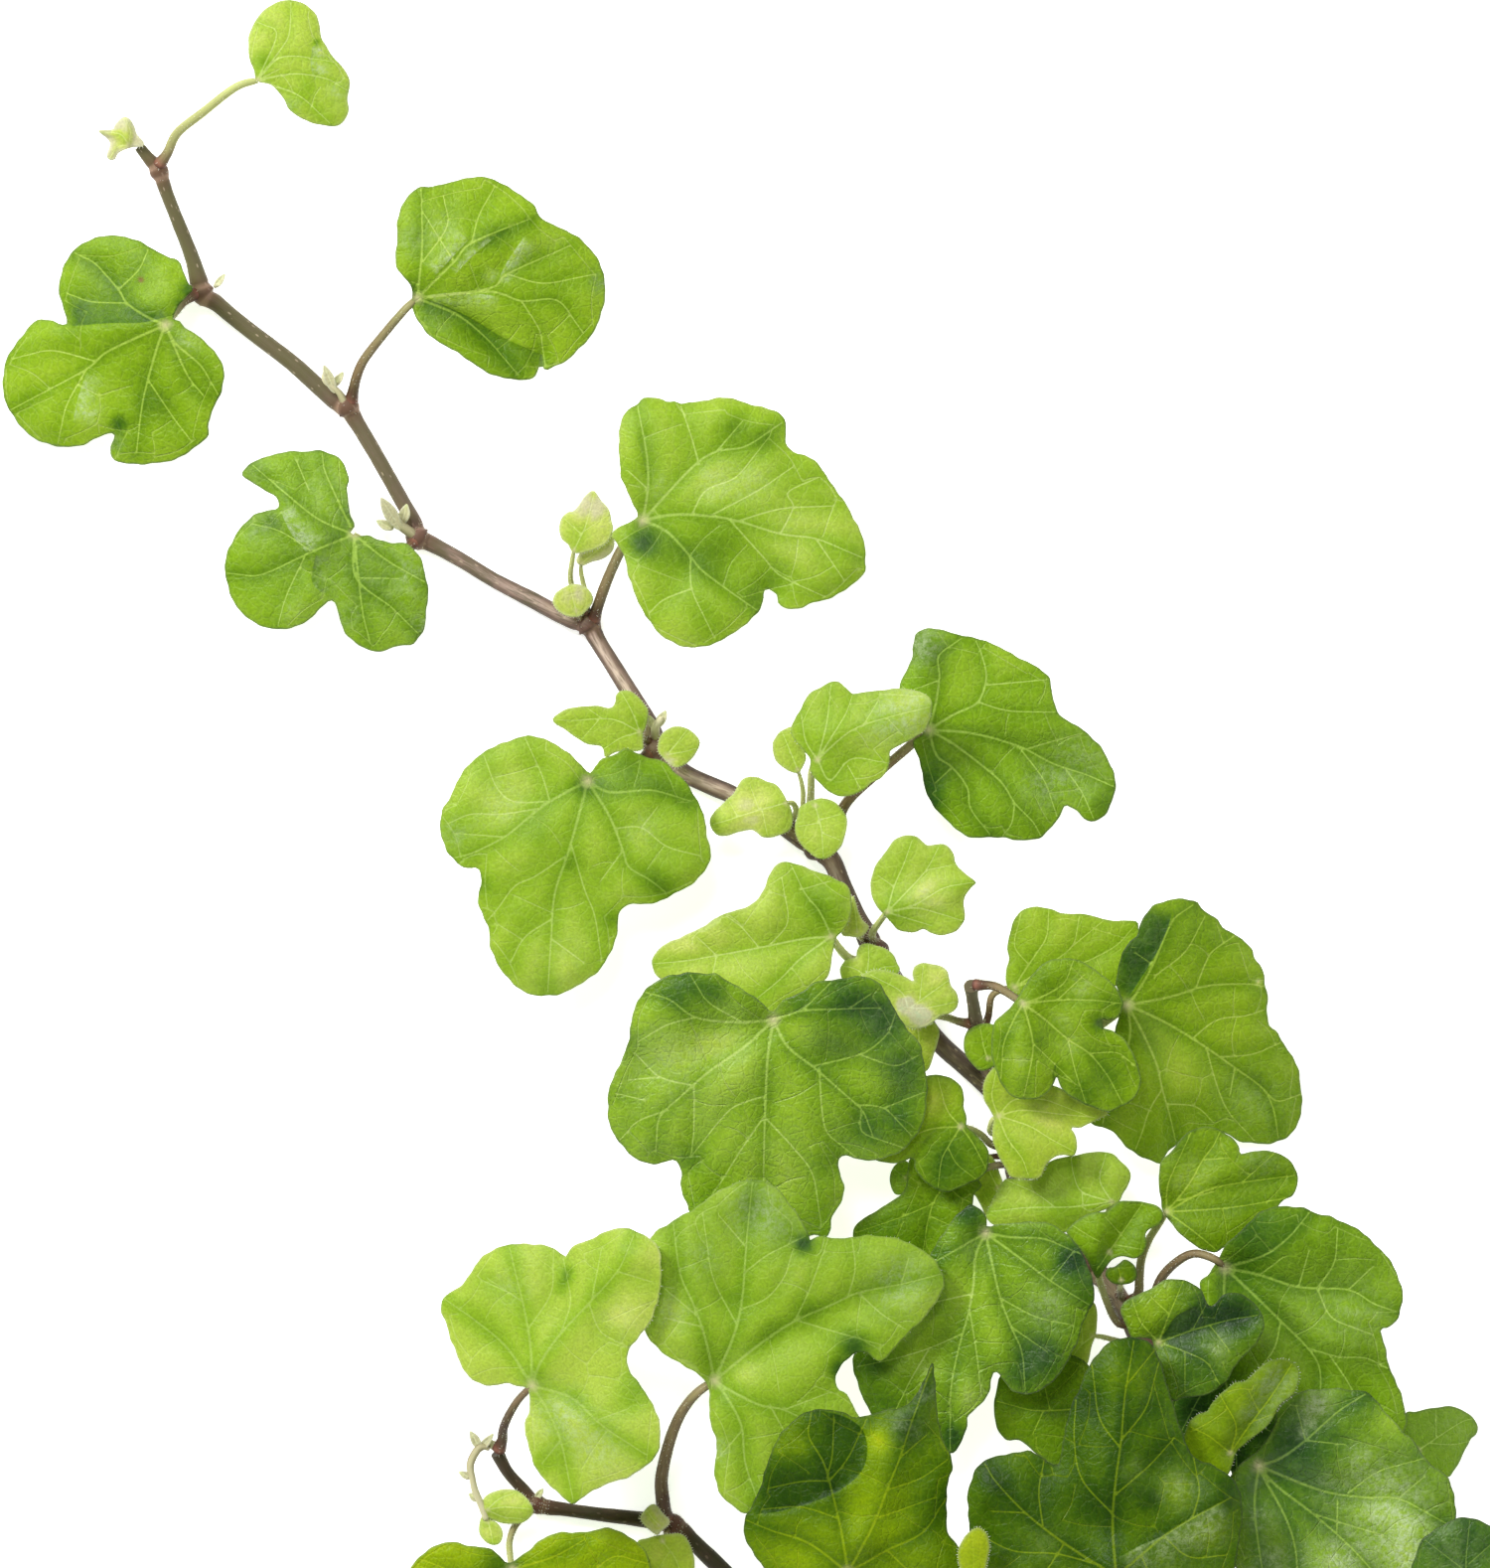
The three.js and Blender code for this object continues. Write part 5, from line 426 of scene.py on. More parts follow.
126.2,102.7 127.6,103.2 129,103.1 130,102.4 130.8,101.8 131.8,101.9 132.9,102 133.8,101.5
134.4,100.6 134.6,99.6 135.2,98.6 136.2,97.7 137.6,96.6 136.8,95.8 136.1,94.8 135.8,93.6 136,92.4
135.9,91.2 135.2,90.2 134.2,89.5 132.7,89.1 131.4,89.4 130.2,90 129,89.6 127.6,89.6 126.4,90
125.6,91
veins *126,96 127.3,99 128.3,101.8 | *128,95.5 130.5,98.3 132,101 | *129,93.5 133,95.8 136.6,96.5 |
*129,93 132.4,92.2 135,91.4 | *128,91.5 131,90.6 | 130.5,98.3 133.4,98.9 | 126,96 124,97.4
tints 130.5,94.8,2.6,-0.12,0.3 | 126,92,3,0.1 | 125,99,3,0.04
stalk 123.8,90.8,9.8 122.9,89.4,6.8 123.2,88.4,4.2 123.4,88.2,3.8

leaf_19 lime joint 120.8,89.6 rise 7.6 tilt 0,0 cup 0.3 shade -0.08 warm 0.1 radius 0.25,0.35
rim 118.6,89.3 119.6,89 121.2,88.9 122.2,89.7 122.4,90.5 121.6,91.3 121,92.5 120.6,93.8 120.2,94.8
119.6,93.5 119,91.4
veins *120.6,92 120.2,94
stalk 121.2,88.8,5.8 121.6,88.2,4.2

leaf_20 light joint 122.2,83.2 rise 9.4 tilt 0,0.05 cup -0.2 shade -0.08 radius 0.3,0.4
rim 118.4,84 118.6,84.9 119.4,85.8 120.6,86 120.8,87 121.3,87.8 122.2,88 123.5,87.7 124.8,87.3
125.8,86.5 126.4,85.3 126.7,84 124,81.8 121,81.6 119,82.4
veins *122.4,85.6 122.4,87.4 | *120.6,84.4 119,84.8 | *124.4,84.6 126,84.8
tints 121,85,2,-0.1
stalk 123.2,84,6.6 124,84.8,4.2 124.1,85,3.8

leaf_21 lime joint 128.0,78.8 rise 13 tilt 0.02,0.04 cup -0.1 shade 0.01 radius 0.4,0.5
rim 121.5,83.5 122.8,84.2 124.3,84.3 126,83.9 127.6,83.3 128.8,82.6 128.6,83.7 128.9,84.7
129.8,85.2 131.2,85.1 132.6,84.8 133.5,84.1 133.8,82.9 134.1,81.9 134.8,81.1 135.1,80 134.8,78.9
133.9,78.2 132.6,77.8 131.6,77 130.6,76.3 129.2,76 127.8,76.2 126.8,76.8 126,78.3 124.5,80
122.5,81.5 121.3,82.6
veins *130.6,80.6 133.4,82.6 | *127,81.2 123.4,83.2 | *131,79 134,79.6 | 129.6,80.2 130,83.6
tints 127.6,79.4,1.1,-0.3,0.9 | 129.8,78,1.5,-0.25,0.8 | 124.5,83,2,0.04 | 132.5,83,2,-0.06
stalk 131,78,10.8 133.4,77.6,9.6 135.2,77,8.4 136.2,76.6,7.6

leaf_22 fresh joint 129.4,76.0 rise 8.2 tilt 0,0.05 cup -0.2 shade -0.37 warm 0.2 radius 0.3,0.4
rim 128,77 130,77 131.8,76.8 132.4,75.5 132.1,73.8 131.5,72 130.8,70.2 129.5,69.8 128.2,71 127.5,73
127.3,75.5
veins *129.6,73 129.8,70.6
stalk 130.4,76.5,5.4 130.8,76.7,4

leaf_23 deep joint 109.0,77.2 rise 20.5 tilt -0.05,0.24 cup -0.2 shade -0.4 radius 0.6,0.7
creases 107,76,91,71,-1.0,3 110,76.5,126,66,-1.2,3
rim 109,78.3 107.6,79.5 105.6,80.9 104,82 102.4,82.8 100.9,83.7 99.2,83.8 97,83.9 95.4,83.6
93.8,83.4 92.2,82.4 90.8,81.3 89.8,79.8 89.2,78 88.8,76 88.5,74 87.9,72.2 87,70.4 86.2,68.6
85.7,66.8 85.6,65 85.8,63 86.4,61.2 87.4,59.8 88.6,58.5 90,57.4 91.6,56.9 93.4,57.1 94.8,57.5
95.6,56.9 96,55.6 96,53.8 96.2,52.4 96.9,51.1 97.2,50.2 98.4,48.2 102,46.4 107,45.6 112,46
114.6,46.9 116.4,46.5 117,47.8 117.4,49.6 118.1,50.8 118.8,52.2 119,53.8 118.5,55.4 118.1,56.8
118.3,57.8 119.4,58 121,57.6 122.8,57.4 125,57.8 127,58.7 128.6,60.2 129.8,62 130.4,64.2 130.7,66.6
130.6,69 130.2,71.4 129.8,73.4 128.9,74.9 127.6,76.3 126.4,78.2 125.2,80.4 124,82.2 122.6,83.2
120.8,83.4 118.6,83 116.6,82.8 115.2,82.7 113.6,81.6 111.8,80.6 110.2,79.9
veins *103.5,76.9 98,77.6 94.5,80 91.5,81 | 98,77.6 94,76.5 90.5,74.5 | *105,73.5 100,70 96,66.5
93,63.5 92.5,60 | 94,64.5 90,63 88,61 | 97.5,68 93,69.2 90,72 | 97.8,67.9 97.8,62 97.5,59 |
*108.2,72 107.9,66 107.7,60 107.6,54 | 107.7,66.5 103.5,65 101,62.5 99.8,61 | 107.6,63.5 104.5,59
102,55 100.2,52.4 | 107.8,63.5 112,59 114.5,55.5 115.5,50 | *111,73.5 115,70.3 119,66.8 121.5,64.5
122.6,62 | 115,70.8 120,72 122.5,73 125,75.2 126,77.5 | 121,72.4 126,70.8 128.6,71.8 | 115.5,70
115.8,65 116.5,61.5 118.5,59.6 | 120.6,65.3 124.5,64.8 127,62.5 | 121.4,64.6 121.5,61.5 125,60 |
*113,78.5 119.6,78.8 | 105,76.7 100,79.6 98,82.4 | 113,78.5 116,81.4 | 119.6,78.8 122.6,80.8 |
90.5,66 88,66.6 | 93,69.2 89,68.8 | 124.5,64.8 128.6,66.4
tints 95.8,82,3.2,0.32 | 101,81.4,2.4,0.3 | 106,80,2,0.2 | 112.5,80.4,2.4,0.24 | 119,81,3.2,0.36 |
124.5,77,4,0.42,0.1 | 127.6,70,3.4,0.36,0.1 | 127,63.5,3,0.3 | 121,62,3.4,0.22 | 117,74,4,0.2 |
112,76,2.4,-0.14 | 93,70,6,-0.08,0.2 | 102,73,5,-0.16,0.15 | 100,60,5,-0.04 | 109,55,5,-0.12,0.1 |
97.6,57.5,2.4,0.2 | 116.6,57,2.4,0.2 | 88.6,74,2,0.16
stalk 111.5,77,17.6 115,77.4,14.4 118.6,79.4,10.4 121.6,82.4,6 122.8,84.4,4.2 123,84.9,3.8

leaf_24 light joint 143.0,81.8 rise 8 tilt 0,0 cup -0.1 shade 0.02 warm 0.3 blush 0.5 radius
0.4,0.45
rim 141.8,82.5 141.8,84.2 142.2,85.7 142,87.3 142.1,88.4 142.4,89.8 142.8,91 143.6,92.3 144.8,93
146.4,93.2 148.2,92.8 149.6,92.3 151.5,92.2 153.2,92.1 154.6,91.7 156.4,91.3 158.5,91.2 160.2,91.1
160.5,89.8 160.4,87 159.8,84.4 158,82.4 154,81 149,80.2 145,80.2 142.5,81.2
veins *144.3,84 146,86.5 147.5,89 147.8,92.4 | *147,84.5 151,87.5 152,91 | *152,85 157,87.5
159.5,90 | 145,85 143,87.6 143.6,91 | 151,87.5 155,90.8
tints 146,85,3,0.04 | 150,90,5,-0.05
stalk 141,81.4,7.4 139.7,80.4,6.8 139.3,77.8,6.2 139.3,76.1,5.7

leaf_25 fresh joint 144.2,79.5 rise 18 tilt 0.02,0.06 cup -0.25 shade -0.02 warm 0.3 blush 0.45
radius 0.5,0.55
creases 145,79,145.3,70,1.0,2.4 145,78.8,158,68,-1.0,3
rim 143.3,80.2 144.4,82 145.4,83.5 146.6,84.8 148,85.6 149.8,85.9 151.8,85.7 153.6,84.8 155.3,83.6
156.9,82.2 157.9,80.9 158.3,79.6 158,78.3 157.3,77.5 156.2,77.2 155.2,77.3 154.5,76.8 155.3,76.1
156.8,75.7 158.1,74.9 159,73.8 159.8,72.3 160.5,70.6 160.8,69 160.5,67.2 159.6,65.9 158,65 156,64.3
154,64.9 152,65.8 150.2,66.9 149.3,68.2 148.9,69.3 148.4,68 147.6,66.9 146.2,66.2 144.4,66
142.7,66.4 141.6,67.5 140.8,69 140,71 139.7,73 139.8,75.2 140.2,77 141.4,78 142.5,79.2
veins *147.5,80.8 150,82.5 151,84.8 | *149,80 154,80 157.5,79.6 | *147,77.5 150.5,74.5 153.5,72.5
156,69.5 157.6,66.6 | *145.2,76 145.6,73.5 145.3,71 144.5,67.4 | *143,77.5 141.5,74 141.2,71 |
150.5,74.5 151.4,70.6 152.4,67.4 | 153.5,72.5 157.4,72.6 159.4,71.2 | 145.5,74 148,71.6 | 149,80
152.6,83.4
tints 146.8,82.6,1.9,0.14 | 152.6,81.6,1.9,-0.1,.25 | 157.2,79.6,2,0.16 | 155,76.6,1.5,0.3 |
156.4,70,3.2,0.18 | 153,66.8,2.4,0.18 | 151,73.6,1.5,-0.12,.25 | 143.4,71.2,2,-0.1,.15 |
141.4,74.6,1.6,0.12 | 146.6,74.4,1.4,0.14 | 149.6,77.4,1.6,-0.05,.15 | 145.6,79.4,1.2,-0.05
folds 148.9,66.9 148.2,69 148.7,71.4 > 0.22 1.6 0
stalk 142,81,17.2 140,82,16.8 138.6,82.5,16.4

leaf_26 fresh joint 158.9,79.3 rise 13 tilt -0.3,0.18 cup -0.285 shade -0.07 warm 0.3 blush 0.3
radius 0.6,0.65
creases 160,78,164,67,1.0,2.5 160,79,178,67.5,-1.0,4
rim 157.3,82.2 157.5,84 157.9,85.8 158.3,87.1 159.3,88.2 160.3,89.2 160.6,90.6 161.3,91.9
162.4,93.2 163.9,93.9 165.5,94.3 167.3,94.2 168.6,93.9 169.4,93 170.2,92.3 171.3,91.6 172.1,90.6
173,89.9 174.2,89.2 175.4,88.3 176.4,87.2 177,85.8 177.8,84.6 178.2,83.2 178.4,81.7 178.8,80.2
178.5,79 178.6,77.8 178.9,76.6 179.9,75.6 180.6,74.4 181.5,73 182.5,71.6 183,70.2 183.2,68.6
183.5,66.8 183.5,65 183.1,63.2 182.5,61.7 181.4,60.7 180,60.1 178.8,59.7 177,59.8 175.5,60
174.2,60.3 172.7,61.2 170,61.4 167.4,60.6 165.4,59.4 164.2,58 163.5,56.9 162.5,57.3 161,57.9
159.8,58.5 158.6,59.4 157.9,60.4 157,61.3 155.8,62 154.4,62.2 153.6,63.4 154.2,66.6 155.4,70.6
156.8,74.6 157.6,77.6 158,79.4 157.7,80.8
veins *160.5,81.5 162.5,85 164,88.5 165.5,91.5 167.5,93 | *165,80.5 170,82 175.5,82.3 177.8,82 |
168.5,81.6 170,85.5 171,87 173,88.4 | *164,77 169,74 174,70.5 178,67.5 179.5,64.5 180,61.6 |
168,74.6 171.5,77.2 175.5,77.8 178,78.6 | 172,72 176.5,72.4 180.4,74 | 170,73.3 171.5,68 173,64.5
175.5,61.6 | 178,67.5 180,65.8 182.6,66.5 | *161,75.5 163,71 163.8,67.5 164.8,64 165.5,61 |
163.8,67.5 162,64.5 161,61.5 160.2,59.4 | 164.4,65.4 168.5,65 171,62.8 | *159.2,74.6 157,68
155.6,63.4 | 162.5,85 160.4,86.4 | 163,83.6 167,86.8 169.4,91 | 174,70.5 173.4,67
tints 161.3,90,3.2,0.22,0.05 | 159.4,85.6,2.4,0.26 | 158.4,82,1.6,0.15 | 177.4,82.5,0.5,-0.5,0.5 |
171,82,5,-0.05 | 165,70,5,-0.1 | 177,66,5,0.04,0.15 | 157.6,70,3.4,0.14 | 170,89,4,0.1 |
174,76,4,-0.05
folds 165.4,92.6 163.8,88.1 161.4,83.9 158.8,80 > 0.34 6 0.06
stalk 156,77.2,10.6 150,73,6.6 144.6,69.2,4.2 143,68,3.8

leaf_27 middle joint 135.4,62.2 rise 12 tilt 0,0 cup -0.2 shade -0.06 warm 0.4 radius 0.4,0.5
rim 136.3,62.2 136.2,63.6 135.8,65 135.9,66.3 135.5,67.7 134.3,68.9 132.9,69.4 131.5,69.5
130.3,69.2 128.8,67.8 127.6,66 127.2,63.5 125.5,61.5 123.3,60 122.6,58.6 123.4,57.5 125,57.1
127,57.1 128.3,57.7 128.9,57.3 128.9,56.4 129.5,55.3 130.6,54.2 132,53.3 133.6,53 135.2,53.5
136.6,54.2 138,54.8 139.1,56 139.4,57.6 139.2,59 138.3,60.3 137.3,61.3
veins *133.5,64.5 132.5,67.8 | *131,61.8 127,60 124.2,58.6 | *133.6,59.3 132.7,57.5 132.3,54.6 |
133.6,59.3 134.8,57 137,55.2 | *137,60 138.4,57.4
tints 132,66,3.4,-0.35 | 125.5,59.5,3,-0.2 | 133,57,4,0.2 | 128.5,62,2,-0.2
stalk 136.9,61.8,9.4 138.3,61,7.6 139.4,59.9,6 140.6,59.4,4.4 141,59.2,3.8

leaf_28 fresh joint 139.2,71.8 rise 9.6 tilt 0,0.04 cup 0.1 shade -0.01 warm 0.3 radius 0.3,0.35
rim 136,75 136.6,75.9 138,76.6 139.6,76.7 140.6,76 140.8,73.6 140.6,71.2 139.6,70.4 138.1,70.1
137,71 136.1,72.3 135.8,73.8
veins *138.6,73.6 138.2,75.8
stalk 140.2,70.4,6.4 140.7,69,4.2 140.8,68.7,3.9

leaf_29 lime joint 140.7,63.7 rise 13 tilt 0.05,0 cup -0.15 shade 0.06 warm 0.3 radius 0.4,0.5
creases 141,63.8,154,63.4,-0.8,3
rim 139.8,64 138.9,65.6 138.5,67.2 138.8,68.8 139.5,69.9 140.4,70.6 142.5,69.8 146,68.8 149.4,67.6
152,66 154,65.2 156.2,64.2 154.8,63.2 153.4,62.6 152.3,62 151,62 151.4,61.2 151.8,60 151.7,58.8
151.2,58 149.8,58.2 148.4,57.8 147.4,56.6 146.5,55 144.4,54.8 142.4,55.1 141.8,56.3 141,57.5
140.3,59 139.9,60.5 139.9,62 140.1,63.2
veins *143,66 147,66 150,65 | *144,64.5 149,64 154,63.5 | *145,62.3 148,60.5 150.8,59 | *142,60.5
144,57.8 144.7,56 | *139.8,66.4 140.2,69
tints 148,64,4,-0.08,0.1 | 143,59,3,0.06
stalk 139.9,63,10.8 139.6,61.6,8.6 140.3,61.2,6.4 141.4,61,4.2 141.6,61,3.8

leaf_30 light joint 156.7,51.6 rise 8.6 tilt 0,0 cup -0.1 shade -0.05 radius 0.4,0.5
creases 143,50.4,156,51,0.6,2
rim 157.9,51.9 158.3,52.8 159,54 159.4,55.1 159.1,56.2 158,57.2 157.1,58.2 155.8,58.6 154,58.6
152,58.2 150.5,58 148.8,57.6 147.5,57 146.9,56.2 146.5,55.3 145.5,54.7 143.8,54.8 142.2,54.9
141.4,54.5 140.5,53 139.9,51.8 139.2,50.5 139,49.4 140.4,48.2 143.5,48 147,47.6 149.8,47.2
151.5,48.2 153,49.3 154.5,50 156,50.6 157.3,51.2
veins *152.5,53 151.3,55.5 151,57.4 | *151,50.9 145,50.8 141,50.4 | 148.5,51 146,52.8 143.4,54 |
*155,54.6 155.6,57.4 | 152.6,51.4 152.5,53
tints 145,52,3,-0.06 | 155,54,4,-0.04 | 150,50,3,0.1
stalk 156,49.4,6.6 154.8,46.6,4.8 154,44.6,3.8

leaf_31 middle joint 133.5,54.4 rise 8.2 tilt 0.03,0.04 cup -0.1 shade -0.05 warm 0.4 radius
0.4,0.45
creases 132.6,54,130.6,44,-0.7,2
rim 128.3,57.8 127.9,55.5 127.5,53.3 126.4,52.2 124.6,51 122.6,49.8 120.9,48.6 120.2,47.2 120.9,45
123.6,43 127.4,42.2 131.2,42.8 134.2,45 136.4,48 137.1,51.4 137.4,52.8 138.4,54 136.8,55.6 133,57.2
130.4,58.2
veins *131.8,52 130.8,49 130.3,46 | 131.6,51.4 127.4,49.6 124,48.4 | 131,49.6 134.2,48.2 |
*134.8,52.6 136.6,51.6 | *131.6,56.4
tints 129,56,2.4,-0.1 | 126,47,4,0.08
stalk 137,55.6,7.2 139.8,56.6,6.6 141,56.8,4.6 141.3,56.8,3.9

leaf_32 fresh joint 140.6,53.6 rise 4.0 tilt 0.02,0 shade -0.34 warm 0.2 radius 0.3,0.35
rim 138.6,58.2 139.6,58.2 140.5,56.8 141,55.4 141.3,54 140.5,52.4 139.6,50.8 139,49.6 138.3,51
137.6,52.2 136.8,53.2 136.6,54.6 137.4,56.8
veins *139.4,56 139,57.6
tints 140,52,1.6,0.1 | 139.4,57,1.6,0.1
stalk 141.6,53.4,3.7 142.2,53.3,3.3

leaf_33 fresh joint 164.4,50.2 rise 13 tilt -0.03,-0.04 cup -0.1 shade 0.06 warm 0.5 blush 0.25
radius 0.45,0.6
creases 165,51,171.5,61,-0.9,2.4 165,50.5,182,55,-0.8,2.4
rim 164,50 163.6,52 163.3,54 163.4,56 163.8,57.6 164.9,58.5 165.8,59.6 166.8,60.9 168,61.7
169.6,62.2 171.2,62 172.6,61.3 173.9,60.4 174.6,59.4 174.8,58.4 175.8,58.5 177,58.8 178.6,58.8
180.2,58.4 181.5,57.7 182.5,56.5 182.9,55.2 182.8,53.8 182.2,52.4 181,51.9 179.6,50.4 177.6,49
175.4,47.4 173.4,45.8 171.6,44.6 170.4,44.6 169,45 167.8,45.9 166.5,46.9 165.2,48.4
veins *167.5,54 169.5,57.5 171,59.5 171.8,61.2 | *170,53.2 175,54.3 181.6,55.2 | *170,50.5 175,51
179.4,51.8 | *167.5,48 170,46 171.2,45 | *164.6,54 166.4,58.2 | 169.5,57.5 173,57.8 | 175,54.3
178,57 | 166,51.8 171,53
tints 168,55,3,-0.14,0.2 | 176,53,4,0.03 | 166,60,3,0.08 | 178,57,3,0.07,0.2
stalk 163.4,48.6,10.4 161.9,46.2,8.4 160.9,43.6,7.4 160.6,41,5.8 160.4,38.6,4 160.1,38,3.6

leaf_34 middle joint 156.3,44.6 rise 13 tilt 0,0.01 cup 0.1 shade -0.12 warm 0.2 radius 0.4,0.5
creases 156.3,44.4,160.5,50.4,-1.3,1.6 154.6,45,154.8,49.5,0.8,1.6
rim 150.3,47.3 151,48.3 152.5,49.5 154.2,50.1 155.8,50.2 156.8,51 157.8,51.7 159.2,51.7 161,51.6
162.7,51.2 163.8,50.4 163.9,49.2 163.2,48.3 162,47.7 161.4,46.9 161.6,46 161.4,44.9 160.8,44
159.8,43.6 158,43.9 156.6,43.3 155.4,41.6 154.6,40.8 153.8,42.2 153,43.8 151.6,45.6
veins *158,47 160.5,50.6 | 155,46 153.5,46.8 151.6,48 | 157,45.6 160.4,45 | 158,47 155.8,49.4 |
*155,42.6
tints 155,42.4,2,0.2 | 152.6,47.4,2,-0.06 | 161,47,2,0.06
stalk 155.1,42.4,10.8 154.9,40.9,9.8 155.6,38.5,7.6 156.8,35.6,5.2 157.8,34.4,4 158.1,34.2,3.6

leaf_35 fresh joint 158.0,40.6 rise 14.4 tilt 0,0 cup 1.5 shade 0.3 warm 0.9 radius 0.3,0.35
rim 155.8,41.5 156.2,42.3 157,42.4 157.8,43 158.5,43.5 159.5,43 160.1,42.3 160.2,41 159.5,40.2
158.2,39.9 156.9,40.1 156,40.8
veins *157.8,41.6
tints 158,41.5,1.6,-0.1
stalk 157.9,39.6,10 157.8,38.8,5.6 157.8,38.6,3.8

leaf_36 deep joint 138.9,47.2 rise 16 tilt 0.08,0.08 cup -0.1 shade -0.27 radius 0.6,0.65
creases 139,46,144.5,31,-1.0,2.6 138.5,46.5,132,30,-0.8,2.6
rim 139.1,48.2 140.2,48.4 142,48.5 144.5,48.8 147,48.7 148.6,48.3 150,47.3 151.4,46 152.6,44.3
153.4,42.3 154.1,40.2 154.3,38.4 154,37.2 153.2,35.8 152.5,34 152,32.2 151.2,30.5 150.3,28.8
149.2,27.2 147.6,25.6 145.8,24.7 144,24.5 142.6,25 141.6,26.2 140.8,27.4 140.1,27.6 139.8,26.6
139.5,25.2 138.8,23.7 137.7,22.6 136.5,21.4 136.3,20.3 135.9,18.7 135.3,17.3 134.4,16.3 133.7,16.2
133,17.3 132.4,19 132,21 131.2,23.6 129.6,23.6 127.6,22 125.6,20.4 123.8,20.6 122.8,21.7 121.8,23.6
120.9,25.8 120.3,28 120.3,30 122,32.6 125.4,36 128.4,39.6 130.6,43.2 132.4,46.4 134.4,49.2 136,50.8
137,51.2 138.2,50.5 139,49.5
veins *137.5,44 137.2,40 136.5,36 135,30.5 134,25 133.9,19 | *135,45 131.5,43 | 136.6,36.6
137.6,30.5 138.2,25 | *139.8,43 141,38 142.5,34 144,30.5 144.4,26.4 | *144,43.5 148,40.5 152,38 |
*142.6,46.6 147,46.4 150.6,45 | 135.6,33 131,31 126.5,29.6 122,28.6 | 131,31 128.4,26.6 126.4,22.6
| 141,38 146,35.4 150.4,34.4 | 142.5,34 147.4,30.6 | 136.9,38.6 131.4,37.4 | 148,40.5 150,43
tints 151,43,2.3,0.51 | 154,40,2.4,0.26 | 146.8,29.8,3.6,0.35,.1 | 147.6,37,2.8,0,.4 |
136.4,50.4,2.4,0.48 | 131,45,2.4,0.16 | 136.4,38.6,3,-0.22 | 140,33,2.6,-0.13 | 134.6,18.4,2,0.35 |
136.4,24.4,2.6,-0.22,.2 | 123.4,28.2,2,0.22 | 129.6,30,4,-0.19 | 124.4,23.6,2.4,0.19 |
142.6,27,1.6,0.19
stalk 139.9,46,13 142,45.6,8.8 145,46.2,4.6 146,46.8,4

leaf_37 fresh joint 172.6,42.3 rise 18 tilt -0.03,0.09 cup -0.12 shade 0.05 blush 0.65 radius
0.5,0.65
creases 174,42,193,38.5,-1.2,3 174,40.5,186,28,-1.2,3
rim 171.7,43.5 172.2,44.8 173.2,46 174.5,47.1 175.8,48.5 177.2,49.8 178.6,50.6 180,51 182,50.9
184,50.7 185.8,49.9 187.6,49.5 189.4,48.7 191.2,47.9 192.4,46.9 193.8,45.7 195,44.4 196.2,43
196.9,41.4 197.5,39.8 197.7,38 197.4,36.2 196.7,34.7 195.6,33.9 194.6,33.5 195.2,31.5 195.4,29.8
196,28 196.7,26.3 197.4,24.7 197.9,23 198.2,21.3 198,19.4 196.6,17.6 193,17 189.4,18 186,18.8
182.6,18.4 179.6,17.2 177.4,15.6 175,13.9 174.2,12 173.5,13.4 173.2,15.4 172.4,17.2 170.6,17.6
168.6,16.6 166.8,17.8 165.6,20.2 165.2,23 166,26 167.8,29.2 169.2,32.8 169.8,36.8 169,40 170.5,41.6
veins *178,44 181.5,46.5 184,49.4 | *177.5,41.3 183,39.6 190,39.2 193.5,37.3 196,36.4 | 185.7,39.5
188,43 188.5,47.6 | 190,39.2 193.4,42.4 | 185.6,39.5 187.6,35.4 191.5,33.6 | *176.5,38.7 180.5,34.8
184.3,31 186,28 186,23 | 184.3,31 188.5,29.8 192.4,29.6 195,28.4 | *172.4,37 171.8,32 172.4,28
173.4,23 174,18 174.3,14 | 172.4,28 169.4,24.6 167.4,21 | 173.4,23 177,20.4 179.6,19 | 180.5,34.8
179.6,31 177.4,28 | 183,39.6 184.4,44.4 | 187.4,30 190.4,25.4 192,21 | 177.5,41.3 180.6,43.6
tints 175.6,47.4,3.4,0.3 | 180,49,3,0.15 | 192,36,5,-0.06,0.2 | 190,42,5,0.02 | 184,36,5,-0.05,0.1
| 180,38,4,0.06 | 190,25,6,-0.02 | 174,40,3,0.1 | 167.6,23,3.4,0.34 | 171,25.4,2.6,0.16 |
170,19.6,3.4,0.34 | 174.6,20,3.6,0.3 | 178.6,19.4,3,0.28 | 174,15,2.6,0.34 | 174.4,28,2.4,0.12
stalk 171.2,43.5,17 168.5,44.3,15.8 166.2,43.4,14.2 163.8,41,10.8 162.4,37.4,6.4 161.8,34.8,4.2
161.7,34.4,3.8

leaf_38 dark joint 163.3,31.8 rise 23 tilt 0.02,0.02 shade -0.23 warm 0.5 radius 0.5,0.55
creases 164,32,175.5,35.4,-1.2,2.2
rim 162.2,32.2 161,32.4 159.4,32.6 158.6,34.4 157.9,36.1 158.4,37.4 159.9,38.4 161.7,39.1
162.9,39.8 164.2,40.6 166.2,40.7 168,40.1 169.4,39.1 169.9,37.7 170.6,36.9 171.4,37.3 172.2,38.4
173.6,38.8 175.3,38.4 176.9,37.2 178,35.4 178.1,33.7 177.3,31.9 175.7,30.2 174.1,28.4 172.9,26.3
171.2,24.9 169,24.2 167,24 165.4,23.5 164.3,24.7 163.6,27.4 163,29.6 162.6,31.2
veins *168,33.5 173,34.9 175.8,35.4 | 170.5,34.2 173,31 | *167,30.5 170,29 171.5,26.6 | *164.5,35
166,38.6 | *160.8,34.6 160,36.6 | 164.8,35.8 162.4,38 | 168,33.5 169.6,36.4 | 167,30.5 167,26.4
tints 160.6,35.4,3.2,-0.24 | 164,38.4,2.6,-0.22 | 174,35.6,3,0.38 | 170.5,36.6,2.4,0.28 |
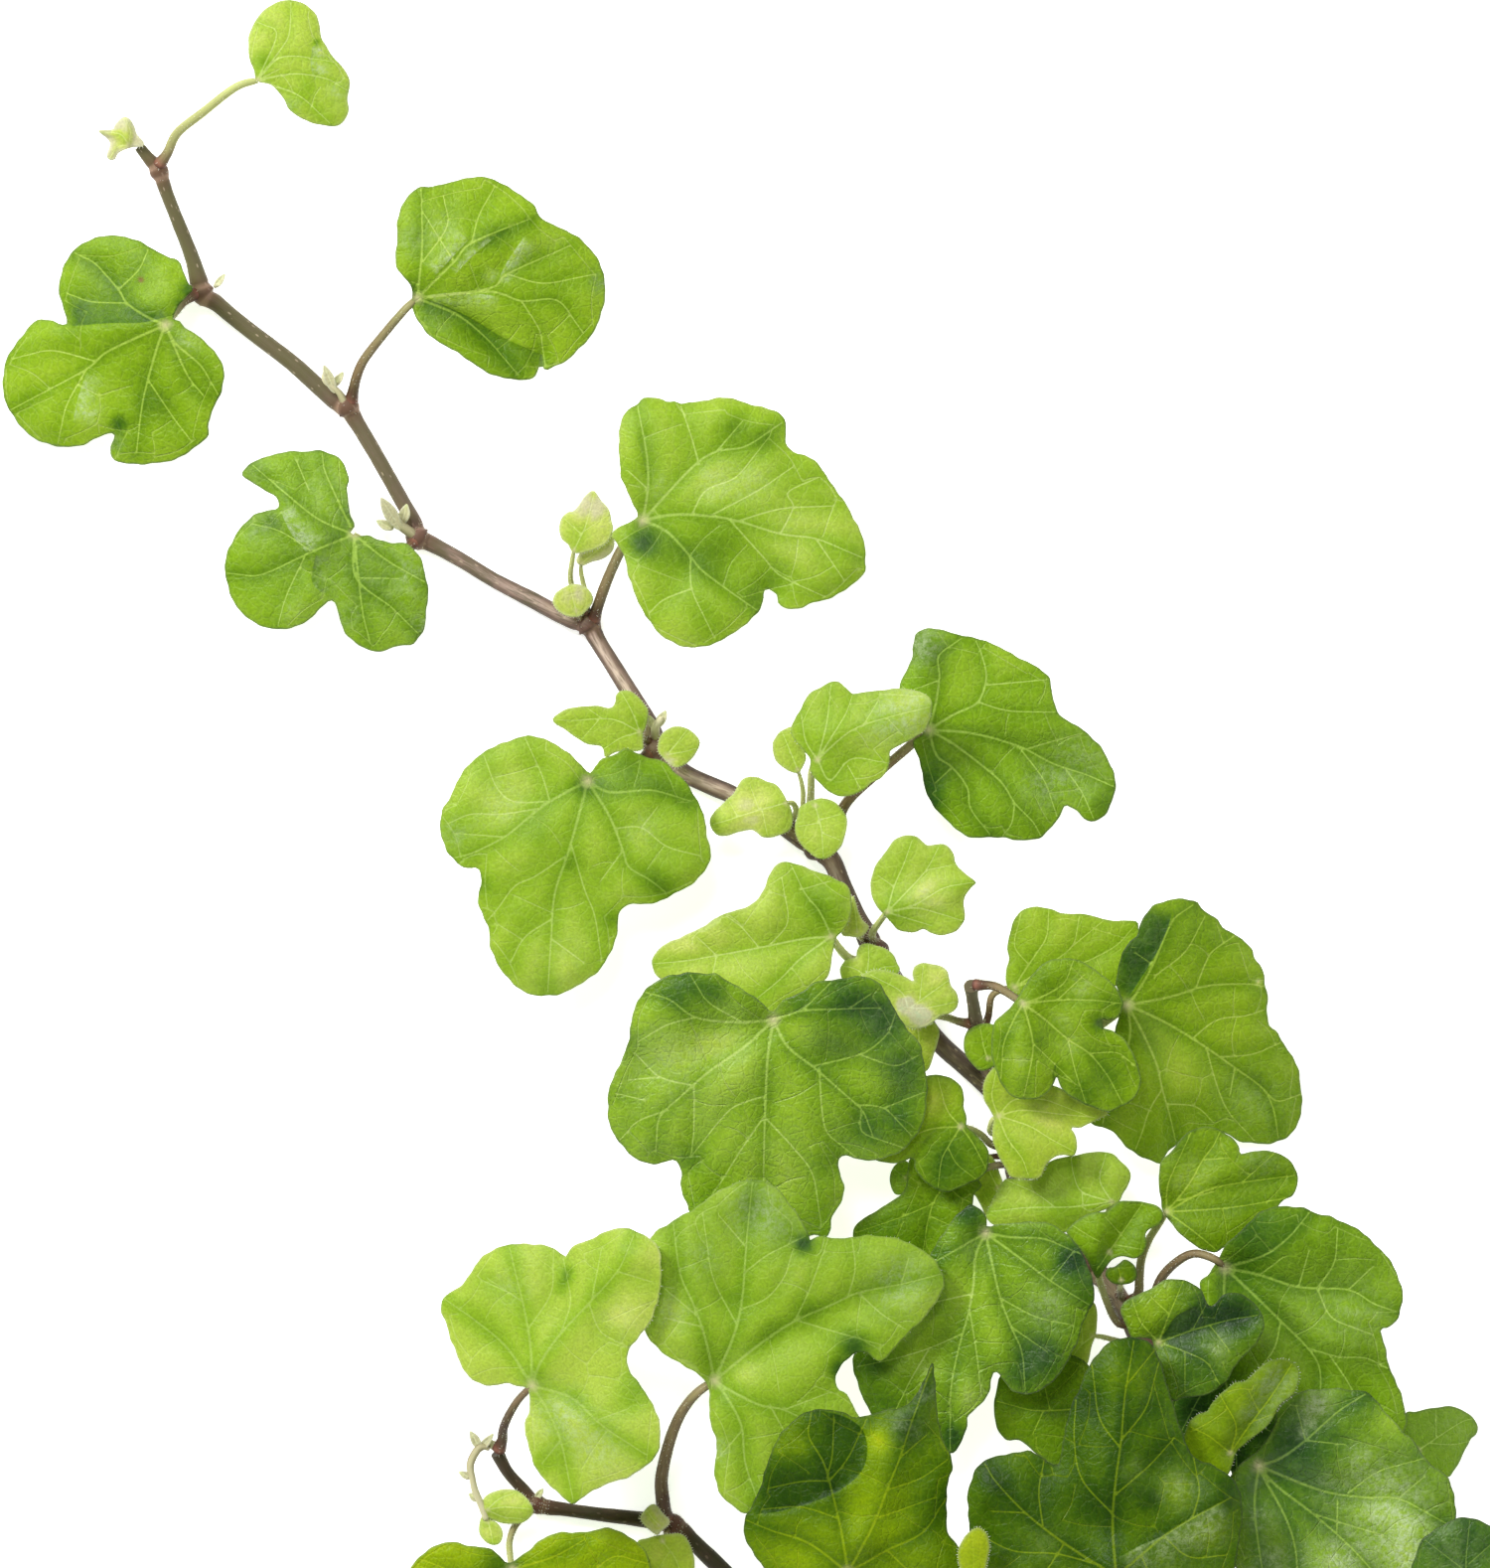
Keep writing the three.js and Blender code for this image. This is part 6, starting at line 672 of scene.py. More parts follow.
168.4,27.6,3.4,0.12 | 171.6,31,1.8,-0.12,0.35 | 167.5,33.5,1.6,0.1
folds 163.4,32.2 164.6,33.9 165.8,35.6 168.9,37.2 > 0.3 5 0.06
stalk 162.9,30.4,17 162.9,29.6,9 162.8,29.4,4.2 162.8,29.4,3.9

leaf_39 lime joint 173.4,16.2 rise 23.5 tilt 0.03,0.06 cup 0.2 shade 0.42 warm 1 radius 0.45,0.5
creases 174.2,17,181.5,28,-1.4,1.8 174.2,17,168,20,0.6,1.6
rim 167.1,19.3 167.7,20.7 168.7,21.6 170.1,22.1 170.8,23.2 172.2,24.7 174,26.1 175.4,26.3
176.4,27.2 177.8,28.4 179.2,29.3 181.3,29.4 182.5,28.8 183.1,27.4 182.9,25.6 182,24.2 180.6,23.2
179.9,22.1 179.2,20.7 177.8,19.3 175.7,17.7 174.2,16.2 173.6,14.2 172.8,12.9 171,12.9 169,13.9
167.3,15.5 166.7,17.6
veins *176,20 179,24 181.6,28 | *174.2,20 172.4,23.6 | *170.5,18.5 168.4,19.6 | 176,20.4 178.6,21.4
| 177.4,22 176,25
tints 179.6,26,2.4,0.02,0.6 | 177,21.6,2,0.05,0.4 | 170,19,2,-0.05 | 174.4,23.4,2,-0.08
stalk 172.4,15.2,18 170.6,14.6,10 168.6,14.4,5 168,14.3,3.9

leaf_40 dark joint 177.4,14.4 rise 19.5 tilt 0.02,0.05 shade -0.31 warm 0.05 radius 0.65,0.7
creases 179,12.6,193,0,-1.4,3 179,13,198,9.8,-1.0,3
rim 177,16.2 179,19 179.8,21 180.3,22.8 181.8,24 183.8,25 186,25.2 188.3,25.3 190.5,25.1 192.3,24.9
193.7,23.9 195.2,22.1 196.5,20.6 197.8,19.2 199.2,18 200,16.7 201,15.3 202.3,14.2 203.8,13
204.3,12.3 204.9,10.6 205.1,9 205.2,7 204.6,3.6 203,0 200,-3.4 195.6,-6.2 190,-7.6 184,-7.6
178.6,-5.6 175,-1.6 172.8,3.4 172.4,8.4 173,12 174.4,14.2 175.8,15.6
veins *180,11.5 185,7.7 190,3.3 194,-1 | *186,11 192,10 197,9.8 202,7.3 | 190,10.6 194,13.5
197.8,14.7 | *178.5,12 181,7.5 182.5,3 183,-3 | *180.5,15.5 184,18 188.5,22 191.6,24 | *176.8,9
177.4,3 178.4,-3 | 184,18 189.6,17.4 | 188.5,9.4 188.4,5 | 185,7.7 189,6.4 195,4.6 | 197,9.8
200.4,12.6 | 184,18 183,21.6
tints 181.4,18.6,3.2,.26 | 184.6,14.8,2.6,.22 | 188,19,1.5,.1 | 185.6,22.4,2.2,-.06,.9 |
184,19.4,1.2,-.05,.6 | 196,20.6,2.6,-.22 | 192,22,2.4,.06 | 196,9,5.4,-.26,.7 | 199,2,4.4,-.26,.7 |
189,1,4,-.2,.7 | 187.4,11.2,2.4,0,.35 | 177.6,7,1.8,0,.7 | 179,1,2.4,.04,.5 | 174.4,11,2,.1 |
192,15.4,2.4,-.06,.4 | 199.6,4,1,.1 | 203,6,1.2,.08 | 180.6,13.4,1.6,.12
stalk 175.4,12.6,14 172.6,10.6,8 170,9.6,4.8 168.8,9.2,3.9

leaf_41 fresh joint 199.9,16.6 rise 8 tilt -0.62,-0.1 cup -0.6 shade 0.05 radius 0.4,0.5
rim 198.2,21.9 199.5,22 201,22.4 203,22.7 204.5,22.8 206,22.3 207.3,21.5 208.1,20.5 208.3,19.7
208,18.8 207.3,18.2 206.9,17.3 206.2,16.1 205.7,14.9 204.9,13.7 204.1,12.8 202,13.2 199.5,14.6
197.8,17 197.4,19.6
veins *203,18.7 206,20.6 207.4,21 | 201.4,17.6 204.6,17.4 206.8,17.8 | 202.4,18.4 202.4,21.8
tints 205,20,3,-0.05,0.15
stalk 196,14,6.6 188,9.6,4.6 178,6.6,4 170,5.6,3.8 168.9,5.5,3.6

leaf_42 dark joint 209.6,-7.6 rise 23 tilt 0,0.08 cup -0.2 shade -0.14 clear 0.8 radius 0.6,0.7
rim 198.6,-2 198.9,0 199.6,2 200.3,3.9 201.5,4.9 203,5.9 205.2,7 206.8,7.1 208.3,6.8 210,6
212.4,4.6 215,3.4 217.6,1.4 219.2,-1.4 219.6,-4.6 218.4,-7.8 215.6,-9.8 212.4,-9.4 210.2,-7.8
208.6,-9.8 205.4,-10.6 202,-9.4 199.6,-6.4
veins *207.6,-3.6 206.6,0 207,5.4 | *212,-3 215.6,0.6 | *205.6,-7.6 202,-5.4 | 206.8,-0.6 203.4,2 |
207,0.6 210.4,3.6
tints 205,2,4,0.02,0.2 | 209,4,3,0.04
stalk 206,-11.4,19 196,-13.4,11 182,-12.6,5.4 170,-10.8,3.8 167.7,-10.4,3.6

leaf_43 middle joint 157.3,-1.2 rise 28 tilt 0,0.03 cup -0.2 shade 0.2 warm 1 clear 0.8 radius
0.7,0.75
creases 157.2,0,158.4,27,1.0,3 156,0,141,11,0.8,3 158.5,0.5,173,9.5,0.8,3
rim 152.2,25.5 153,27.5 154,29.3 155.4,31 156.8,32 158.4,32.5 160.2,32.4 161.8,31.9 162.9,30.7
163.7,28.7 164.3,26.5 165,24.3 165.7,21.8 166.4,19.8 167,18 167.8,16.3 169,15.2 170.8,14.5
172.5,13.6 173.9,12.4 174.8,10.5 175.1,8.5 175,6 174.6,3.5 174.2,1 173.4,-2 171.2,-4.8 167.8,-6.4
164,-6.2 160.6,-4.4 157.8,-2.4 155,-4.8 150.6,-6.6 145.6,-6.4 141.2,-4.2 138.4,-0.6 137,3 136.6,6
136.4,8 136.4,10.5 136.9,12.5 137.7,14.2 139,15.2 140.8,15.9 143.2,16.2 145,16.6 146,16.1
147.4,15.2 148.8,14.3 149.3,15.2 149.8,17.5 150.2,20 150.9,22.5 151.6,24.2
veins *156.8,6 157.2,12 158,18 158.5,24 159.4,29.6 | *150,3.5 144.5,7.8 140.5,12 139.2,14 |
156.9,7.5 152.5,12.5 151.4,18 151.6,23 | *164,4.5 168,7 173,9.7 | 157.4,10.5 162,14.5 165.2,18 |
155,0.4 149,2 143,2.4 138.6,4.4 | 147,5.8 146.4,10.6 147,14.4 | 157.8,17 155,21 154.2,26 | 158,18
161.4,22.4 162.8,27 | 164,4.5 167.6,1.6 172.4,1.8 | 168,7 169,10.6 168.6,13.6 | 144.5,7.8 140,8 |
158.6,25.6 161.2,28.8 | 150,3.5 147.4,-0.6 146,-4 | 161,1.4 163,-3
tints 170,4.6,2.4,-0.1,.2 | 166.2,11.2,2.6,-0.19,.3 | 162,9.6,1.8,0.26 | 154.6,8.6,3.4,0.16 |
153.2,23.4,2.4,0.19 | 159.4,27.2,2.6,-0.19 | 163,22,2,0.1 | 141,12,3,0.13 | 147,3,3,-0.1,.1 |
159.6,14,1.6,-0.13,.15 | 173,12,1.6,0.19 | 148,10,3,0.08 | 164,16.4,2.4,0.13
folds 157.4,1.4 160.6,3.2 164,4.7 168,7.1 172.6,9.5 > -0.2 3.2 0.6
stalk 158.8,-4,20 161.2,-6.6,10 163.2,-8,4.4 163.5,-8.1,3.9

leaf_44 middle joint 151.8,22.4 rise 8.6 tilt 0,0 cup -0.1 shade 0.04 warm 0.6 radius 0.4,0.5
rim 140.9,27 140.6,25.8 140.2,24 140.1,22 140.4,20 141.2,18.6 142,18 143.6,18 145,17 146.5,15.8
148.8,14.4 151.6,15.6 153.6,18.6 154.4,22 154.4,25.4 153.6,28.4 151,30 147,30.4 143,29.4
veins *146,22.2 142.4,23 | 147,22 145.6,19 | 148,22.2 147,26.6
tints 143,21,3,-0.04
stalk 154.6,22.4,6.6 158.6,22.8,4.8 162,23.2,4 162.6,23.2,3.6

leaf_45 middle joint 119.5,-0.6 rise 21 tilt 0,0.08 cup -0.1 shade 0.1 warm 1 clear 0.7 radius
0.6,0.65
creases 122,4,131.3,28,1.2,2.2 118.6,2,114.4,20,0.6,3
rim 107.7,0 106.3,1.8 105.3,3.6 104.8,5.3 105,7.1 106,8.8 107.2,11.6 108.2,14.9 109.2,17.5
110.5,19.5 112.2,21.1 114,22.1 116,22.4 118.5,22 120.5,21.3 122.7,21.6 124.8,22.3 126.8,22.6
128.2,23.2 129.4,25 130.6,27.2 131.5,29 131.8,26 132,23.5 132.3,20.5 133,18 133.9,16 134.3,14.2
133.8,12.7 133.4,10.5 133.5,8 133.4,5.7 134,4.3 135.2,3 136.2,1 136.6,-1.4 135.6,-4.2 132.6,-6.6
128.2,-7.6 123.8,-5.8 120.4,-2.6 117.8,-5.6 113.8,-6.2 110.2,-4
veins *118.6,5 117.2,11 116,15 114,18.5 114.2,21 | 116.6,13 117.3,16 117.5,20.8 | 117,12.4
119.5,15.5 121.4,19.4 | 116.9,12.3 113,12.2 109,11.4 | *121.5,3 123.5,7 125,11 126.8,15.5
128.8,21.5 131,27.5 | *114,3.5 109,5.2 105.8,6.5 | *125,2.5 130,5 132.8,9 | 118.2,7 113,8.6
108.4,8.4 | 125,11 129.6,12.6 132.6,14.6 | 126.8,15.5 130.4,18.6 | 125,2.5 129,-1 133,-2 |
*114,-2.6 109.6,-2 | 123.5,7 128,8.6
tints 109,14,2.4,0.07 | 113.4,17.6,1.4,-0.11 | 127.6,20,2,0.22,0.4 | 130,25,1.6,0.17,0.45 |
123.6,18,2,-0.37 | 124,9,5,-0.22 | 112,2,5,-0.18 | 131,10,3.4,0.07 | 128,0,5,-0.13 | 120,4,4,-0.13
folds 114.4,22.4 119,21.4 121.8,19.2 122.2,15.4 120.4,12.4 116,9.8 110,8 105.8,7.4 > 0.34 7 0
stalk 120.2,-3.2,14 120.6,-6.4,7 120.8,-8.6,4 120.8,-8.9,3.4

leaf_46 light joint 100.7,26.4 rise 18.5 tilt 0.01,0.04 cup -0.12 shade 0.01 blush 0.62 clear 0.7
radius 0.55,0.9
creases 101,27.5,105,50,-1.0,3 102,27.5,127,40,-1.2,3 101.5,25,105,12,-0.8,2.4
rim 99.6,26 98.7,27 97.3,28 95.8,28.9 94,29.8 92.7,31 91.6,32.2 90.8,33.4 90.3,36 90,40 90.4,43.6
91.5,46.2 92.5,47.5 94,48.4 96.5,49.9 97.2,50.3 99,51.5 101,53 103,54 105,54.6 107,54.7 108.6,54.1
110,53 111.2,51.5 112.3,50 113.3,48.3 114,46.9 114.2,46.2 115,46.7 116.5,46.6 118.5,46.5 120.3,46.6
122,46.9 124,46.8 126,46.5 128,45.9 130,44.8 131.5,43.6 132.6,42.2 133.1,40.5 132.7,38.8 131.8,37.2
130.6,35.7 129.3,34.2 128,33 126.8,31.8 125.8,30.6 124.2,29 123.3,29.5 122.4,30.2 121.2,30.4
120,29.9 118.7,28.7 117.9,27.4 117.8,26.2 118.3,25.2 119,24.7 119.9,23.6 120.6,22.2 121.2,21.2
122,19 121.6,16.2 120,13.6 118,11.8 115.5,10.5 112,9.7 108.5,8.5 105.2,7.6 104,8.2 102.7,9.2
101.6,10.3 100.9,11.9 100.7,13.5 100.8,15 101,16.8 100.8,18.5 100.3,20 99.9,21.8 100,23.5 99.9,25.2
veins *99.5,32 97.8,37 96,41 95.3,45 95,47.6 | *103.5,33 104.6,38 105,43 105.3,47 105.8,52 |
104.8,41.5 108,44 111.5,45.8 | 104.3,36.4 108,38 110.5,41 111.5,44 | *107,31.5 112,34.8 117,37
121,38.8 127,40 131,41 | 112,34.8 114,39 115.5,43 116.5,45.8 | 112.3,34.9 117,33.5 121.6,32.2 |
119.5,38.2 120.5,42 120.2,45.6 | 121,38.8 124,36 127,34 | *103,25 107,23 110.5,22.3 115,20 |
*102.5,24 104.5,20 105,15 106.5,10.4 | 105,45.4 101.4,49.6 | 99,34 94,35.2 | 98.4,35.4 94.6,38.6 |
127,40 128,43.4 | 108.6,22.8 111.6,17 112.6,12.4 | 110.5,22.3 116,24.4 | 104.6,19.4 102,16.4 |
103.9,34.2 100.6,40.6 99.6,46
tints 106.6,50.4,3.6,0.16,.45 | 110.6,47.6,2.6,0.16,.2 | 113.4,45.6,1.3,0.64 | 127,40,4,0.03,.4 |
120.4,31,2.2,0.48 | 118.2,28,1.5,0.48 | 101,16.6,1.8,-0.08,.4 | 105,13,4,-0.05 |
94.6,36,3,-0.13,.25 | 112,41.6,2.4,-0.08,.1 | 104.6,28,2.2,-0.16,.1 | 99,44,3,0.08,.2 |
109,33.6,2,0.1 | 114,36.4,2,0.16 | 103,38,1.6,0.13
stalk 98.3,24.7,15.8 96.3,22.3,13 94.9,19.4,10.6 93.8,15.8,8.2 93.2,12.4,6.2 93.4,9.6,4.6
93.9,8.2,4

leaf_47 lime joint 75.0,25.7 rise 15 tilt 0.38,0 shade 0.04 blush 0.74 clear 0.5 radius 0.45,0.65
creases 76,28,88,43.5,1.0,2.6 75.5,29,73,44,0.6,3 76,24.6,90,17,0.6,3
rim 74.4,25.2 73,25.6 71.5,26 70,25.8 68.5,25.7 67.2,26.1 66,27.1 65.1,28.3 64.4,30 63.6,32 63,34
62.2,36 62.2,37.4 63,38.5 64.3,39.4 65.5,40.3 66.4,41.7 67.2,43 68.2,44.1 69.8,44.9 71.5,45.6
73.3,45.7 75,45.6 76.8,45.5 78.2,45 79.2,44.2 79.8,43.8 80.3,45 81.4,45.7 83,46.2 84.6,47 86,47.7
87.8,47.9 89.3,47.6 90.8,46.9 92.2,46 92.9,44.8 93.2,43 93.2,41 93,39 92.6,37 91.9,35.2 91.2,34
90.6,33.2 89.8,32.2 88.9,31.2 88.4,30.1 88.4,28.8 89.1,27.3 90.2,25.8 91.3,24.2 92.2,22.7 92.8,21
93.1,19.2 93,17.4 92.5,15.9 91.3,14.6 89.8,13.5 88,12.6 86,12 84.5,11.3 82.8,10.5 81.8,9.6 81,9
80.3,9.1 79.6,9.8 78.3,10.9 76.8,12.3 75.6,14 74.8,15.8 74.4,17.5 74,19.2 74,20.5 74.5,22 74.7,23.8
veins *76.2,29 79,33 83,37.3 87,41.8 88.8,45.6 | *74.8,31 74,36 72.8,41 72,44.4 | *71.5,31
67.5,34.5 64,37 | *77,22.5 79,18 80.5,11 | *80.5,24 85,20 91,16 | 83,37.3 84.6,33.4 87.6,31.6 |
79,33 80.4,37.4 79.8,41.6 | 87,41.8 91.6,40.4 | 74.4,33.6 77.6,38.6 78,43 | 73.6,37.6 69,40.6 |
79,18 76.6,15 | 84,20.8 88.4,22.4 | 83.4,37.8 84.4,43
tints 80,41.6,.9,0.3 | 79.5,40.4,.9,0.26 | 78.9,39.2,.8,0.2 | 90,25.6,3,0.27 | 75.4,27,1.5,0.14 |
79,21.4,3.4,-0.03,.5 | 84.6,17,3.4,0,.35 | 87,35,3.4,-0.05,.12 | 69,36,5,0.09 | 72.6,40,3,-0.05,.2
| 77.2,15,2,0.14 | 81,24,1.5,0.1 | 84.6,39,2,0.1
stalk 73,23.6,13 71.6,21.3,10.6 70.9,19.5,7.8 70.8,18.2,6.2 70.7,17.6,5.6

leaf_48 lime joint 93.4,3.8 rise 4.8 tilt 0.03,0 cup 0.2 shade 0.03 warm 0.3 clear 0.6 radius
0.3,0.35
creases 93,4,96.4,-0.4,-0.7,1.3
rim 89.8,3.6 91.2,4.2 92.6,4.6 94.5,4.8 95.6,4.9 96.6,4.4 97.2,3.4 97.6,2.3 97.9,0.8 97.8,-0.8
96.6,-3 94.2,-4.4 91.8,-4 90.6,-1.8 90.2,1.2
veins *95,1.6 96.4,-1.6 | 94.4,2.4 92.4,-0.6
tints 93,2,2,-0.05
stalk 93.9,4.8,3.8 94.1,5.2,3.5

leaf_49 fresh joint 72.2,-0.2 rise 9 tilt 0.03,0.14 cup -0.2 shade -0.14 warm 1 clear 0.7 radius
0.4,0.45
rim 72.2,0.8 73.3,1.6 74.6,2.6 76,3.8 77.5,4.6 79.2,5.1 81,5 82.8,5.1 84.3,5.5 85.6,5.7 87,5.3
88.5,4.5 89.7,3.8 90.8,2.6 91.5,1.2 91.9,-1 91.4,-4.4 89.6,-8 86,-10.8 81.6,-12.4 78,-14.8
74.2,-17.4 70.6,-17 67.6,-14.2 64,-12.2 60,-9.8 57.2,-6.2 56.6,-2.4 57.8,0 59,1.4 60.4,2.7 62,3.4
63.8,3.7 65.6,3.3 67.3,3 68.7,2.8 69.5,2.6 70.5,1.6 71.3,0.9
veins *80,-4 87,-5 | *70,-6 66,-10 | *76.6,-7 78,-12.6 | 80,-4 86,1.4 90,1 | *66,-1 61,0.6 |
*78,1.6 82,3.8 | 76,-6.2 72,-12
tints 70.5,1,3,0.35 | 85,3.6,3,0.02 | 80,3,3,0.06 | 60,0,3,-0.1
stalk 71.9,1.6,7 71.8,3.6,5 72.4,5.6,3.7 73.6,7.2,3.2 74.5,8.1,2.8

leaf_50 light joint 154.0,32.7 rise 7.7 tilt 0,0.02 shade -0.18 warm 0.1 radius 0.3,0.4
rim 149.8,27.3 151,27.2 152.3,27.7 153.2,28.6 153.6,30 153.9,31.5 154.4,32.6 154.6,34.5 154.6,36.4
154,37.4 152.2,36 150.8,33.2 149.8,30.4
veins *152,31 150.6,28.6 | 152.6,31.6 152.4,34.6
stalk 155.2,32.6,6.4 156.8,32.2,5 158.4,31.8,4.2 159.1,31.6,3.8

leaf_51 deep joint 127.6,55.0 rise 5.4 tilt 0,0 cup 0.2 shade -0.47 radius 0.25,0.35
rim 125.4,54.5 125.6,55.9 126.4,57 127.6,57.4 128.6,56.4 128.8,54.6 127.6,52.9 126.4,52.6
125.7,53.3
veins *126.8,55.6
stalk 129.4,55.2,4.6 133,56,3.9 137,57.6,3.1 140.4,58,2.4 140.8,58,2.3

leaf_52 lime joint 92.9,6.0 rise 5.2 tilt 0,0 cup 1.2 shade -0.1 warm 0.1 radius 0.3,0.35
rim 90.3,7.3 91,8.3 91.9,9 92.6,8.8 93.2,8 94,7.2 94.4,6.6 94.2,6 93.2,5.2 92.7,4.6 92,5 91,5.8
90.4,6.6
veins *91.8,7.2 91.2,8.2
stalk 93.4,6,4.3 94,6.1,3.5

leaf_53 lime joint 137.2,-1.2 rise 31 tilt 0,0.06 cup 0.8 shade 0.12 warm 0.9 clear 0.5 radius
0.4,0.5
rim 135.2,3 135.9,4.3 136.9,5.3 138,5.7 139.1,4.8 139.5,3.2 139.2,1.3 138.8,-0.5 138,-2.2 136.5,-2
135.4,-0.3 135,1.5
veins *137.2,2 137,4.8
tints 137,4,1.4,-0.06
stalk 137.2,-5,24 137,-8.6,13 136.8,-11.2,5 136.8,-11.5,3.4""")
TIP_BUD, *YOUNG_LEAVES = drawn_leaves("""
tip_bud cream joint 18.2,200.4 rise 8.1 tilt -0.15,0.1 cup 1.5
creases 18.2,200.4,15,201.2,-0.5,0.7 18,200.6,18,204,0.5,0.6
rim 13.8,202.5 15.9,202.7 16.2,203.3 17.3,204.4 18.3,204.2 18.9,203.2 19.3,202 20.2,201 20.2,200.3
18.9,200.2 17.5,199.8 16.6,199.3 16.2,198.5 15.4,198.4 15,199 15.4,200 15.5,200.8 14.9,201.6
veins *17,202 14.6,202.2 | *18.4,202.4 17.9,203.8 | *16.6,200.2 15.6,198.8
tints 17,201.5,1.2,0.08 | 18,203.6,0.9,-0.02,0.5

young_leaf_0 lime joint 68.6,8.2 rise 4.9 tilt 0.1,0.05
creases 69,8.6,74.2,8.2,0.6,1.1
rim 67.8,8.9 68.3,10 69.5,10.7 71,11.1 72.5,11 73.8,10.3 74.7,9.2 75.2,8.2 74.8,7.2 73.6,6.4 72,6.2
70.5,6.4 69.2,6.9 68,7.7
veins *71,8.6 74.2,8.4 | *70.4,9.8 72,10.4 | *71,7.2 73,7
tints 72,9.6,1.6,-0.06

young_leaf_1 lime joint 68.8,6.6 rise 4.8 tilt 0,-0.12
rim 68.1,7.5 69.2,6.9 70.3,6.1 70.9,4.8 70.5,3.6 69.6,3.2 68.6,3.6 67.7,4.6 67.5,6
veins *69.2,5 69.4,3.8
tints 69,5,1,-0.08
""").values()


# ---------------------------------------------------------------- drawn lines

def flow(points, step, closed=False):
    """Points about a step apart on a smooth line through the given ones."""
    p = np.asarray(points, float)
    if closed:
        around = np.vstack([p[-1:], p, p[:2]])
    else:
        around = np.vstack([2 * p[0] - p[1], p, 2 * p[-1] - p[-2]])
    a, b, c, d = around[:-3], around[1:-2], around[2:-1], around[3:]
    t = np.linspace(0, 1, 10, endpoint=False)[:, None, None]
    fine = (b + t * (c - a) / 2 + t**2 * (a - 2.5 * b + 2 * c - d / 2)
            + t**3 * (1.5 * (b - c) + (d - a) / 2))
    fine = fine.transpose(1, 0, 2).reshape(-1, p.shape[1])
    fine = np.vstack([fine, p[:1] if closed else p[-1:]])
    run = run_of(fine)
    at = np.linspace(0, run[-1], max(2, round(run[-1] / step)) + 1)
    even = np.column_stack([np.interp(at, run, column) for column in fine.T])
    return even[:-1] if closed else even


def run_of(way):
    """How far along a line each of its points is."""
    lengths = np.linalg.norm(np.diff(way[:, :3], axis=0), axis=1)
    return np.concatenate([[0], np.cumsum(lengths)])


def lay(sheet, height):
    """Points of the sheet put into the spray's own frame at their height, in metres."""
    height = np.asarray(height, float)
    pull = (1 - height / EYE_HEIGHT)[:, None]
    across = VIEW_CENTRE + (np.asarray(sheet)[:, :2] - VIEW_CENTRE) * pull
    return np.column_stack([across - ORIGIN, height]) * MM


def sized(sizes, size):
    """What grows with a leaf: its least, and how much more a full-grown leaf has."""
    return sizes[0] + sizes[1] * size


def fade(gap, width):
    """1 where a gap is 0, falling smoothly away over about a width."""
    return np.exp(-((gap / width) ** 2))


def spot(points, place, radius):
    """1 at a place, falling smoothly away over about a radius."""
    return np.exp(-(((points - place) ** 2).sum(1) / radius**2))


def area_of(ring):
    x, y = ring.T
    return float((x * np.roll(y, -1) - np.roll(x, -1) * y).sum() / 2)


def inside(points, ring):
    """Which points lie within a closed ring."""
    a, b = ring, np.roll(ring, -1, 0)
    x, y = points[:, :1], points[:, 1:2]
    straddles = (a[:, 1] > y) != (b[:, 1] > y)
    rise = np.where(b[:, 1] == a[:, 1], 1e-9, b[:, 1] - a[:, 1])
    left = x < a[:, 0] + (b[:, 0] - a[:, 0]) * (y - a[:, 1]) / rise
    return ((straddles & left).sum(1) % 2) == 1


def nearest(points, starts, ends):
    """How far each point is from the nearest segment, which that is, and where on it."""
    if not len(starts):
        return np.full(len(points), 1e3), np.zeros(len(points), int), np.zeros(len(points))
    run = ends - starts
    square = np.maximum((run**2).sum(1), 1e-12)
    t = (((points[:, None] - starts) * run).sum(2) / square).clip(0, 1)
    gaps = np.linalg.norm(points[:, None] - starts - t[..., None] * run, axis=2)
    k = gaps.argmin(1)
    rows = np.arange(len(points))
    return gaps[rows, k], k, t[rows, k]


def from_rim(points, ring):
    """The same for the segments of a closed ring."""
    return nearest(points, ring, np.roll(ring, -1, 0))


def first_crossing(start, end, starts, ends):
    """The share of the way from start to end at which it first meets a segment, or 1."""
    if not len(starts):
        return 1.0
    way, run, off = end - start, ends - starts, starts - start
    turn = way[0] * run[:, 1] - way[1] * run[:, 0]
    turn = np.where(abs(turn) < 1e-12, 1e-12, turn)
    along = (off[:, 0] * run[:, 1] - off[:, 1] * run[:, 0]) / turn
    across = (off[:, 0] * way[1] - off[:, 1] * way[0]) / turn
    met = along[(along > 1e-6) & (along < 1) & (across >= 0) & (across <= 1)]
    return float(met.min()) if len(met) else 1.0


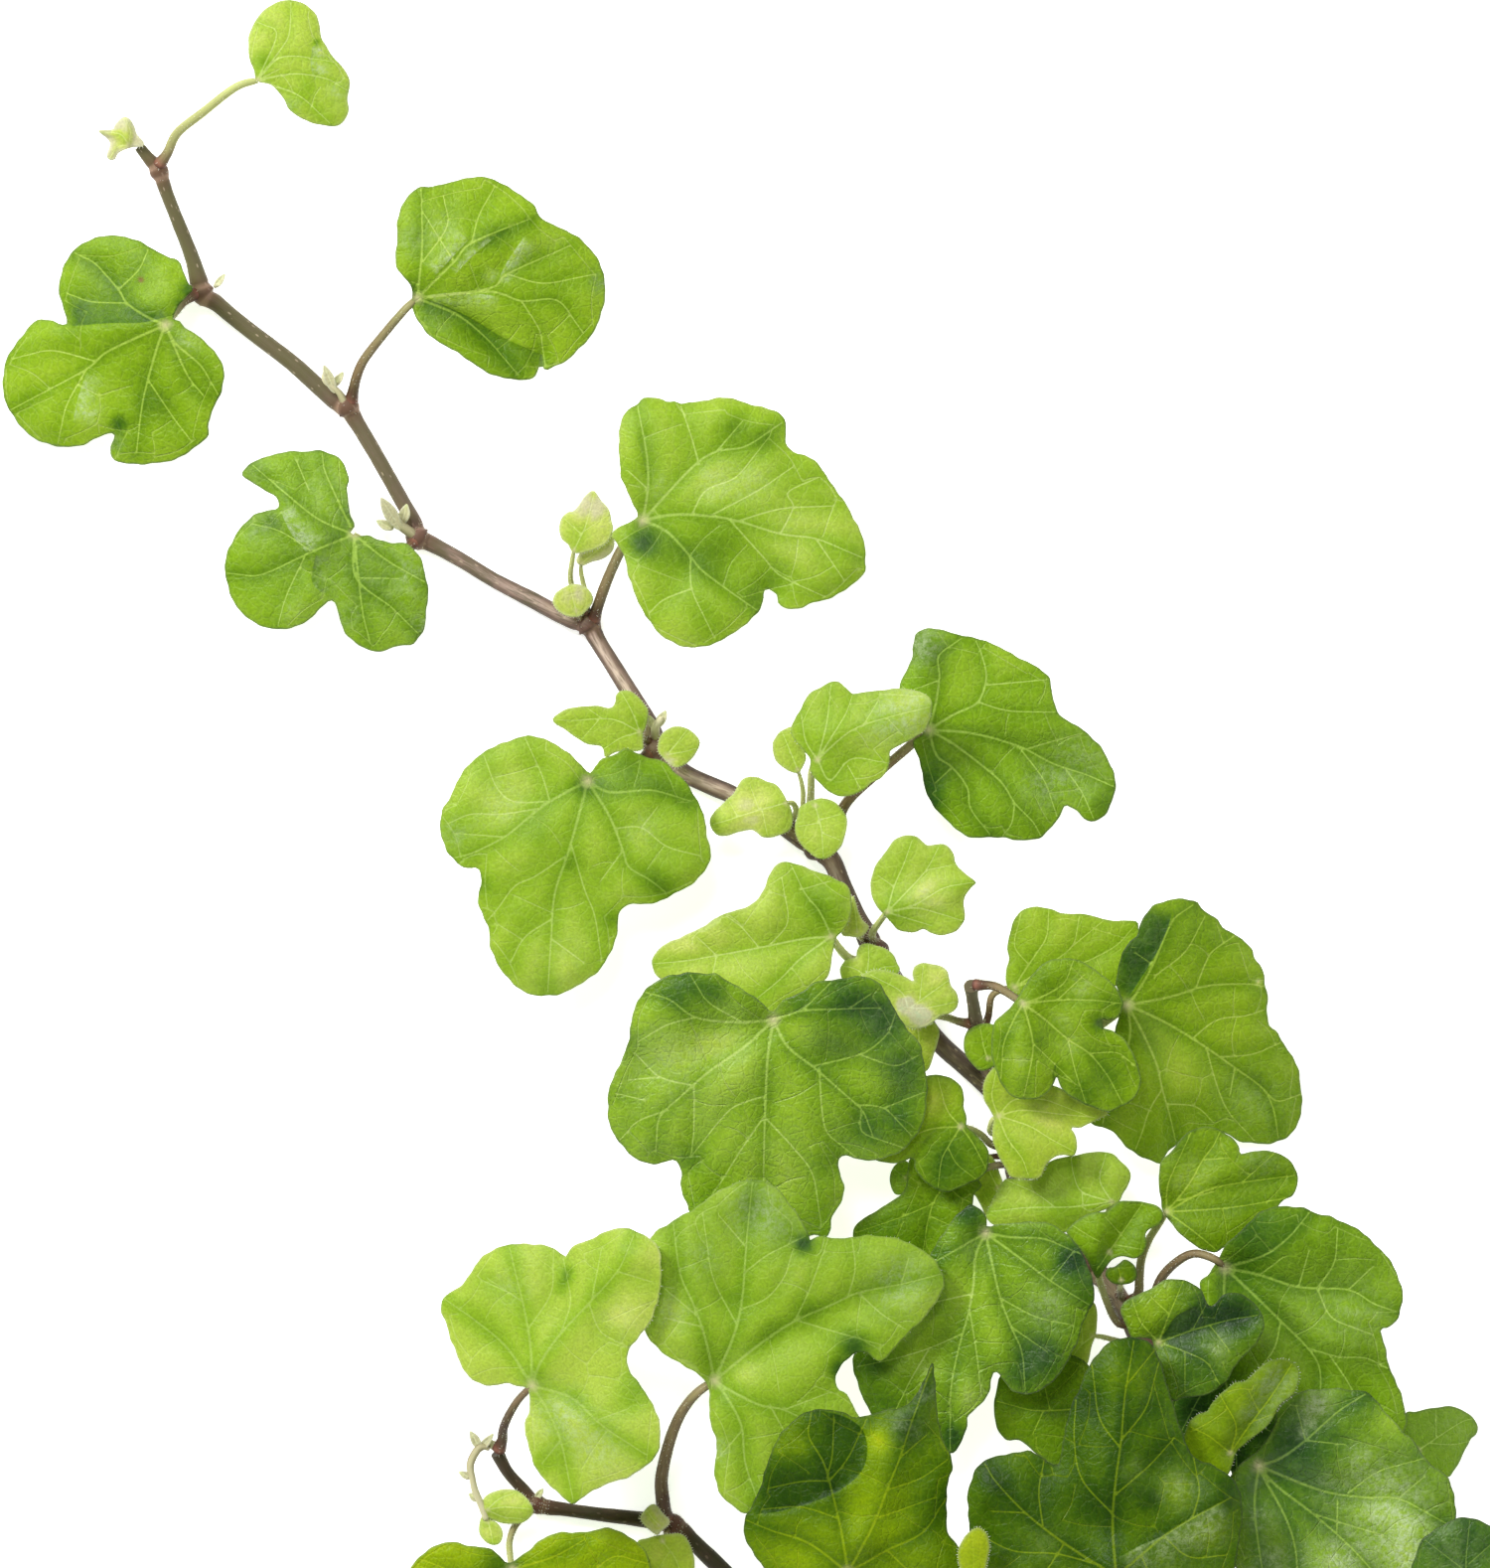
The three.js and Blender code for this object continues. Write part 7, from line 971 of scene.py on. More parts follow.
class Veins:
    """Lines with a half width at every point, kept as segments."""

    def __init__(self, lines):
        self.lines = lines
        blank = np.zeros((0, 2))
        self.starts = np.vstack([way[:-1] for way, _ in lines] or [blank])
        self.ends = np.vstack([way[1:] for way, _ in lines] or [blank])
        self.from_width = np.concatenate([half[:-1] for _, half in lines] or [[]])
        self.to_width = np.concatenate([half[1:] for _, half in lines] or [[]])

    def gap(self, points):
        return nearest(points, self.starts, self.ends)[0]

    def strength(self, points):
        """1 on a vein's middle line, falling to 0 at its sides."""
        if not self.lines:
            return np.zeros(len(points))
        gap, k, t = nearest(points, self.starts, self.ends)
        half = self.from_width[k] * (1 - t) + self.to_width[k] * t
        return (1 - gap / half).clip(0, 1)

    def sides(self, ring):
        """Points along both sides of every vein, clear of the others and of the rim."""
        found = [np.zeros((0, 3))]
        for way, half in self.lines:
            along = np.gradient(way, axis=0)
            along /= np.linalg.norm(along, axis=1)[:, None] + 1e-9
            off = np.column_stack([-along[:, 1], along[:, 0]]) * half[:, None]
            found += [np.column_stack([way + off, half]), np.column_stack([way - off, half])]
        found = np.vstack(found)
        free = self.gap(found[:, :2]) > found[:, 2] * 0.85
        free &= from_rim(found[:, :2], ring)[0] > 0.22
        return found[free, :2]


def drawn_veins(leaf, size):
    """The drawn veins, ribs from the joint first, and how many of those there are."""
    ribs, others = [], []
    for text in parts(leaf["veins"]):
        from_joint = text.startswith("*")
        way = numbers(text.replace("*", ""))
        if from_joint:
            way = np.vstack([leaf["joint"], way])
        if len(way) < 2:
            continue
        way = flow(way, VEIN_STEP)
        widths = RIB_HALF_WIDTHS if from_joint else VEIN_HALF_WIDTHS
        half = np.linspace(*widths, len(way)) * (0.3 + 0.7 * size)
        (ribs if from_joint else others).append((way, half))
    return Veins(ribs + others), len(ribs)


def drawn_folds(leaf):
    """The sharp folds: each a line, and how much painted shade, how far and how much painted sheen
    beside it.
    """
    folds = []
    for text in parts(leaf.get("folds", "")):
        line, effect = text.split(">")
        folds.append((flow(numbers(line), VEIN_STEP), [float(v) for v in effect.split()]))
    return folds


def beside(points, way, reach):
    """1 just right of a fold's line, fading over its reach; 0 on its left and at its ends."""
    gap, k, t = nearest(points, way[:-1], way[1:])
    run, off = (way[1:] - way[:-1])[k], points - way[k]
    right = run[:, 1] * off[:, 0] - run[:, 0] * off[:, 1] > 0.04
    share = (k + t) / (len(way) - 1)
    return fade(gap, reach) * right * (np.minimum(share, 1 - share) * 9).clip(0, 1)


def fold_edges(folds):
    """Both edges of the narrow step in each fold, as lines."""
    edges = []
    for way, _ in folds:
        along = np.gradient(way, axis=0)
        right = np.column_stack([along[:, 1], -along[:, 0]])
        right = right / np.linalg.norm(along, axis=1)[:, None]
        half = np.full(len(way), 0.1)
        edges += [(way, half), (way + right * FOLD_STEP, half)]
    return edges


def run_on(veins, net, ring):
    """The drawn veins, with each loose end carried on to the next vein or to the rim."""
    others = Veins(veins.lines + net.lines)
    starts = np.vstack([others.starts, ring])
    ends = np.vstack([others.ends, np.roll(ring, -1, 0)])
    lines = []
    for way, half in veins.lines:
        ahead = way[-1] - way[-min(4, len(way))]
        ahead = ahead / (np.linalg.norm(ahead) + 1e-9)
        start, end = way[-1] + ahead * 0.12, way[-1] + ahead * LOOSE_END_REACH
        met = first_crossing(start, end, starts, ends)
        if met < 1 and inside(start[None], ring)[0]:
            tip = start + (end - start) * met
            more = flow(np.array([way[-1], (way[-1] + tip) / 2, tip]), VEIN_STEP)[1:]
            way, half = np.vstack([way, more]), np.append(half, np.full(len(more), half[-1] * 0.9))
        lines.append((way, half))
    return Veins(lines)


def circle_centre(a, b, c):
    """The centre of the circle through three points."""
    (ax, ay), (bx, by), (cx, cy) = a, b, c
    d = 2 * (ax * (by - cy) + bx * (cy - ay) + cx * (ay - by)) or 1e-12
    a, b, c = ax * ax + ay * ay, bx * bx + by * by, cx * cx + cy * cy
    return ((a * (by - cy) + b * (cy - ay) + c * (ay - by)) / d,
            (a * (cx - bx) + b * (ax - cx) + c * (bx - ax)) / d)


def net_seeds(ring, veins, apart, margin, dice):
    """Points about so far apart over a blade, clear of its rim and its drawn veins."""
    low, high = ring.min(0), ring.max(0)
    tries = dice.uniform(low, high, (int(30 * np.prod(high - low) / apart**2), 2))
    tries = tries[inside(tries, ring)]
    far = (from_rim(tries, ring)[0] > margin + 0.5) & (veins.gap(tries) > apart * 0.3)
    seeds = []
    for p in tries[far]:
        if all((p[0] - q[0]) ** 2 + (p[1] - q[1]) ** 2 > apart**2 for q in seeds):
            seeds.append(p)
    return np.array(seeds)


def net_veins(ring, veins, size, dice):
    """The finer veins: a net of cells between the drawn ones, closed just inside the rim."""
    apart, margin = sized(NET_CELL, size), sized(NET_MARGIN, size)
    seeds = net_seeds(ring, veins, apart, margin, dice)
    if len(seeds) < 4:
        return Veins([])
    gap, k, t = from_rim(seeds, ring)
    foot = ring[k] + (np.roll(ring, -1, 0)[k] - ring[k]) * t[:, None]
    close = gap < apart * 1.3
    outward = (foot - seeds)[close] / gap[close, None]
    own_margin = margin * dice.uniform(0.5, 1.9, (close.sum(), 1))
    beyond = seeds[close] + outward * 2 * np.maximum(gap[close, None] - own_margin, 0.4)
    spots = [Vector(p) for p in np.vstack([seeds, beyond])]
    corners, _, faces, which, _, _ = delaunay_2d_cdt(spots, [], [], 0, 1e-7)
    corners = np.array(corners)
    hearts = np.array([circle_centre(*corners[list(face)]) for face in faces])
    sides = {}
    for number, face in enumerate(faces):
        for i in range(3):
            sides.setdefault(tuple(sorted((face[i], face[i - 1]))), []).append(number)
    lines = []
    for (i, j), pair in sorted(sides.items()):
        real = [any(n < len(seeds) for n in which[v]) for v in (i, j)]
        if len(pair) < 2 or not any(real) and dice.random() < 0.35:
            continue
        if all(real) and first_crossing(corners[i], corners[j], veins.starts, veins.ends) < 1:
            continue
        a, b = hearts[pair]
        middle = (corners[i] + corners[j]) / 2
        t = ((middle - a) @ (b - a) / max((b - a) @ (b - a), 1e-9)).clip(0.05, 0.95)
        base = a + (b - a) * t
        a = base + (a - base) * first_crossing(base, a, veins.starts, veins.ends)
        b = base + (b - base) * first_crossing(base, b, veins.starts, veins.ends)
        if not 0.5 < np.linalg.norm(b - a) < apart * 2.2:
            continue
        bow = np.array([a[1] - b[1], b[0] - a[0]]) * dice.uniform(-0.1, 0.1)
        way = flow(np.array([a, (a + b) / 2 + bow, b]), VEIN_STEP)
        room = NET_GAP_FROM_RIM[0 if any(real) else 1]
        way = way[inside(way, ring) & (from_rim(way, ring)[0] > room)]
        if len(way) > 1:
            lines.append((way, np.full(len(way), sized(NET_HALF_WIDTH, size))))
    return Veins(lines)


# ---------------------------------------------------------------- meshes

def height_of(leaf, points):
    """The height of a blade's middle surface over the sheet, as in the part's own shape."""
    off = points - leaf["joint"]
    z = leaf["rise"] + off @ leaf["tilt"] + leaf.get("cup", 0) * (off**2).sum(1) / 100
    for ax, ay, bx, by, height, width in leaf.get("creases", []):
        gap = nearest(points, np.array([[ax, ay]]), np.array([[bx, by]]))[0]
        z = z + height * fade(gap, width)
    return z


def waves(points, dice, size):
    """Slow hollows and swells over a blade."""
    z = np.zeros(len(points))
    for _ in range(5):
        angle, length, start = (dice.uniform(0, math.tau), dice.uniform(9, 19) * size,
                                dice.uniform(0, math.tau))
        across = points @ [math.cos(angle), math.sin(angle)]
        z += np.sin(across * math.tau / length + start)
    return z / 5


def set_marks(mesh, marks):
    """Gives a mesh one value or vector at every corner for each mark."""
    for mark, values in marks.items():
        values = np.asarray(values, np.float32)
        kind, key = ("FLOAT", "value") if values.ndim == 1 else ("FLOAT_VECTOR", "vector")
        mesh.attributes.new(mark, kind, "POINT").data.foreach_set(key, values.ravel())


def read_rows(data, key, width=3):
    """What every corner has under a key, one row each."""
    rows = np.zeros((len(data), width), np.float32)
    data.foreach_get(key, rows.ravel())
    return rows


def mesh_of(name, corners, faces, marks, edges=()):
    mesh = bpy.data.meshes.new(name)
    mesh.from_pydata(corners.tolist(), edges, faces)
    set_marks(mesh, marks)
    mesh.polygons.foreach_set("use_smooth", np.ones(len(mesh.polygons), bool))
    mesh.update()
    return mesh


def piece_of(name, mesh, *skins):
    piece = bpy.data.objects.new(name, mesh)
    bpy.context.scene.collection.objects.link(piece)
    for skin in skins:
        mesh.materials.append(skin)
    return piece


def joined(name, pieces):
    """Several objects made one, each keeping its own skin."""
    with bpy.context.temp_override(active_object=pieces[0], selected_editable_objects=pieces):
        bpy.ops.object.join()
    pieces[0].name = pieces[0].data.name = name
    return pieces[0]


def rim_of(drawn, dice):
    """A blade's rim, even and slightly nibbled, the way out at its points, size and fineness."""
    size = float(np.clip(math.sqrt(abs(area_of(drawn))) / FULL_LEAF, 0.3, 1.1))
    fine = 0.55 + 0.45 * min(size, 1)
    ring = flow(drawn, RIM_STEP * fine, closed=True)
    if area_of(ring) < 0:
        ring = ring[::-1]
    along = np.roll(ring, -1, 0) - np.roll(ring, 1, 0)
    outward = np.column_stack([along[:, 1], -along[:, 0]])
    outward /= np.linalg.norm(outward, axis=1)[:, None]
    turns = np.arange(len(ring)) * math.tau / len(ring)
    length = len(ring) * RIM_STEP * fine
    bites = sum(np.sin(turns * round(length / wave) + dice.uniform(0, 6)) for wave in NIBBLE_WAVES)
    return ring + outward * (bites / 3 * NIBBLE * size)[:, None], outward, size, fine


def loose_points(ring, outward, veins, edges, fine, dice):
    """Points for a blade's mesh off its lines: inside the rim, beside the veins and in rows."""
    every = Veins(veins.lines + edges)
    low, high = ring.min(0), ring.max(0)
    cell = CELL * fine
    rows = np.arange(low[1], high[1], cell * ROW)
    grid = np.array([(x, y) for i, y in enumerate(rows)
                     for x in np.arange(low[0] + i % 2 * cell / 2, high[0], cell)])
    grid = grid + dice.uniform(-0.12, 0.12, grid.shape) * cell
    grid = grid[inside(grid, ring)]
    grid = grid[(from_rim(grid, ring)[0] > cell * 0.75) & (every.gap(grid) > cell * 0.5)]
    inset = ring - outward * 0.3 * fine
    inset = inset[inside(inset, ring)]
    inset = inset[(from_rim(inset, ring)[0] > 0.22 * fine) & (every.gap(inset) > 0.15)]
    sides = veins.sides(ring)
    sides = sides[Veins(edges).gap(sides) > 0.12]
    sides = sides[inside(sides, ring)]
    return [*inset, *sides, *grid]


def flat_mesh(ring, lines, loose):
    """A flat blade cut into triangles along its lines: its corners, faces and border."""
    spots, wires = [*ring], []
    for way, _ in lines:
        way = way[inside(way, ring) & (from_rim(way, ring)[0] > 0.05)]
        wires += [(len(spots) + i, len(spots) + i + 1) for i in range(len(way) - 1)]
        spots += [*way]
    outline = [list(range(len(ring)))]
    found = delaunay_2d_cdt([Vector(p) for p in spots + loose], wires, outline, 1, 1e-3)
    flat, faces = np.array([tuple(p) for p in found[0]]), np.array(found[2])
    corners = flat[faces]
    u, v = corners[:, 1] - corners[:, 0], corners[:, 2] - corners[:, 0]
    turned = u[:, 0] * v[:, 1] - u[:, 1] * v[:, 0] < 0
    faces[turned] = faces[turned, ::-1]
    faces = faces.tolist()
    sides = dict.fromkeys((f[i], f[(i + 1) % 3]) for f in faces for i in range(3))
    return flat, faces, [(a, b) for a, b in sides if (b, a) not in sides]


def tone_of(leaf, points):
    """How dark a blade is painted at each point, partly with painted shade, and how much painted
    sheen it has.
    """
    tone = np.full(len(points), TONES[leaf["tone"]] + leaf.get("shade", 0.0))
    milk = np.zeros(len(points))
    for text in parts(leaf.get("tints", "")):
        x, y, radius, darker, *sheen_given = (float(v) for v in text.split(","))
        near = spot(points, [x, y], radius)
        tone += TINT_STRENGTH * darker * near
        milk += (sheen_given[0] if sheen_given else 0) * near
    return tone, milk.clip(0, 1)


def blade(name, leaf, skin, thickness=BLADE_THICKNESS, netted=True):
    """A thin closed leaf blade, grooved along its veins and quilted between them."""
    dice = np.random.default_rng(zlib.crc32(name.encode()))
    ring, outward, size, fine = rim_of(leaf["rim"], dice)
    veins, rib_count = drawn_veins(leaf, size)
    netted = netted and size > SMALLEST_NETTED
    net = net_veins(ring, veins, size, dice) if netted else Veins([])
    veins = run_on(veins, net, ring)
    both_veins = Veins(veins.lines + net.lines)
    folds = drawn_folds(leaf)
    edges = fold_edges(folds)
    loose = loose_points(ring, outward, both_veins, edges, fine, dice)
    flat, faces, border = flat_mesh(ring, both_veins.lines + edges, loose)

    gap, k, _ = from_rim(flat, ring)
    gap[[a for a, _ in border]] = 0
    main, lace = veins.strength(flat), net.strength(flat)
    vein_gap, rib_gap = veins.gap(flat), Veins(veins.lines[:rib_count]).gap(flat)
    room = 1 - fade(gap, 1.6)
    z = height_of(leaf, flat) + waves(flat, dice, 0.5 + 0.5 * size) * SWELL * size * room
    z += QUILT * size * room * (1 - fade(vein_gap, 2.0 * size))
    z += NET_QUILT * size * room * (1 - fade(net.gap(flat), 1.1))
    z -= RIM_DROP * size * fade(gap, 1.5 * size)
    folded = [(beside(flat, way, reach), darker, more_sheen)
              for way, (darker, reach, more_sheen) in folds]
    z -= sum(FOLD_DEPTH * darker * share for share, darker, _ in folded) * room
    thick = thickness * (0.35 + 0.65 * (1 - fade(gap, 0.7)))
    z = np.maximum(z, thick / 2 + RIDGE + TABLE_GAP)
    upper = lay(flat, z)
    lower = upper.copy()
    upper[:, 2] += (thick / 2 - GROOVE * size * np.minimum(main * 1.4, 1) * room) * MM
    lower[:, 2] -= (thick / 2 + RIDGE * size * main * room) * MM
    n = len(flat)
    shell = (faces + [[c + n, b + n, a + n] for a, b, c in faces]
             + [[b, a, a + n, b + n] for a, b in border])

    # tone: how dark, partly painted shade. The sheen mark: a painted highlight. vein, lace: on a
    # drawn
    # vein, on the net. rim, heart: at the edge, at the joint. warm, clear: how yellow, how plain
    # its veins
    # are. down: bears hairs.
    tone, milk = tone_of(leaf, flat)
    # Painted shade in the hollows beside the veins, and painted light on the swells between them.
    puff = 1 - fade(vein_gap, 1.9 * size)
    tone = tone + (0.07 - 0.12 * puff + 0.1 * fade(rib_gap, 1.1 * size)) * size
    # Painted shade on one side of each sharp fold, and painted sheen there.
    for share, darker, more_sheen in folded:
        tone, milk = tone + darker * share, milk + more_sheen * share
    milk = milk.clip(0, 1) * (1 - 0.7 * fade(rib_gap, 0.4))
    fleck = sum((spot(flat, at[:2], at[2]) for at in leaf.get("flecks", [])), np.zeros(n))
    heart = spot(flat, leaf["joint"], 0.55 * size + 0.12)
    marks = {"tone": tone, "milk": milk, "vein": main, "lace": lace, "rim": fade(gap, 0.32),
             "heart": heart, "warm": np.full(n, leaf.get("warm", 0.0)),
             "clear": np.full(n, leaf.get("clear", 1.0)), "down": gap < 0.05, "fleck": fleck}
    marks = {mark: np.tile(values, 2) for mark, values in marks.items()}
    marks["under"] = np.repeat([0, 1], n)
    marks["lean"] = np.column_stack([np.tile(outward[k], (2, 1)), np.repeat([0.25, -0.4], n)])
    return piece_of(name, mesh_of(name, np.vstack([upper, lower]), shell, marks), skin)


def bract(name, x0, y0, x1, y1, width, height):
    """A little pointed leaf folded round a bud."""
    way = np.array([x1 - x0, y1 - y0])
    side = np.array([-way[1], way[0]]) / np.linalg.norm(way) * width / 2
    shape = [(0, 0.3), (0.25, 0.85), (0.5, 1), (0.75, 0.7), (0.93, 0.25), (1, 0)]
    there = [np.array([x0, y0]) + way * t + side * s for t, s in shape]
    back = [np.array([x0, y0]) + way * t - side * s for t, s in shape[:-1][::-1]]
    leaf = {"tone": "cream", "joint": (x0, y0), "rise": height - 0.3, "tilt": way * 0.06,
            "cup": 2.0, "shade": -0.06, "creases": [(x0, y0, x1, y1, -0.35, width / 3)],
            "rim": np.array(there + back), "tints": f"{x1},{y1},0.8,0.05",
            "veins": f"*{x0 + way[0] * 0.8:.2f},{y0 + way[1] * 0.8:.2f}"}
    return blade(name, leaf, SKINS["young"], thickness=0.3, netted=False)


def bracts(name):
    return [bract(f"{name}_bract_{i}", *sizes) for i, sizes in enumerate(BRACTS[name])]


# ---------------------------------------------------------------- node trees

def paint(code):
    """A colour written as in a paint chart, as light values."""
    levels = [int(code[i:i + 2], 16) / 255 for i in (0, 2, 4)]
    return (*(c / 12.92 if c <= 0.04045 else ((c + 0.055) / 1.055) ** 2.4 for c in levels), 1.0)


class Bench:
    """A node tree under construction. What its methods return can go into another's socket."""

    def __init__(self, tree):
        self.tree = tree

    def add(self, kind, values=None, output=0, **settings):
        node = self.tree.nodes.new(kind)
        node.location = (len(self.tree.nodes) * 180, 0)
        for key, value in settings.items():
            setattr(node, key, value)
        for key, value in (values or {}).items():
            if isinstance(value, bpy.types.NodeSocket):
                self.tree.links.new(value, node.inputs[key])
            else:
                node.inputs[key].default_value = value
        return node.outputs[output] if node.outputs else node

    def math(self, operation, a, b=0.0, clamp=False):
        return self.add("ShaderNodeMath", {0: a, 1: b}, operation=operation, use_clamp=clamp)

    def times(self, a, b, clamp=False):
        return self.math("MULTIPLY", a, b, clamp=clamp)

    def plus(self, a, b, clamp=False):
        return self.math("ADD", a, b, clamp=clamp)

    def swing(self, value, amount):
        """A value about a half turned into one about nothing, as strong as the amount."""
        return self.times(self.math("SUBTRACT", value, 0.5), amount)

    def span(self, value, from_low, from_high, to_low=0.0, to_high=1.0):
        """A value stretched from one range to another, and held inside it."""
        ends = {1: from_low, 2: from_high, 3: to_low, 4: to_high}
        return self.add("ShaderNodeMapRange", {0: value, **ends})

    def blend(self, share, a, b, blend_type="MIX"):
        return self.add("ShaderNodeMix", {0: share, 6: a, 7: b}, 2, data_type="RGBA",
                        blend_type=blend_type)

    def move(self, a, b):
        return self.add("ShaderNodeVectorMath", {0: a, 1: b}, operation="ADD")

    def stretch(self, a, scale):
        return self.add("ShaderNodeVectorMath", {0: a, "Scale": scale}, operation="SCALE")

    def where(self):
        """The place on the piece."""
        return self.add("ShaderNodeTexCoord", output="Object")

    def mark(self, name, output="Fac"):
        """A mark that the mesh carries at its corners, read by a shader."""
        return self.add("ShaderNodeAttribute", output=output, attribute_name=name)

    def carried(self, name, kind="FLOAT"):
        """The same, read by a geometry tree."""
        return self.add("GeometryNodeInputNamedAttribute", {0: name}, data_type=kind)

    def carry(self, shape, name, key, value, kind="FLOAT"):
        """The shape with a mark set at its points."""
        return self.add("GeometryNodeStoreNamedAttribute",
                        {"Geometry": shape, "Name": name, key: value}, data_type=kind,
                        domain="POINT")

    def ramp(self, share, stops, reach=1.0):
        """The colour at a share of the way along the stops, whose places run up to reach."""
        share = self.times(share, 1 / reach) if reach != 1 else share
        colour_there = self.add("ShaderNodeValToRGB", {0: share})
        steps = colour_there.node.color_ramp.elements
        while len(steps) < len(stops):
            steps.new(0.5)
        for step, (at, colour) in zip(steps, stops):
            step.position, step.color = at / reach, paint(colour)
        return colour_there

    def texture(self, where, scale, detail=2.0, roughness=0.5, output=0):
        values = {"Vector": where, "Scale": scale, "Detail": detail, "Roughness": roughness}
        return self.add("ShaderNodeTexNoise", values, output)

    def noise(self, where, grain, detail=2.0, roughness=0.5):
        """Noise from 0 to 1 whose blots are about grain millimetres across."""
        return self.texture(where, 1000 / grain, detail, roughness)

    def bump(self, height, strength, depth):
        values = {"Strength": strength, "Distance": depth, "Height": height}
        return self.add("ShaderNodeBump", values)

    def send(self, value, socket):
        self.tree.links.new(value, socket)

    def realize(self, shape, skin, result):
        """Ends a geometry tree: its shape made real, with its skin."""
        shape = self.add("GeometryNodeRealizeInstances", {0: shape})
        shape = self.add("GeometryNodeSetMaterial", {"Geometry": shape, "Material": skin})
        self.send(shape, result)


def group_with(name, kind, inputs, outputs):
    """An empty node group with named sockets: its tree, its bench, what it is given and gives."""
    tree = bpy.data.node_groups.new(name, kind)
    for label, (socket, default) in inputs.items():
        made = tree.interface.new_socket(label, in_out="INPUT", socket_type="NodeSocket" + socket)
        if default is not None:
            made.default_value = default
    for label, socket in outputs.items():
        tree.interface.new_socket(label, in_out="OUTPUT", socket_type="NodeSocket" + socket)
    entry, leave = tree.nodes.new("NodeGroupInput"), tree.nodes.new("NodeGroupOutput")
    return tree, Bench(tree), entry.outputs, leave.inputs


def run_tree(tree, piece, values):
    """Runs a geometry tree over a piece and keeps the result as its plain mesh."""
    modifier = piece.modifiers.new(tree.name, "NODES")
    modifier.node_group = tree
    for item in tree.interface.items_tree:
        if item.item_type == "SOCKET" and item.in_out == "INPUT" and item.name in values:
            modifier[item.identifier] = values[item.name]
    graph = bpy.context.evaluated_depsgraph_get()
    mesh = bpy.data.meshes.new_from_object(piece.evaluated_get(graph), depsgraph=graph)
    piece.modifiers.clear()
    old, piece.data = piece.data, mesh
    bpy.data.meshes.remove(old)
    return piece


def round_shoot_tree():
    """Sweeps a circle along a drawn line, as thick as the line says, with fine ridges."""
    tree, b, given, result = group_with(
        "round_shoot", "GeometryNodeTree",
        {"Line": ("Geometry", None), "Sides": ("Int", 10), "Ridge Height": ("Float", 0.0),
         "Ridge Seed": ("Float", 0.0), "Skin": ("Material", None)},
        {"Shoot": "Geometry"})
    line = b.add("GeometryNodeMeshToCurve", {0: given["Line"]})
    line = b.carry(line, "along", "Value", b.add("GeometryNodeSplineParameter", output="Length"))
    round_line = {"Resolution": given["Sides"], "Radius": 1.0}
    circle = b.add("GeometryNodeCurvePrimitiveCircle", round_line)
    circle = b.carry(circle, "around", 3, b.add("GeometryNodeInputPosition"), "FLOAT_VECTOR")
    shoot = b.add("GeometryNodeCurveToMesh", {0: line, 1: circle, 2: b.carried("thick"), 3: True})
    stretched = b.add("ShaderNodeCombineXYZ", {0: b.times(b.carried("along"), 160.0),
                                               1: given["Ridge Seed"]})
    ridges = b.texture(b.move(b.carried("around", "FLOAT_VECTOR"), stretched), 2.2)
    lift = b.swing(ridges, given["Ridge Height"])
    offset = b.stretch(b.add("GeometryNodeInputNormal"), lift)
    shoot = b.add("GeometryNodeSetPosition", {"Geometry": shoot, "Offset": offset})
    shoot = b.add("GeometryNodeSetShadeSmooth", {"Geometry": shoot})
    b.realize(shoot, given["Skin"], result[0])
    return tree


def hair_tree():
    """Stands a thin tapered hair on every marked root, leaning the way the root says."""
    tree, b, given, result = group_with(
        "soft_hairs", "GeometryNodeTree",
        {"Roots": ("Geometry", None), "Hair Width": ("Float", 0.00004), "Skin": ("Material", None)},
        {"Hairs": "Geometry"})
    cone = b.add("GeometryNodeMeshCone", {0: 3, 3: 0.0, 4: given["Hair Width"], 5: 1.0})
    lean = b.carried("lean", "FLOAT_VECTOR")
    turn = b.add("FunctionNodeAlignRotationToVector", {"Vector": lean}, axis="Z")
    scale = b.add("ShaderNodeCombineXYZ", {0: 1.0, 1: 1.0, 2: b.carried("reach")})
    hairs = b.add("GeometryNodeInstanceOnPoints", {0: given["Roots"], 2: cone, 5: turn, 6: scale})
    b.realize(hairs, given["Skin"], result[0])
    return tree


ROUND_SHOOT, SOFT_HAIRS = round_shoot_tree(), hair_tree()


def shoot(name, way, skin, sides, ridge, marks):
    """A round stem, stalk or bud along a line of x, y, height and radius."""
    edges = [(i, i + 1) for i in range(len(way) - 1)]
    marks = {"thick": way[:, 3] * MM, **marks}
    piece = piece_of(name, mesh_of(name, lay(way[:, :2], way[:, 2]), [], marks, edges))
    seed = float(zlib.crc32(name.encode()) % 97)
    run_tree(ROUND_SHOOT, piece, {"Sides": sides, "Ridge Height": ridge * MM, "Ridge Seed": seed,
                                  "Skin": skin})
    up = read_rows(piece.data.vertices, "normal")
    # Painted shade on the sides of a stem that turn away from above.
    flank = ((0.92 - up[:, 2]) / 0.6).clip(0, 1)
    # A painted highlight on the side of a stem turned to the lamp.
    crown = ((up @ np.float32(LIT_SIDE_WAY) - 0.78) / 0.17).clip(0, 1)
    set_marks(piece.data, {"flank": flank, "crown": crown})
    return piece


def rounded_end(way):
    """The same line with its last radius drawn in to a blunt tip."""
    left = np.linalg.norm(way[:, :3] - way[-1, :3], axis=1)
    way = way.copy()
    way[:, 3] *= np.sqrt(1 - (1 - (left / BLUNT_TIP).clip(0, 1)) ** 2).clip(0.12, 1)
    return way


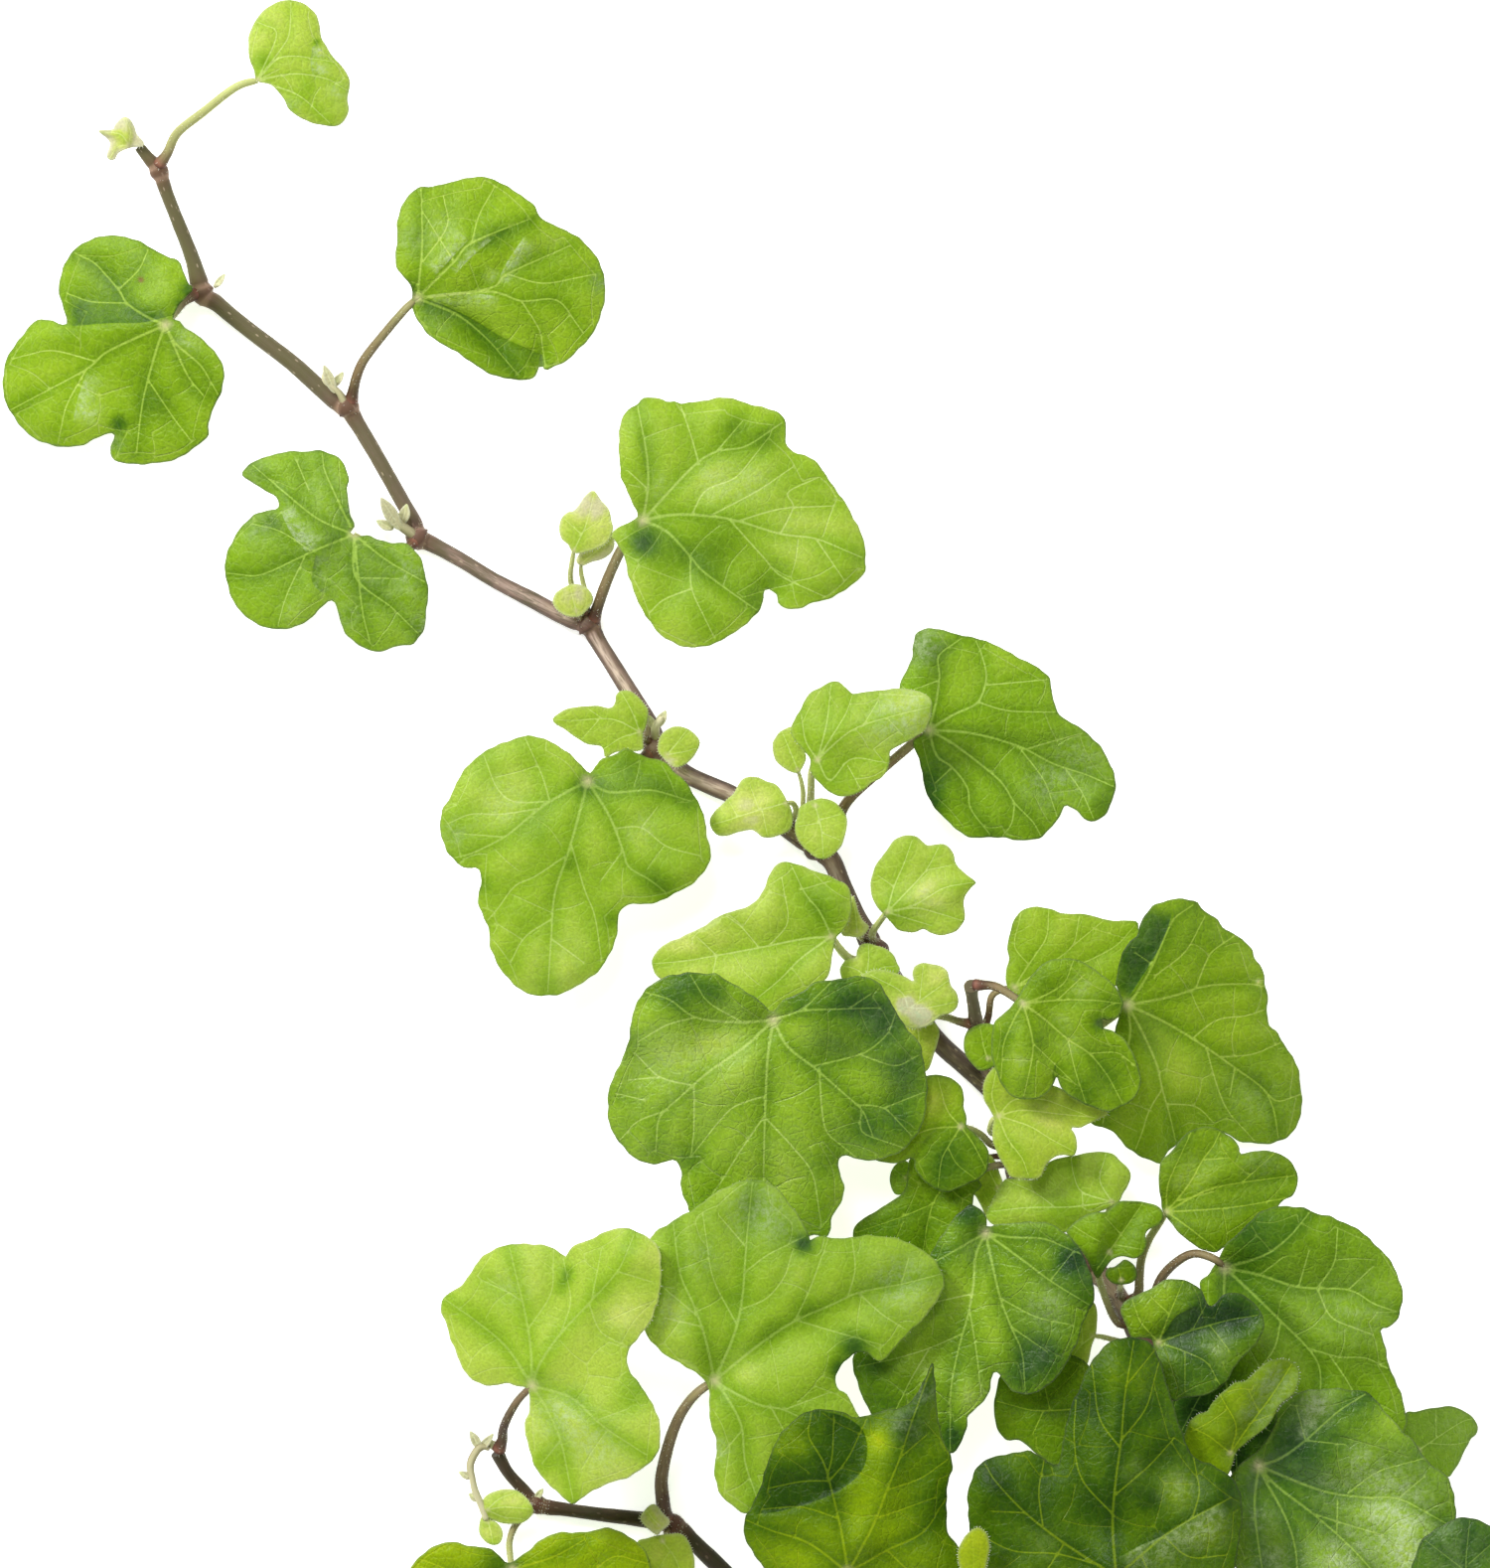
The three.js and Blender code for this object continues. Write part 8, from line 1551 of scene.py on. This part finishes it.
def hairs_on(piece, count, length, mark=None):
    """Soft white hairs on a piece, at its marked corners only where a mark is named."""
    mesh = piece.data
    place, way = read_rows(mesh.vertices, "co"), read_rows(mesh.vertices, "normal")
    chosen = np.arange(len(place))
    if mark:
        if "lean" in mesh.attributes:
            way = read_rows(mesh.attributes["lean"].data, "vector")
        chosen = chosen[read_rows(mesh.attributes[mark].data, "value", 1)[:, 0] > 0.5]
    dice = np.random.default_rng(zlib.crc32(piece.name.encode()) + 7)
    chosen = dice.choice(chosen, min(count, len(chosen)), replace=False)
    lean = way[chosen] + dice.normal(0, 0.45, (len(chosen), 3))
    lean /= np.linalg.norm(lean, axis=1)[:, None]
    reach = dice.uniform(0.5, 1.2, len(chosen)) * length * MM
    clear = place[chosen, 2] + lean[:, 2] * reach > 0.0001
    chosen, lean, reach = chosen[clear], lean[clear], reach[clear]
    roots = mesh_of(piece.name + "_roots", place[chosen], [], {"lean": lean, "reach": reach})
    down = run_tree(SOFT_HAIRS, piece_of(piece.name + "_hairs", roots), {"Skin": SKINS["hair"]})
    return joined(piece.name, [piece, down])


# ---------------------------------------------------------------- skins

# The colours of a blade, its veins and its rim, from the palest leaf to the darkest.
TONE_STOPS = (0.0, 0.08, 0.15, 0.32, 0.5, 0.66, 0.83, 1.0, 1.25)
LEAF_GREENS = "D4CEA4 CAD666 B1C947 95B82A 7CA318 648A12 4A7212 315816 1C3E18"
VEIN_GREENS = "F0F2CC E6EC9C DAE890 CBE07C B8D468 A6C850 92B446 82A244 6E9044"
RIM_GREENS = "F0F0DC E4E8C4 C6CE94 859A5A 667A4A 56663E 455432 38452E"
HEART, BROWN_FLECK, UNDERSIDE, LIT_THROUGH = "D9CFA0", "7C4C36", "B5C68C", "C6E23C"
# The painted highlight on the stems, their dark knots and their cut end.
PAINTED_HIGHLIGHT_BARK, KNOT, CUT_WOOD = "DCC6B4", "6A4038", "CDBE8E"
# What a warm leaf and the shaded side of a stem let through of red, green and blue.
WARM_GREEN, SHADED_BARK = (1.0, 0.9, 0.1, 1.0), (0.36, 0.31, 0.29, 1.0)


def leaf_paint_group():
    """The green of a blade: its tone with painted shade, veins, mottling, a painted sheen, rim and
    pale underside.
    """
    tree, b, given, result = group_with(
        "leaf_paint", "ShaderNodeTree",
        {"Mottle": ("Float", 0.06), "Vein Show": ("Float", 0.8), "Lace Show": ("Float", 0.5),
         "Rim Show": ("Float", 0.5)},
        {"Colour": "Color", "Glow": "Color", "Shine Loss": "Float", "Relief": "Float"})
    where = b.where()
    tone, milk, vein, lace, rim, heart, under, warm, clear, fleck = map(b.mark, (
        "tone", "milk", "vein", "lace", "rim", "heart", "under", "warm", "clear", "fleck"))

    clouds = b.noise(where, 9.0)
    specks = b.noise(where, 0.75, 4.0, 0.7)
    grain = b.noise(where, 0.33, 1.0)
    bend = b.stretch(b.texture(where, 500.0, 1.0, output="Color"), 0.0012)
    cells = b.add("ShaderNodeTexVoronoi", {"Vector": b.move(where, bend), "Scale": 620.0},
                  feature="DISTANCE_TO_EDGE")
    thread = b.span(cells, 0.0, 0.11, 1.0, 0.0)

    uneven = b.plus(b.swing(specks, given["Mottle"]), b.swing(clouds, 0.24))
    tone = b.plus(tone, b.times(uneven, b.span(tone, 0.05, 0.6, 0.35, 1.0)))
    tissue, line, edge = (b.ramp(tone, list(zip(TONE_STOPS, greens.split())), TONE_STOPS[-1])
                          for greens in (LEAF_GREENS, VEIN_GREENS, RIM_GREENS))
    drawn = b.times(b.span(vein, 0.25, 0.75), given["Vein Show"])
    laced = b.times(b.span(lace, 0.2, 0.7), given["Lace Show"])
    webbed = b.times(b.times(thread, 0.22), given["Lace Show"])
    shown = b.math("MAXIMUM", b.math("MAXIMUM", drawn, laced), webbed, clamp=True)
    shown = b.times(b.math("MAXIMUM", shown, b.times(vein, 0.25)), clear)
    colour = b.blend(warm, b.blend(shown, tissue, line), WARM_GREEN, "MULTIPLY")
    colour = b.blend(1.0, colour, b.span(grain, 0.3, 0.7, 0.88, 1.1), "MULTIPLY")
    colour = b.blend(b.times(b.span(rim, 0.35, 0.95), given["Rim Show"]), colour, edge)
    colour = b.blend(b.times(heart, 0.75), colour, paint(HEART))

    # A painted sheen in a pale grey-green, broken up by fine crinkles.
    crinkle = b.span(b.noise(where, 1.1, 3.0, 0.7), 0.38, 0.62, 0.15, 1.45)
    from_crease = b.math("ABSOLUTE", b.math("SUBTRACT", b.noise(where, 0.9, 4.0, 0.6), 0.5))
    crinkle = b.times(crinkle, b.span(from_crease, 0.0, 0.05, 0.3, 1.1))
    milk = b.times(milk, crinkle, clamp=True)
    sheen_colour = b.ramp(tone, [(0.2, "C8DAB0"), (0.7, "A8BA88")])
    colour = b.blend(b.times(milk, 0.72), colour, sheen_colour)
    colour = b.blend(b.span(fleck, 0.3, 0.7, 0.0, 0.75), colour, paint(BROWN_FLECK))
    b.send(b.blend(b.times(under, 0.5), colour, paint(UNDERSIDE)), result["Colour"])
    b.send(b.blend(0.35, colour, paint(LIT_THROUGH)), result["Glow"])

    dull = b.plus(b.times(milk, 0.1), b.swing(specks, 0.16))
    b.send(b.plus(dull, b.times(under, 0.25)), result["Shine Loss"])
    relief = b.plus(b.times(grain, 0.5), b.times(specks, 0.5))
    relief = b.math("SUBTRACT", relief, b.times(thread, 0.3))
    b.send(b.math("SUBTRACT", relief, b.times(lace, 0.5)), result["Relief"])
    return tree


LEAF_PAINT = leaf_paint_group()


def new_skin(name):
    skin = bpy.data.materials.new(name)
    skin.use_nodes = True
    skin.node_tree.nodes.clear()
    return skin, Bench(skin.node_tree)


def finish_skin(b, shader):
    b.send(shader, b.add("ShaderNodeOutputMaterial").inputs["Surface"])


def leaf_skin(name, mottle, vein, lace, rim, gloss, through, relief, coat, shine):
    """A leaf's skin: waxy in front, with some light coming through from behind."""
    skin, b = new_skin(name)
    shows = {"Mottle": mottle, "Vein Show": vein, "Lace Show": lace, "Rim Show": rim}
    painted = b.add("ShaderNodeGroup", shows, node_tree=LEAF_PAINT).node.outputs
    bump = b.bump(painted["Relief"], relief, 0.0002)
    rough = b.plus(painted["Shine Loss"], gloss, clamp=True)
    front = b.add("ShaderNodeBsdfPrincipled", {
        "Base Color": painted["Colour"], "Roughness": rough, "Normal": bump,
        "Specular IOR Level": shine, "Coat Weight": coat, "Coat Roughness": 0.3})
    behind = b.add("ShaderNodeBsdfTranslucent", {"Color": painted["Glow"], "Normal": bump})
    finish_skin(b, b.add("ShaderNodeMixShader", {0: through, 1: front, 2: behind}))
    return skin


def shoot_skin(name, ages, ring_colour, dashes, dash_colour, roughness, relief, highlight_strength=0.0):
    """A stem's or stalk's skin: streaks, dashes, rings at its nodes, a painted highlight on the
    side turned to the lamp, painted shade on its flanks.
    """
    skin, b = new_skin(name)
    age, ring, core, along, crown, knot, flank = map(b.mark, (
        "age", "ring", "core", "along", "crown", "knot", "flank"))
    around = b.mark("around", "Vector")
    place = b.move(around, b.add("ShaderNodeCombineXYZ", {2: b.times(along, 1000.0)}))
    fibres = b.add("ShaderNodeMapping", {"Vector": place, "Scale": (5.0, 5.0, 0.45)})
    streaks = b.texture(fibres, 1.0, 4.0, 0.6)
    aged = b.plus(age, b.swing(streaks, 0.5))
    aged = b.plus(aged, b.swing(b.texture(place, 0.35), 0.35))
    spread = b.add("ShaderNodeMapping", {"Vector": place, "Scale": (1.5, 1.5, 0.55)})
    spots = b.add("ShaderNodeTexVoronoi", {"Vector": spread, "Scale": 1.0, "Randomness": 1.0})
    dash = b.span(spots, 0.2, 0.13)
    colour = b.blend(b.times(dash, dashes), b.ramp(aged, ages), paint(dash_colour))
    # A painted highlight along the side turned to the lamp, over part of a stem's age.
    pale = b.times(crown, b.span(streaks, 0.38, 0.58, 0.3, 1.05))
    band = b.times(b.span(age, 0.4, 0.5), b.span(age, 0.56, 0.74, highlight_strength, 0.12 * highlight_strength))
    colour = b.blend(b.times(pale, band), colour, paint(PAINTED_HIGHLIGHT_BARK))
    colour = b.blend(b.times(knot, 0.6), colour, paint(KNOT))
    colour = b.blend(b.times(ring, 0.75), colour, paint(ring_colour))
    shaded = b.times(flank, b.span(age, 0.35, 0.5, 0.0, 0.9))
    colour = b.blend(shaded, colour, SHADED_BARK, "MULTIPLY")
    colour = b.blend(core, colour, paint(CUT_WOOD))
    bump = b.bump(b.plus(b.times(streaks, 0.7), b.times(dash, 0.5)), relief, 0.00015)
    rough = b.span(streaks, 0.3, 0.7, roughness - 0.1, roughness + 0.12)
    finish_skin(b, b.add("ShaderNodeBsdfPrincipled", {
        "Base Color": colour, "Roughness": rough, "Normal": bump, "Specular IOR Level": 0.25}))
    return skin


def hair_skin():
    skin, b = new_skin("white_down")
    colour = b.ramp(b.noise(b.where(), 1.5), [(0.3, "E6E8D2"), (0.7, "F7F7EE")])
    front = b.add("ShaderNodeBsdfPrincipled", {"Base Color": colour, "Roughness": 0.6})
    behind = b.add("ShaderNodeBsdfTranslucent", {"Color": colour})
    finish_skin(b, b.add("ShaderNodeMixShader", {0: 0.5, 1: front, 2: behind}))
    return skin


SKINS = {
    "young": leaf_skin("young_leaf_skin", mottle=0.26, vein=0.75, lace=0.5, rim=0.45, gloss=0.44,
                       through=0.24, relief=0.55, coat=0.0, shine=0.2),
    "grown": leaf_skin("grown_leaf_skin", mottle=0.34, vein=0.8, lace=0.45, rim=0.6, gloss=0.38,
                       through=0.18, relief=0.8, coat=0.02, shine=0.13),
    "leathery": leaf_skin("leathery_leaf_skin", mottle=0.38, vein=0.75, lace=0.36, rim=0.6,
                          gloss=0.32, through=0.12, relief=1.0, coat=0.12, shine=0.22),
    "stalk": shoot_skin(
        "leaf_stalk_skin", [(0.0, "B4BC72"), (0.35, "A0A067"), (0.55, "968C60"), (0.75, "8A7554"),
                            (0.9, "6E5E3C"), (1.0, "5E4634")],
        "A8705C", dashes=0.25, dash_colour="C9C49A", roughness=0.5, relief=0.4),
    # The stem's colours by age. The last, lightest stop is painted light on the oldest end, where
    # leaves shade it.
    "stem": shoot_skin(
        "young_stem_skin", [(0.1, "605C3A"), (0.34, "645A42"), (0.44, "6E5E4E"), (0.52, "886F62"),
                            (0.62, "705A4E"), (0.72, "5E4C40"), (0.84, "62524A"), (1.0, "98846E")],
        "B09078", dashes=0.6, dash_colour="BDAA90", roughness=0.55, relief=0.7, highlight_strength=0.95),
    "branch": shoot_skin(
        "old_branch_skin", [(0.0, "5A4034"), (0.4, "3A321F"), (0.7, "2E3418"), (1.0, "272B19")],
        "7A6450", dashes=0.35, dash_colour="8C7A68", roughness=0.55, relief=0.8),
    "bud": shoot_skin(
        "bud_skin", [(0.0, "D2CCA6"), (0.5, "BFB98E"), (1.0, "A69A7C")],
        "DAD6B4", dashes=0.2, dash_colour="EDEBD2", roughness=0.55, relief=0.3),
    "hair": hair_skin(),
}


# ---------------------------------------------------------------- the spray

def nearest_on_stems(p):
    """How near the stems' middle line comes to a point, where, and the radius there."""
    found = []
    for way in (MAIN_STEM, SIDE_BRANCH, SIDE_SHOOT):
        a, b = way[:-1], way[1:]
        run = b[:, :3] - a[:, :3]
        t = (((p - a[:, :3]) * run).sum(1) / (run**2).sum(1)).clip(0, 1)[:, None]
        foot = a + (b - a) * t
        gap = np.linalg.norm(foot[:, :3] - p, axis=1)
        k = gap.argmin()
        found.append((gap[k], foot[k, :3], foot[k, 3]))
    return min(found, key=lambda one: one[0])


def stalk(name, leaf):
    """A leaf's stalk, from under its blade's joint to its swollen foot on the stem."""
    top, foot = STALK_GIRTH * leaf["radius"]
    drawn = leaf["stalk"]
    gap, axis, radius = nearest_on_stems(drawn[-1])
    end = axis + (drawn[-1] - axis) / gap * (radius * 0.75)
    z = height_of(leaf, leaf["joint"][None])[0]
    way = np.vstack([[*leaf["joint"], z - 0.2 - 0.9 * top], drawn[:-1], end])
    way = np.column_stack([way, np.linspace(top * 0.82, foot * 0.92, len(way))])
    way = flow(way, STALK_STEP)
    run = run_of(way)
    left = run[-1] - run
    way[:, 3] *= 1 + 0.3 * fade(left, 1.3) - 0.25 * fade(run, 0.6)
    blush = leaf.get("blush", BLUSH_OF_AGE[AGE_OF_TONE[leaf["tone"]]])
    age = (blush + 0.25 * (run / run[-1]) + 0.6 * np.exp(-left / 3.2)).clip(0, 1.0)
    marks = {"age": age, "ring": 0.8 * fade(left - 0.5, 0.5), "core": 0 * left,
             "knot": fade(left, 1.8)}
    ridge = STALK_RIDGE * foot / FULL_FOOT
    piece = shoot(name + "_stalk", way, SKINS["stalk"], STALK_SIDES, ridge, marks)
    return hairs_on(piece, count=int(HAIRS_PER_MM * run[-1]), length=0.4)


def stem(name, drawn, skin, youngest, oldest, cut=False):
    """A woody stem, swollen and ringed at its nodes."""
    r = drawn[:, 3]
    knots = drawn[1:-1][(r[1:-1] > r[:-2]) & (r[1:-1] > r[2:])]
    way = flow(drawn, STEM_STEP)
    near = np.linalg.norm(way[:, None, :3] - knots[None, :, :3], axis=2).min(1)
    way[:, 3] *= 1 + (fade(near, 0.75) * 0.16 - fade(near - 1.25, 0.35) * 0.09)
    way[:, 2] = np.maximum(way[:, 2], way[:, 3] + 0.1)
    share = run_of(way)
    share = share / share[-1]
    marks = {"age": youngest + (oldest - youngest) * (share / 0.75).clip(0, 1),
             "ring": fade(near - 1.0, 0.4) * 0.8, "core": 0 * share, "knot": fade(near, 2.2)}
    if cut:
        face = way[-1] + (way[-1] - way[-2]) * [0.03, 0.03, 0.03, 0]
        face[3] *= 0.82
        way = np.vstack([way, face])
        marks = {mark: np.append(values, values[-1]) for mark, values in marks.items()}
        marks["core"][-1] = 1
    piece = shoot(name, way, skin, STEM_SIDES, STEM_RIDGE, marks)
    return hairs_on(piece, count=300, length=0.45, mark="knot")


def bud(name, drawn):
    way = rounded_end(flow(drawn, BUD_STEP))
    share = np.linspace(0.7, 0, len(way))
    marks = {"age": share, "ring": 0 * share, "core": 0 * share, "knot": 0 * share}
    return shoot(name, way, SKINS["bud"], STALK_SIDES, BUD_RIDGE, marks)


def downy(name, leaf, thickness, count, length):
    """A small unnetted leaf with soft hairs round its rim."""
    piece = blade(name, leaf, SKINS["young"], thickness, netted=False)
    return hairs_on(piece, count, length, "down")


def settle(name, slot, *pieces):
    """The finished piece of a node, joined, hung on the root body, with the node's own part hidden;
    the slot is not used.
    """
    piece = joined("ivy_" + name, [*pieces])
    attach(piece, "root")
    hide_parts(name)


for name, leaf in LEAVES.items():
    tone = leaf["tone"]
    body = blade(name, leaf, SKINS[AGE_OF_TONE[tone]])
    if tone == "lime":
        body = hairs_on(body, count=130, length=0.34, mark="down")
    elif tone == "light":
        body = hairs_on(body, count=70, length=0.22, mark="down")
    settle(name, "leaf_" + tone, body, stalk(name, leaf))

main = stem("main_stem", MAIN_STEM, SKINS["stem"], youngest=0.12, oldest=0.95, cut=True)
buds = [bud(f"node_bud_{i}", drawn) for i, drawn in enumerate(NODE_BUDS)]
settle("main_stem", "stem", main, *buds, *bracts("main_stem"))
branch = stem("side_branch", SIDE_BRANCH, SKINS["branch"], youngest=0.9, oldest=0.35)
settle("side_branch", "branch", branch, *bracts("side_branch"))
side = stem("side_shoot", SIDE_SHOOT, SKINS["stem"], youngest=0.5, oldest=0.3)
settle("side_shoot", "stem", side)
tip = downy("tip_bud", TIP_BUD, thickness=0.7, count=150, length=0.45)
settle("tip_bud", "bud", tip)
young = [downy(f"young_leaf_{i}", leaf, thickness=0.4, count=70, length=0.4)
         for i, leaf in enumerate(YOUNG_LEAVES)]
settle("end_shoot", "young_shoot", bud("end_shoot", END_SHOOT), *young, *bracts("end_shoot"))


# ---------------------------------------------------------------- table, light and camera

def table():
    top = bpy.data.meshes.new("table")
    corners = [(x * TABLE_HALF_WIDTH, y * TABLE_HALF_WIDTH, 0)
               for x, y in ((-1, -1), (1, -1), (1, 1), (-1, 1))]
    top.from_pydata(corners, [], [[0, 1, 2, 3]])
    skin, b = new_skin("pale_table")
    colour = b.ramp(b.noise(b.where(), 60.0), [(0.3, "FBFBFA"), (0.7, "FEFEFE")])
    finish_skin(b, b.add("ShaderNodeBsdfPrincipled", {
        "Base Color": colour, "Roughness": 0.9, "Specular IOR Level": 0.0,
        "Emission Color": (1, 1, 1, 1), "Emission Strength": 0.7}))
    floor = piece_of("table", top, skin)
    floor.location.z = -TABLE_DROP


def soft_light(name, place, size, power):
    light = bpy.data.lights.new(name, "AREA")
    light.shape, light.size, light.energy = "DISK", size, power
    lamp = bpy.data.objects.new(name, light)
    lamp.location = place
    lamp.rotation_euler = (-Vector(place)).to_track_quat("-Z", "Y").to_euler()
    bpy.context.scene.collection.objects.link(lamp)


table()
soft_light("window_light", (-0.66, 0.62, 0.72), size=0.34, power=12.4)
soft_light("top_light", (-0.14, 0.42, 0.95), size=0.26, power=3.4)
soft_light("side_light", (0.95, 0.1, 0.6), size=0.7, power=3.2)
soft_light("low_light", (-0.2, -0.95, 0.6), size=0.7, power=2.8)
world = bpy.data.worlds.new("studio")
world.use_nodes = True
world.node_tree.nodes["Background"].inputs["Color"].default_value = (1, 1, 1, 1)
world.node_tree.nodes["Background"].inputs["Strength"].default_value = 0.2
bpy.context.scene.world = world
bpy.context.scene.view_settings.view_transform = "Standard"

lens = bpy.data.cameras.new("camera")
lens.sensor_width = 36
lens.lens = lens.sensor_width * EYE_HEIGHT / VIEW_HEIGHT
lens.clip_start, lens.clip_end = 0.01, 10
camera = bpy.data.objects.new("camera", lens)
camera.location = (*((VIEW_CENTRE - ORIGIN) * MM), EYE_HEIGHT * MM)
bpy.context.scene.collection.objects.link(camera)
bpy.context.scene.camera = camera
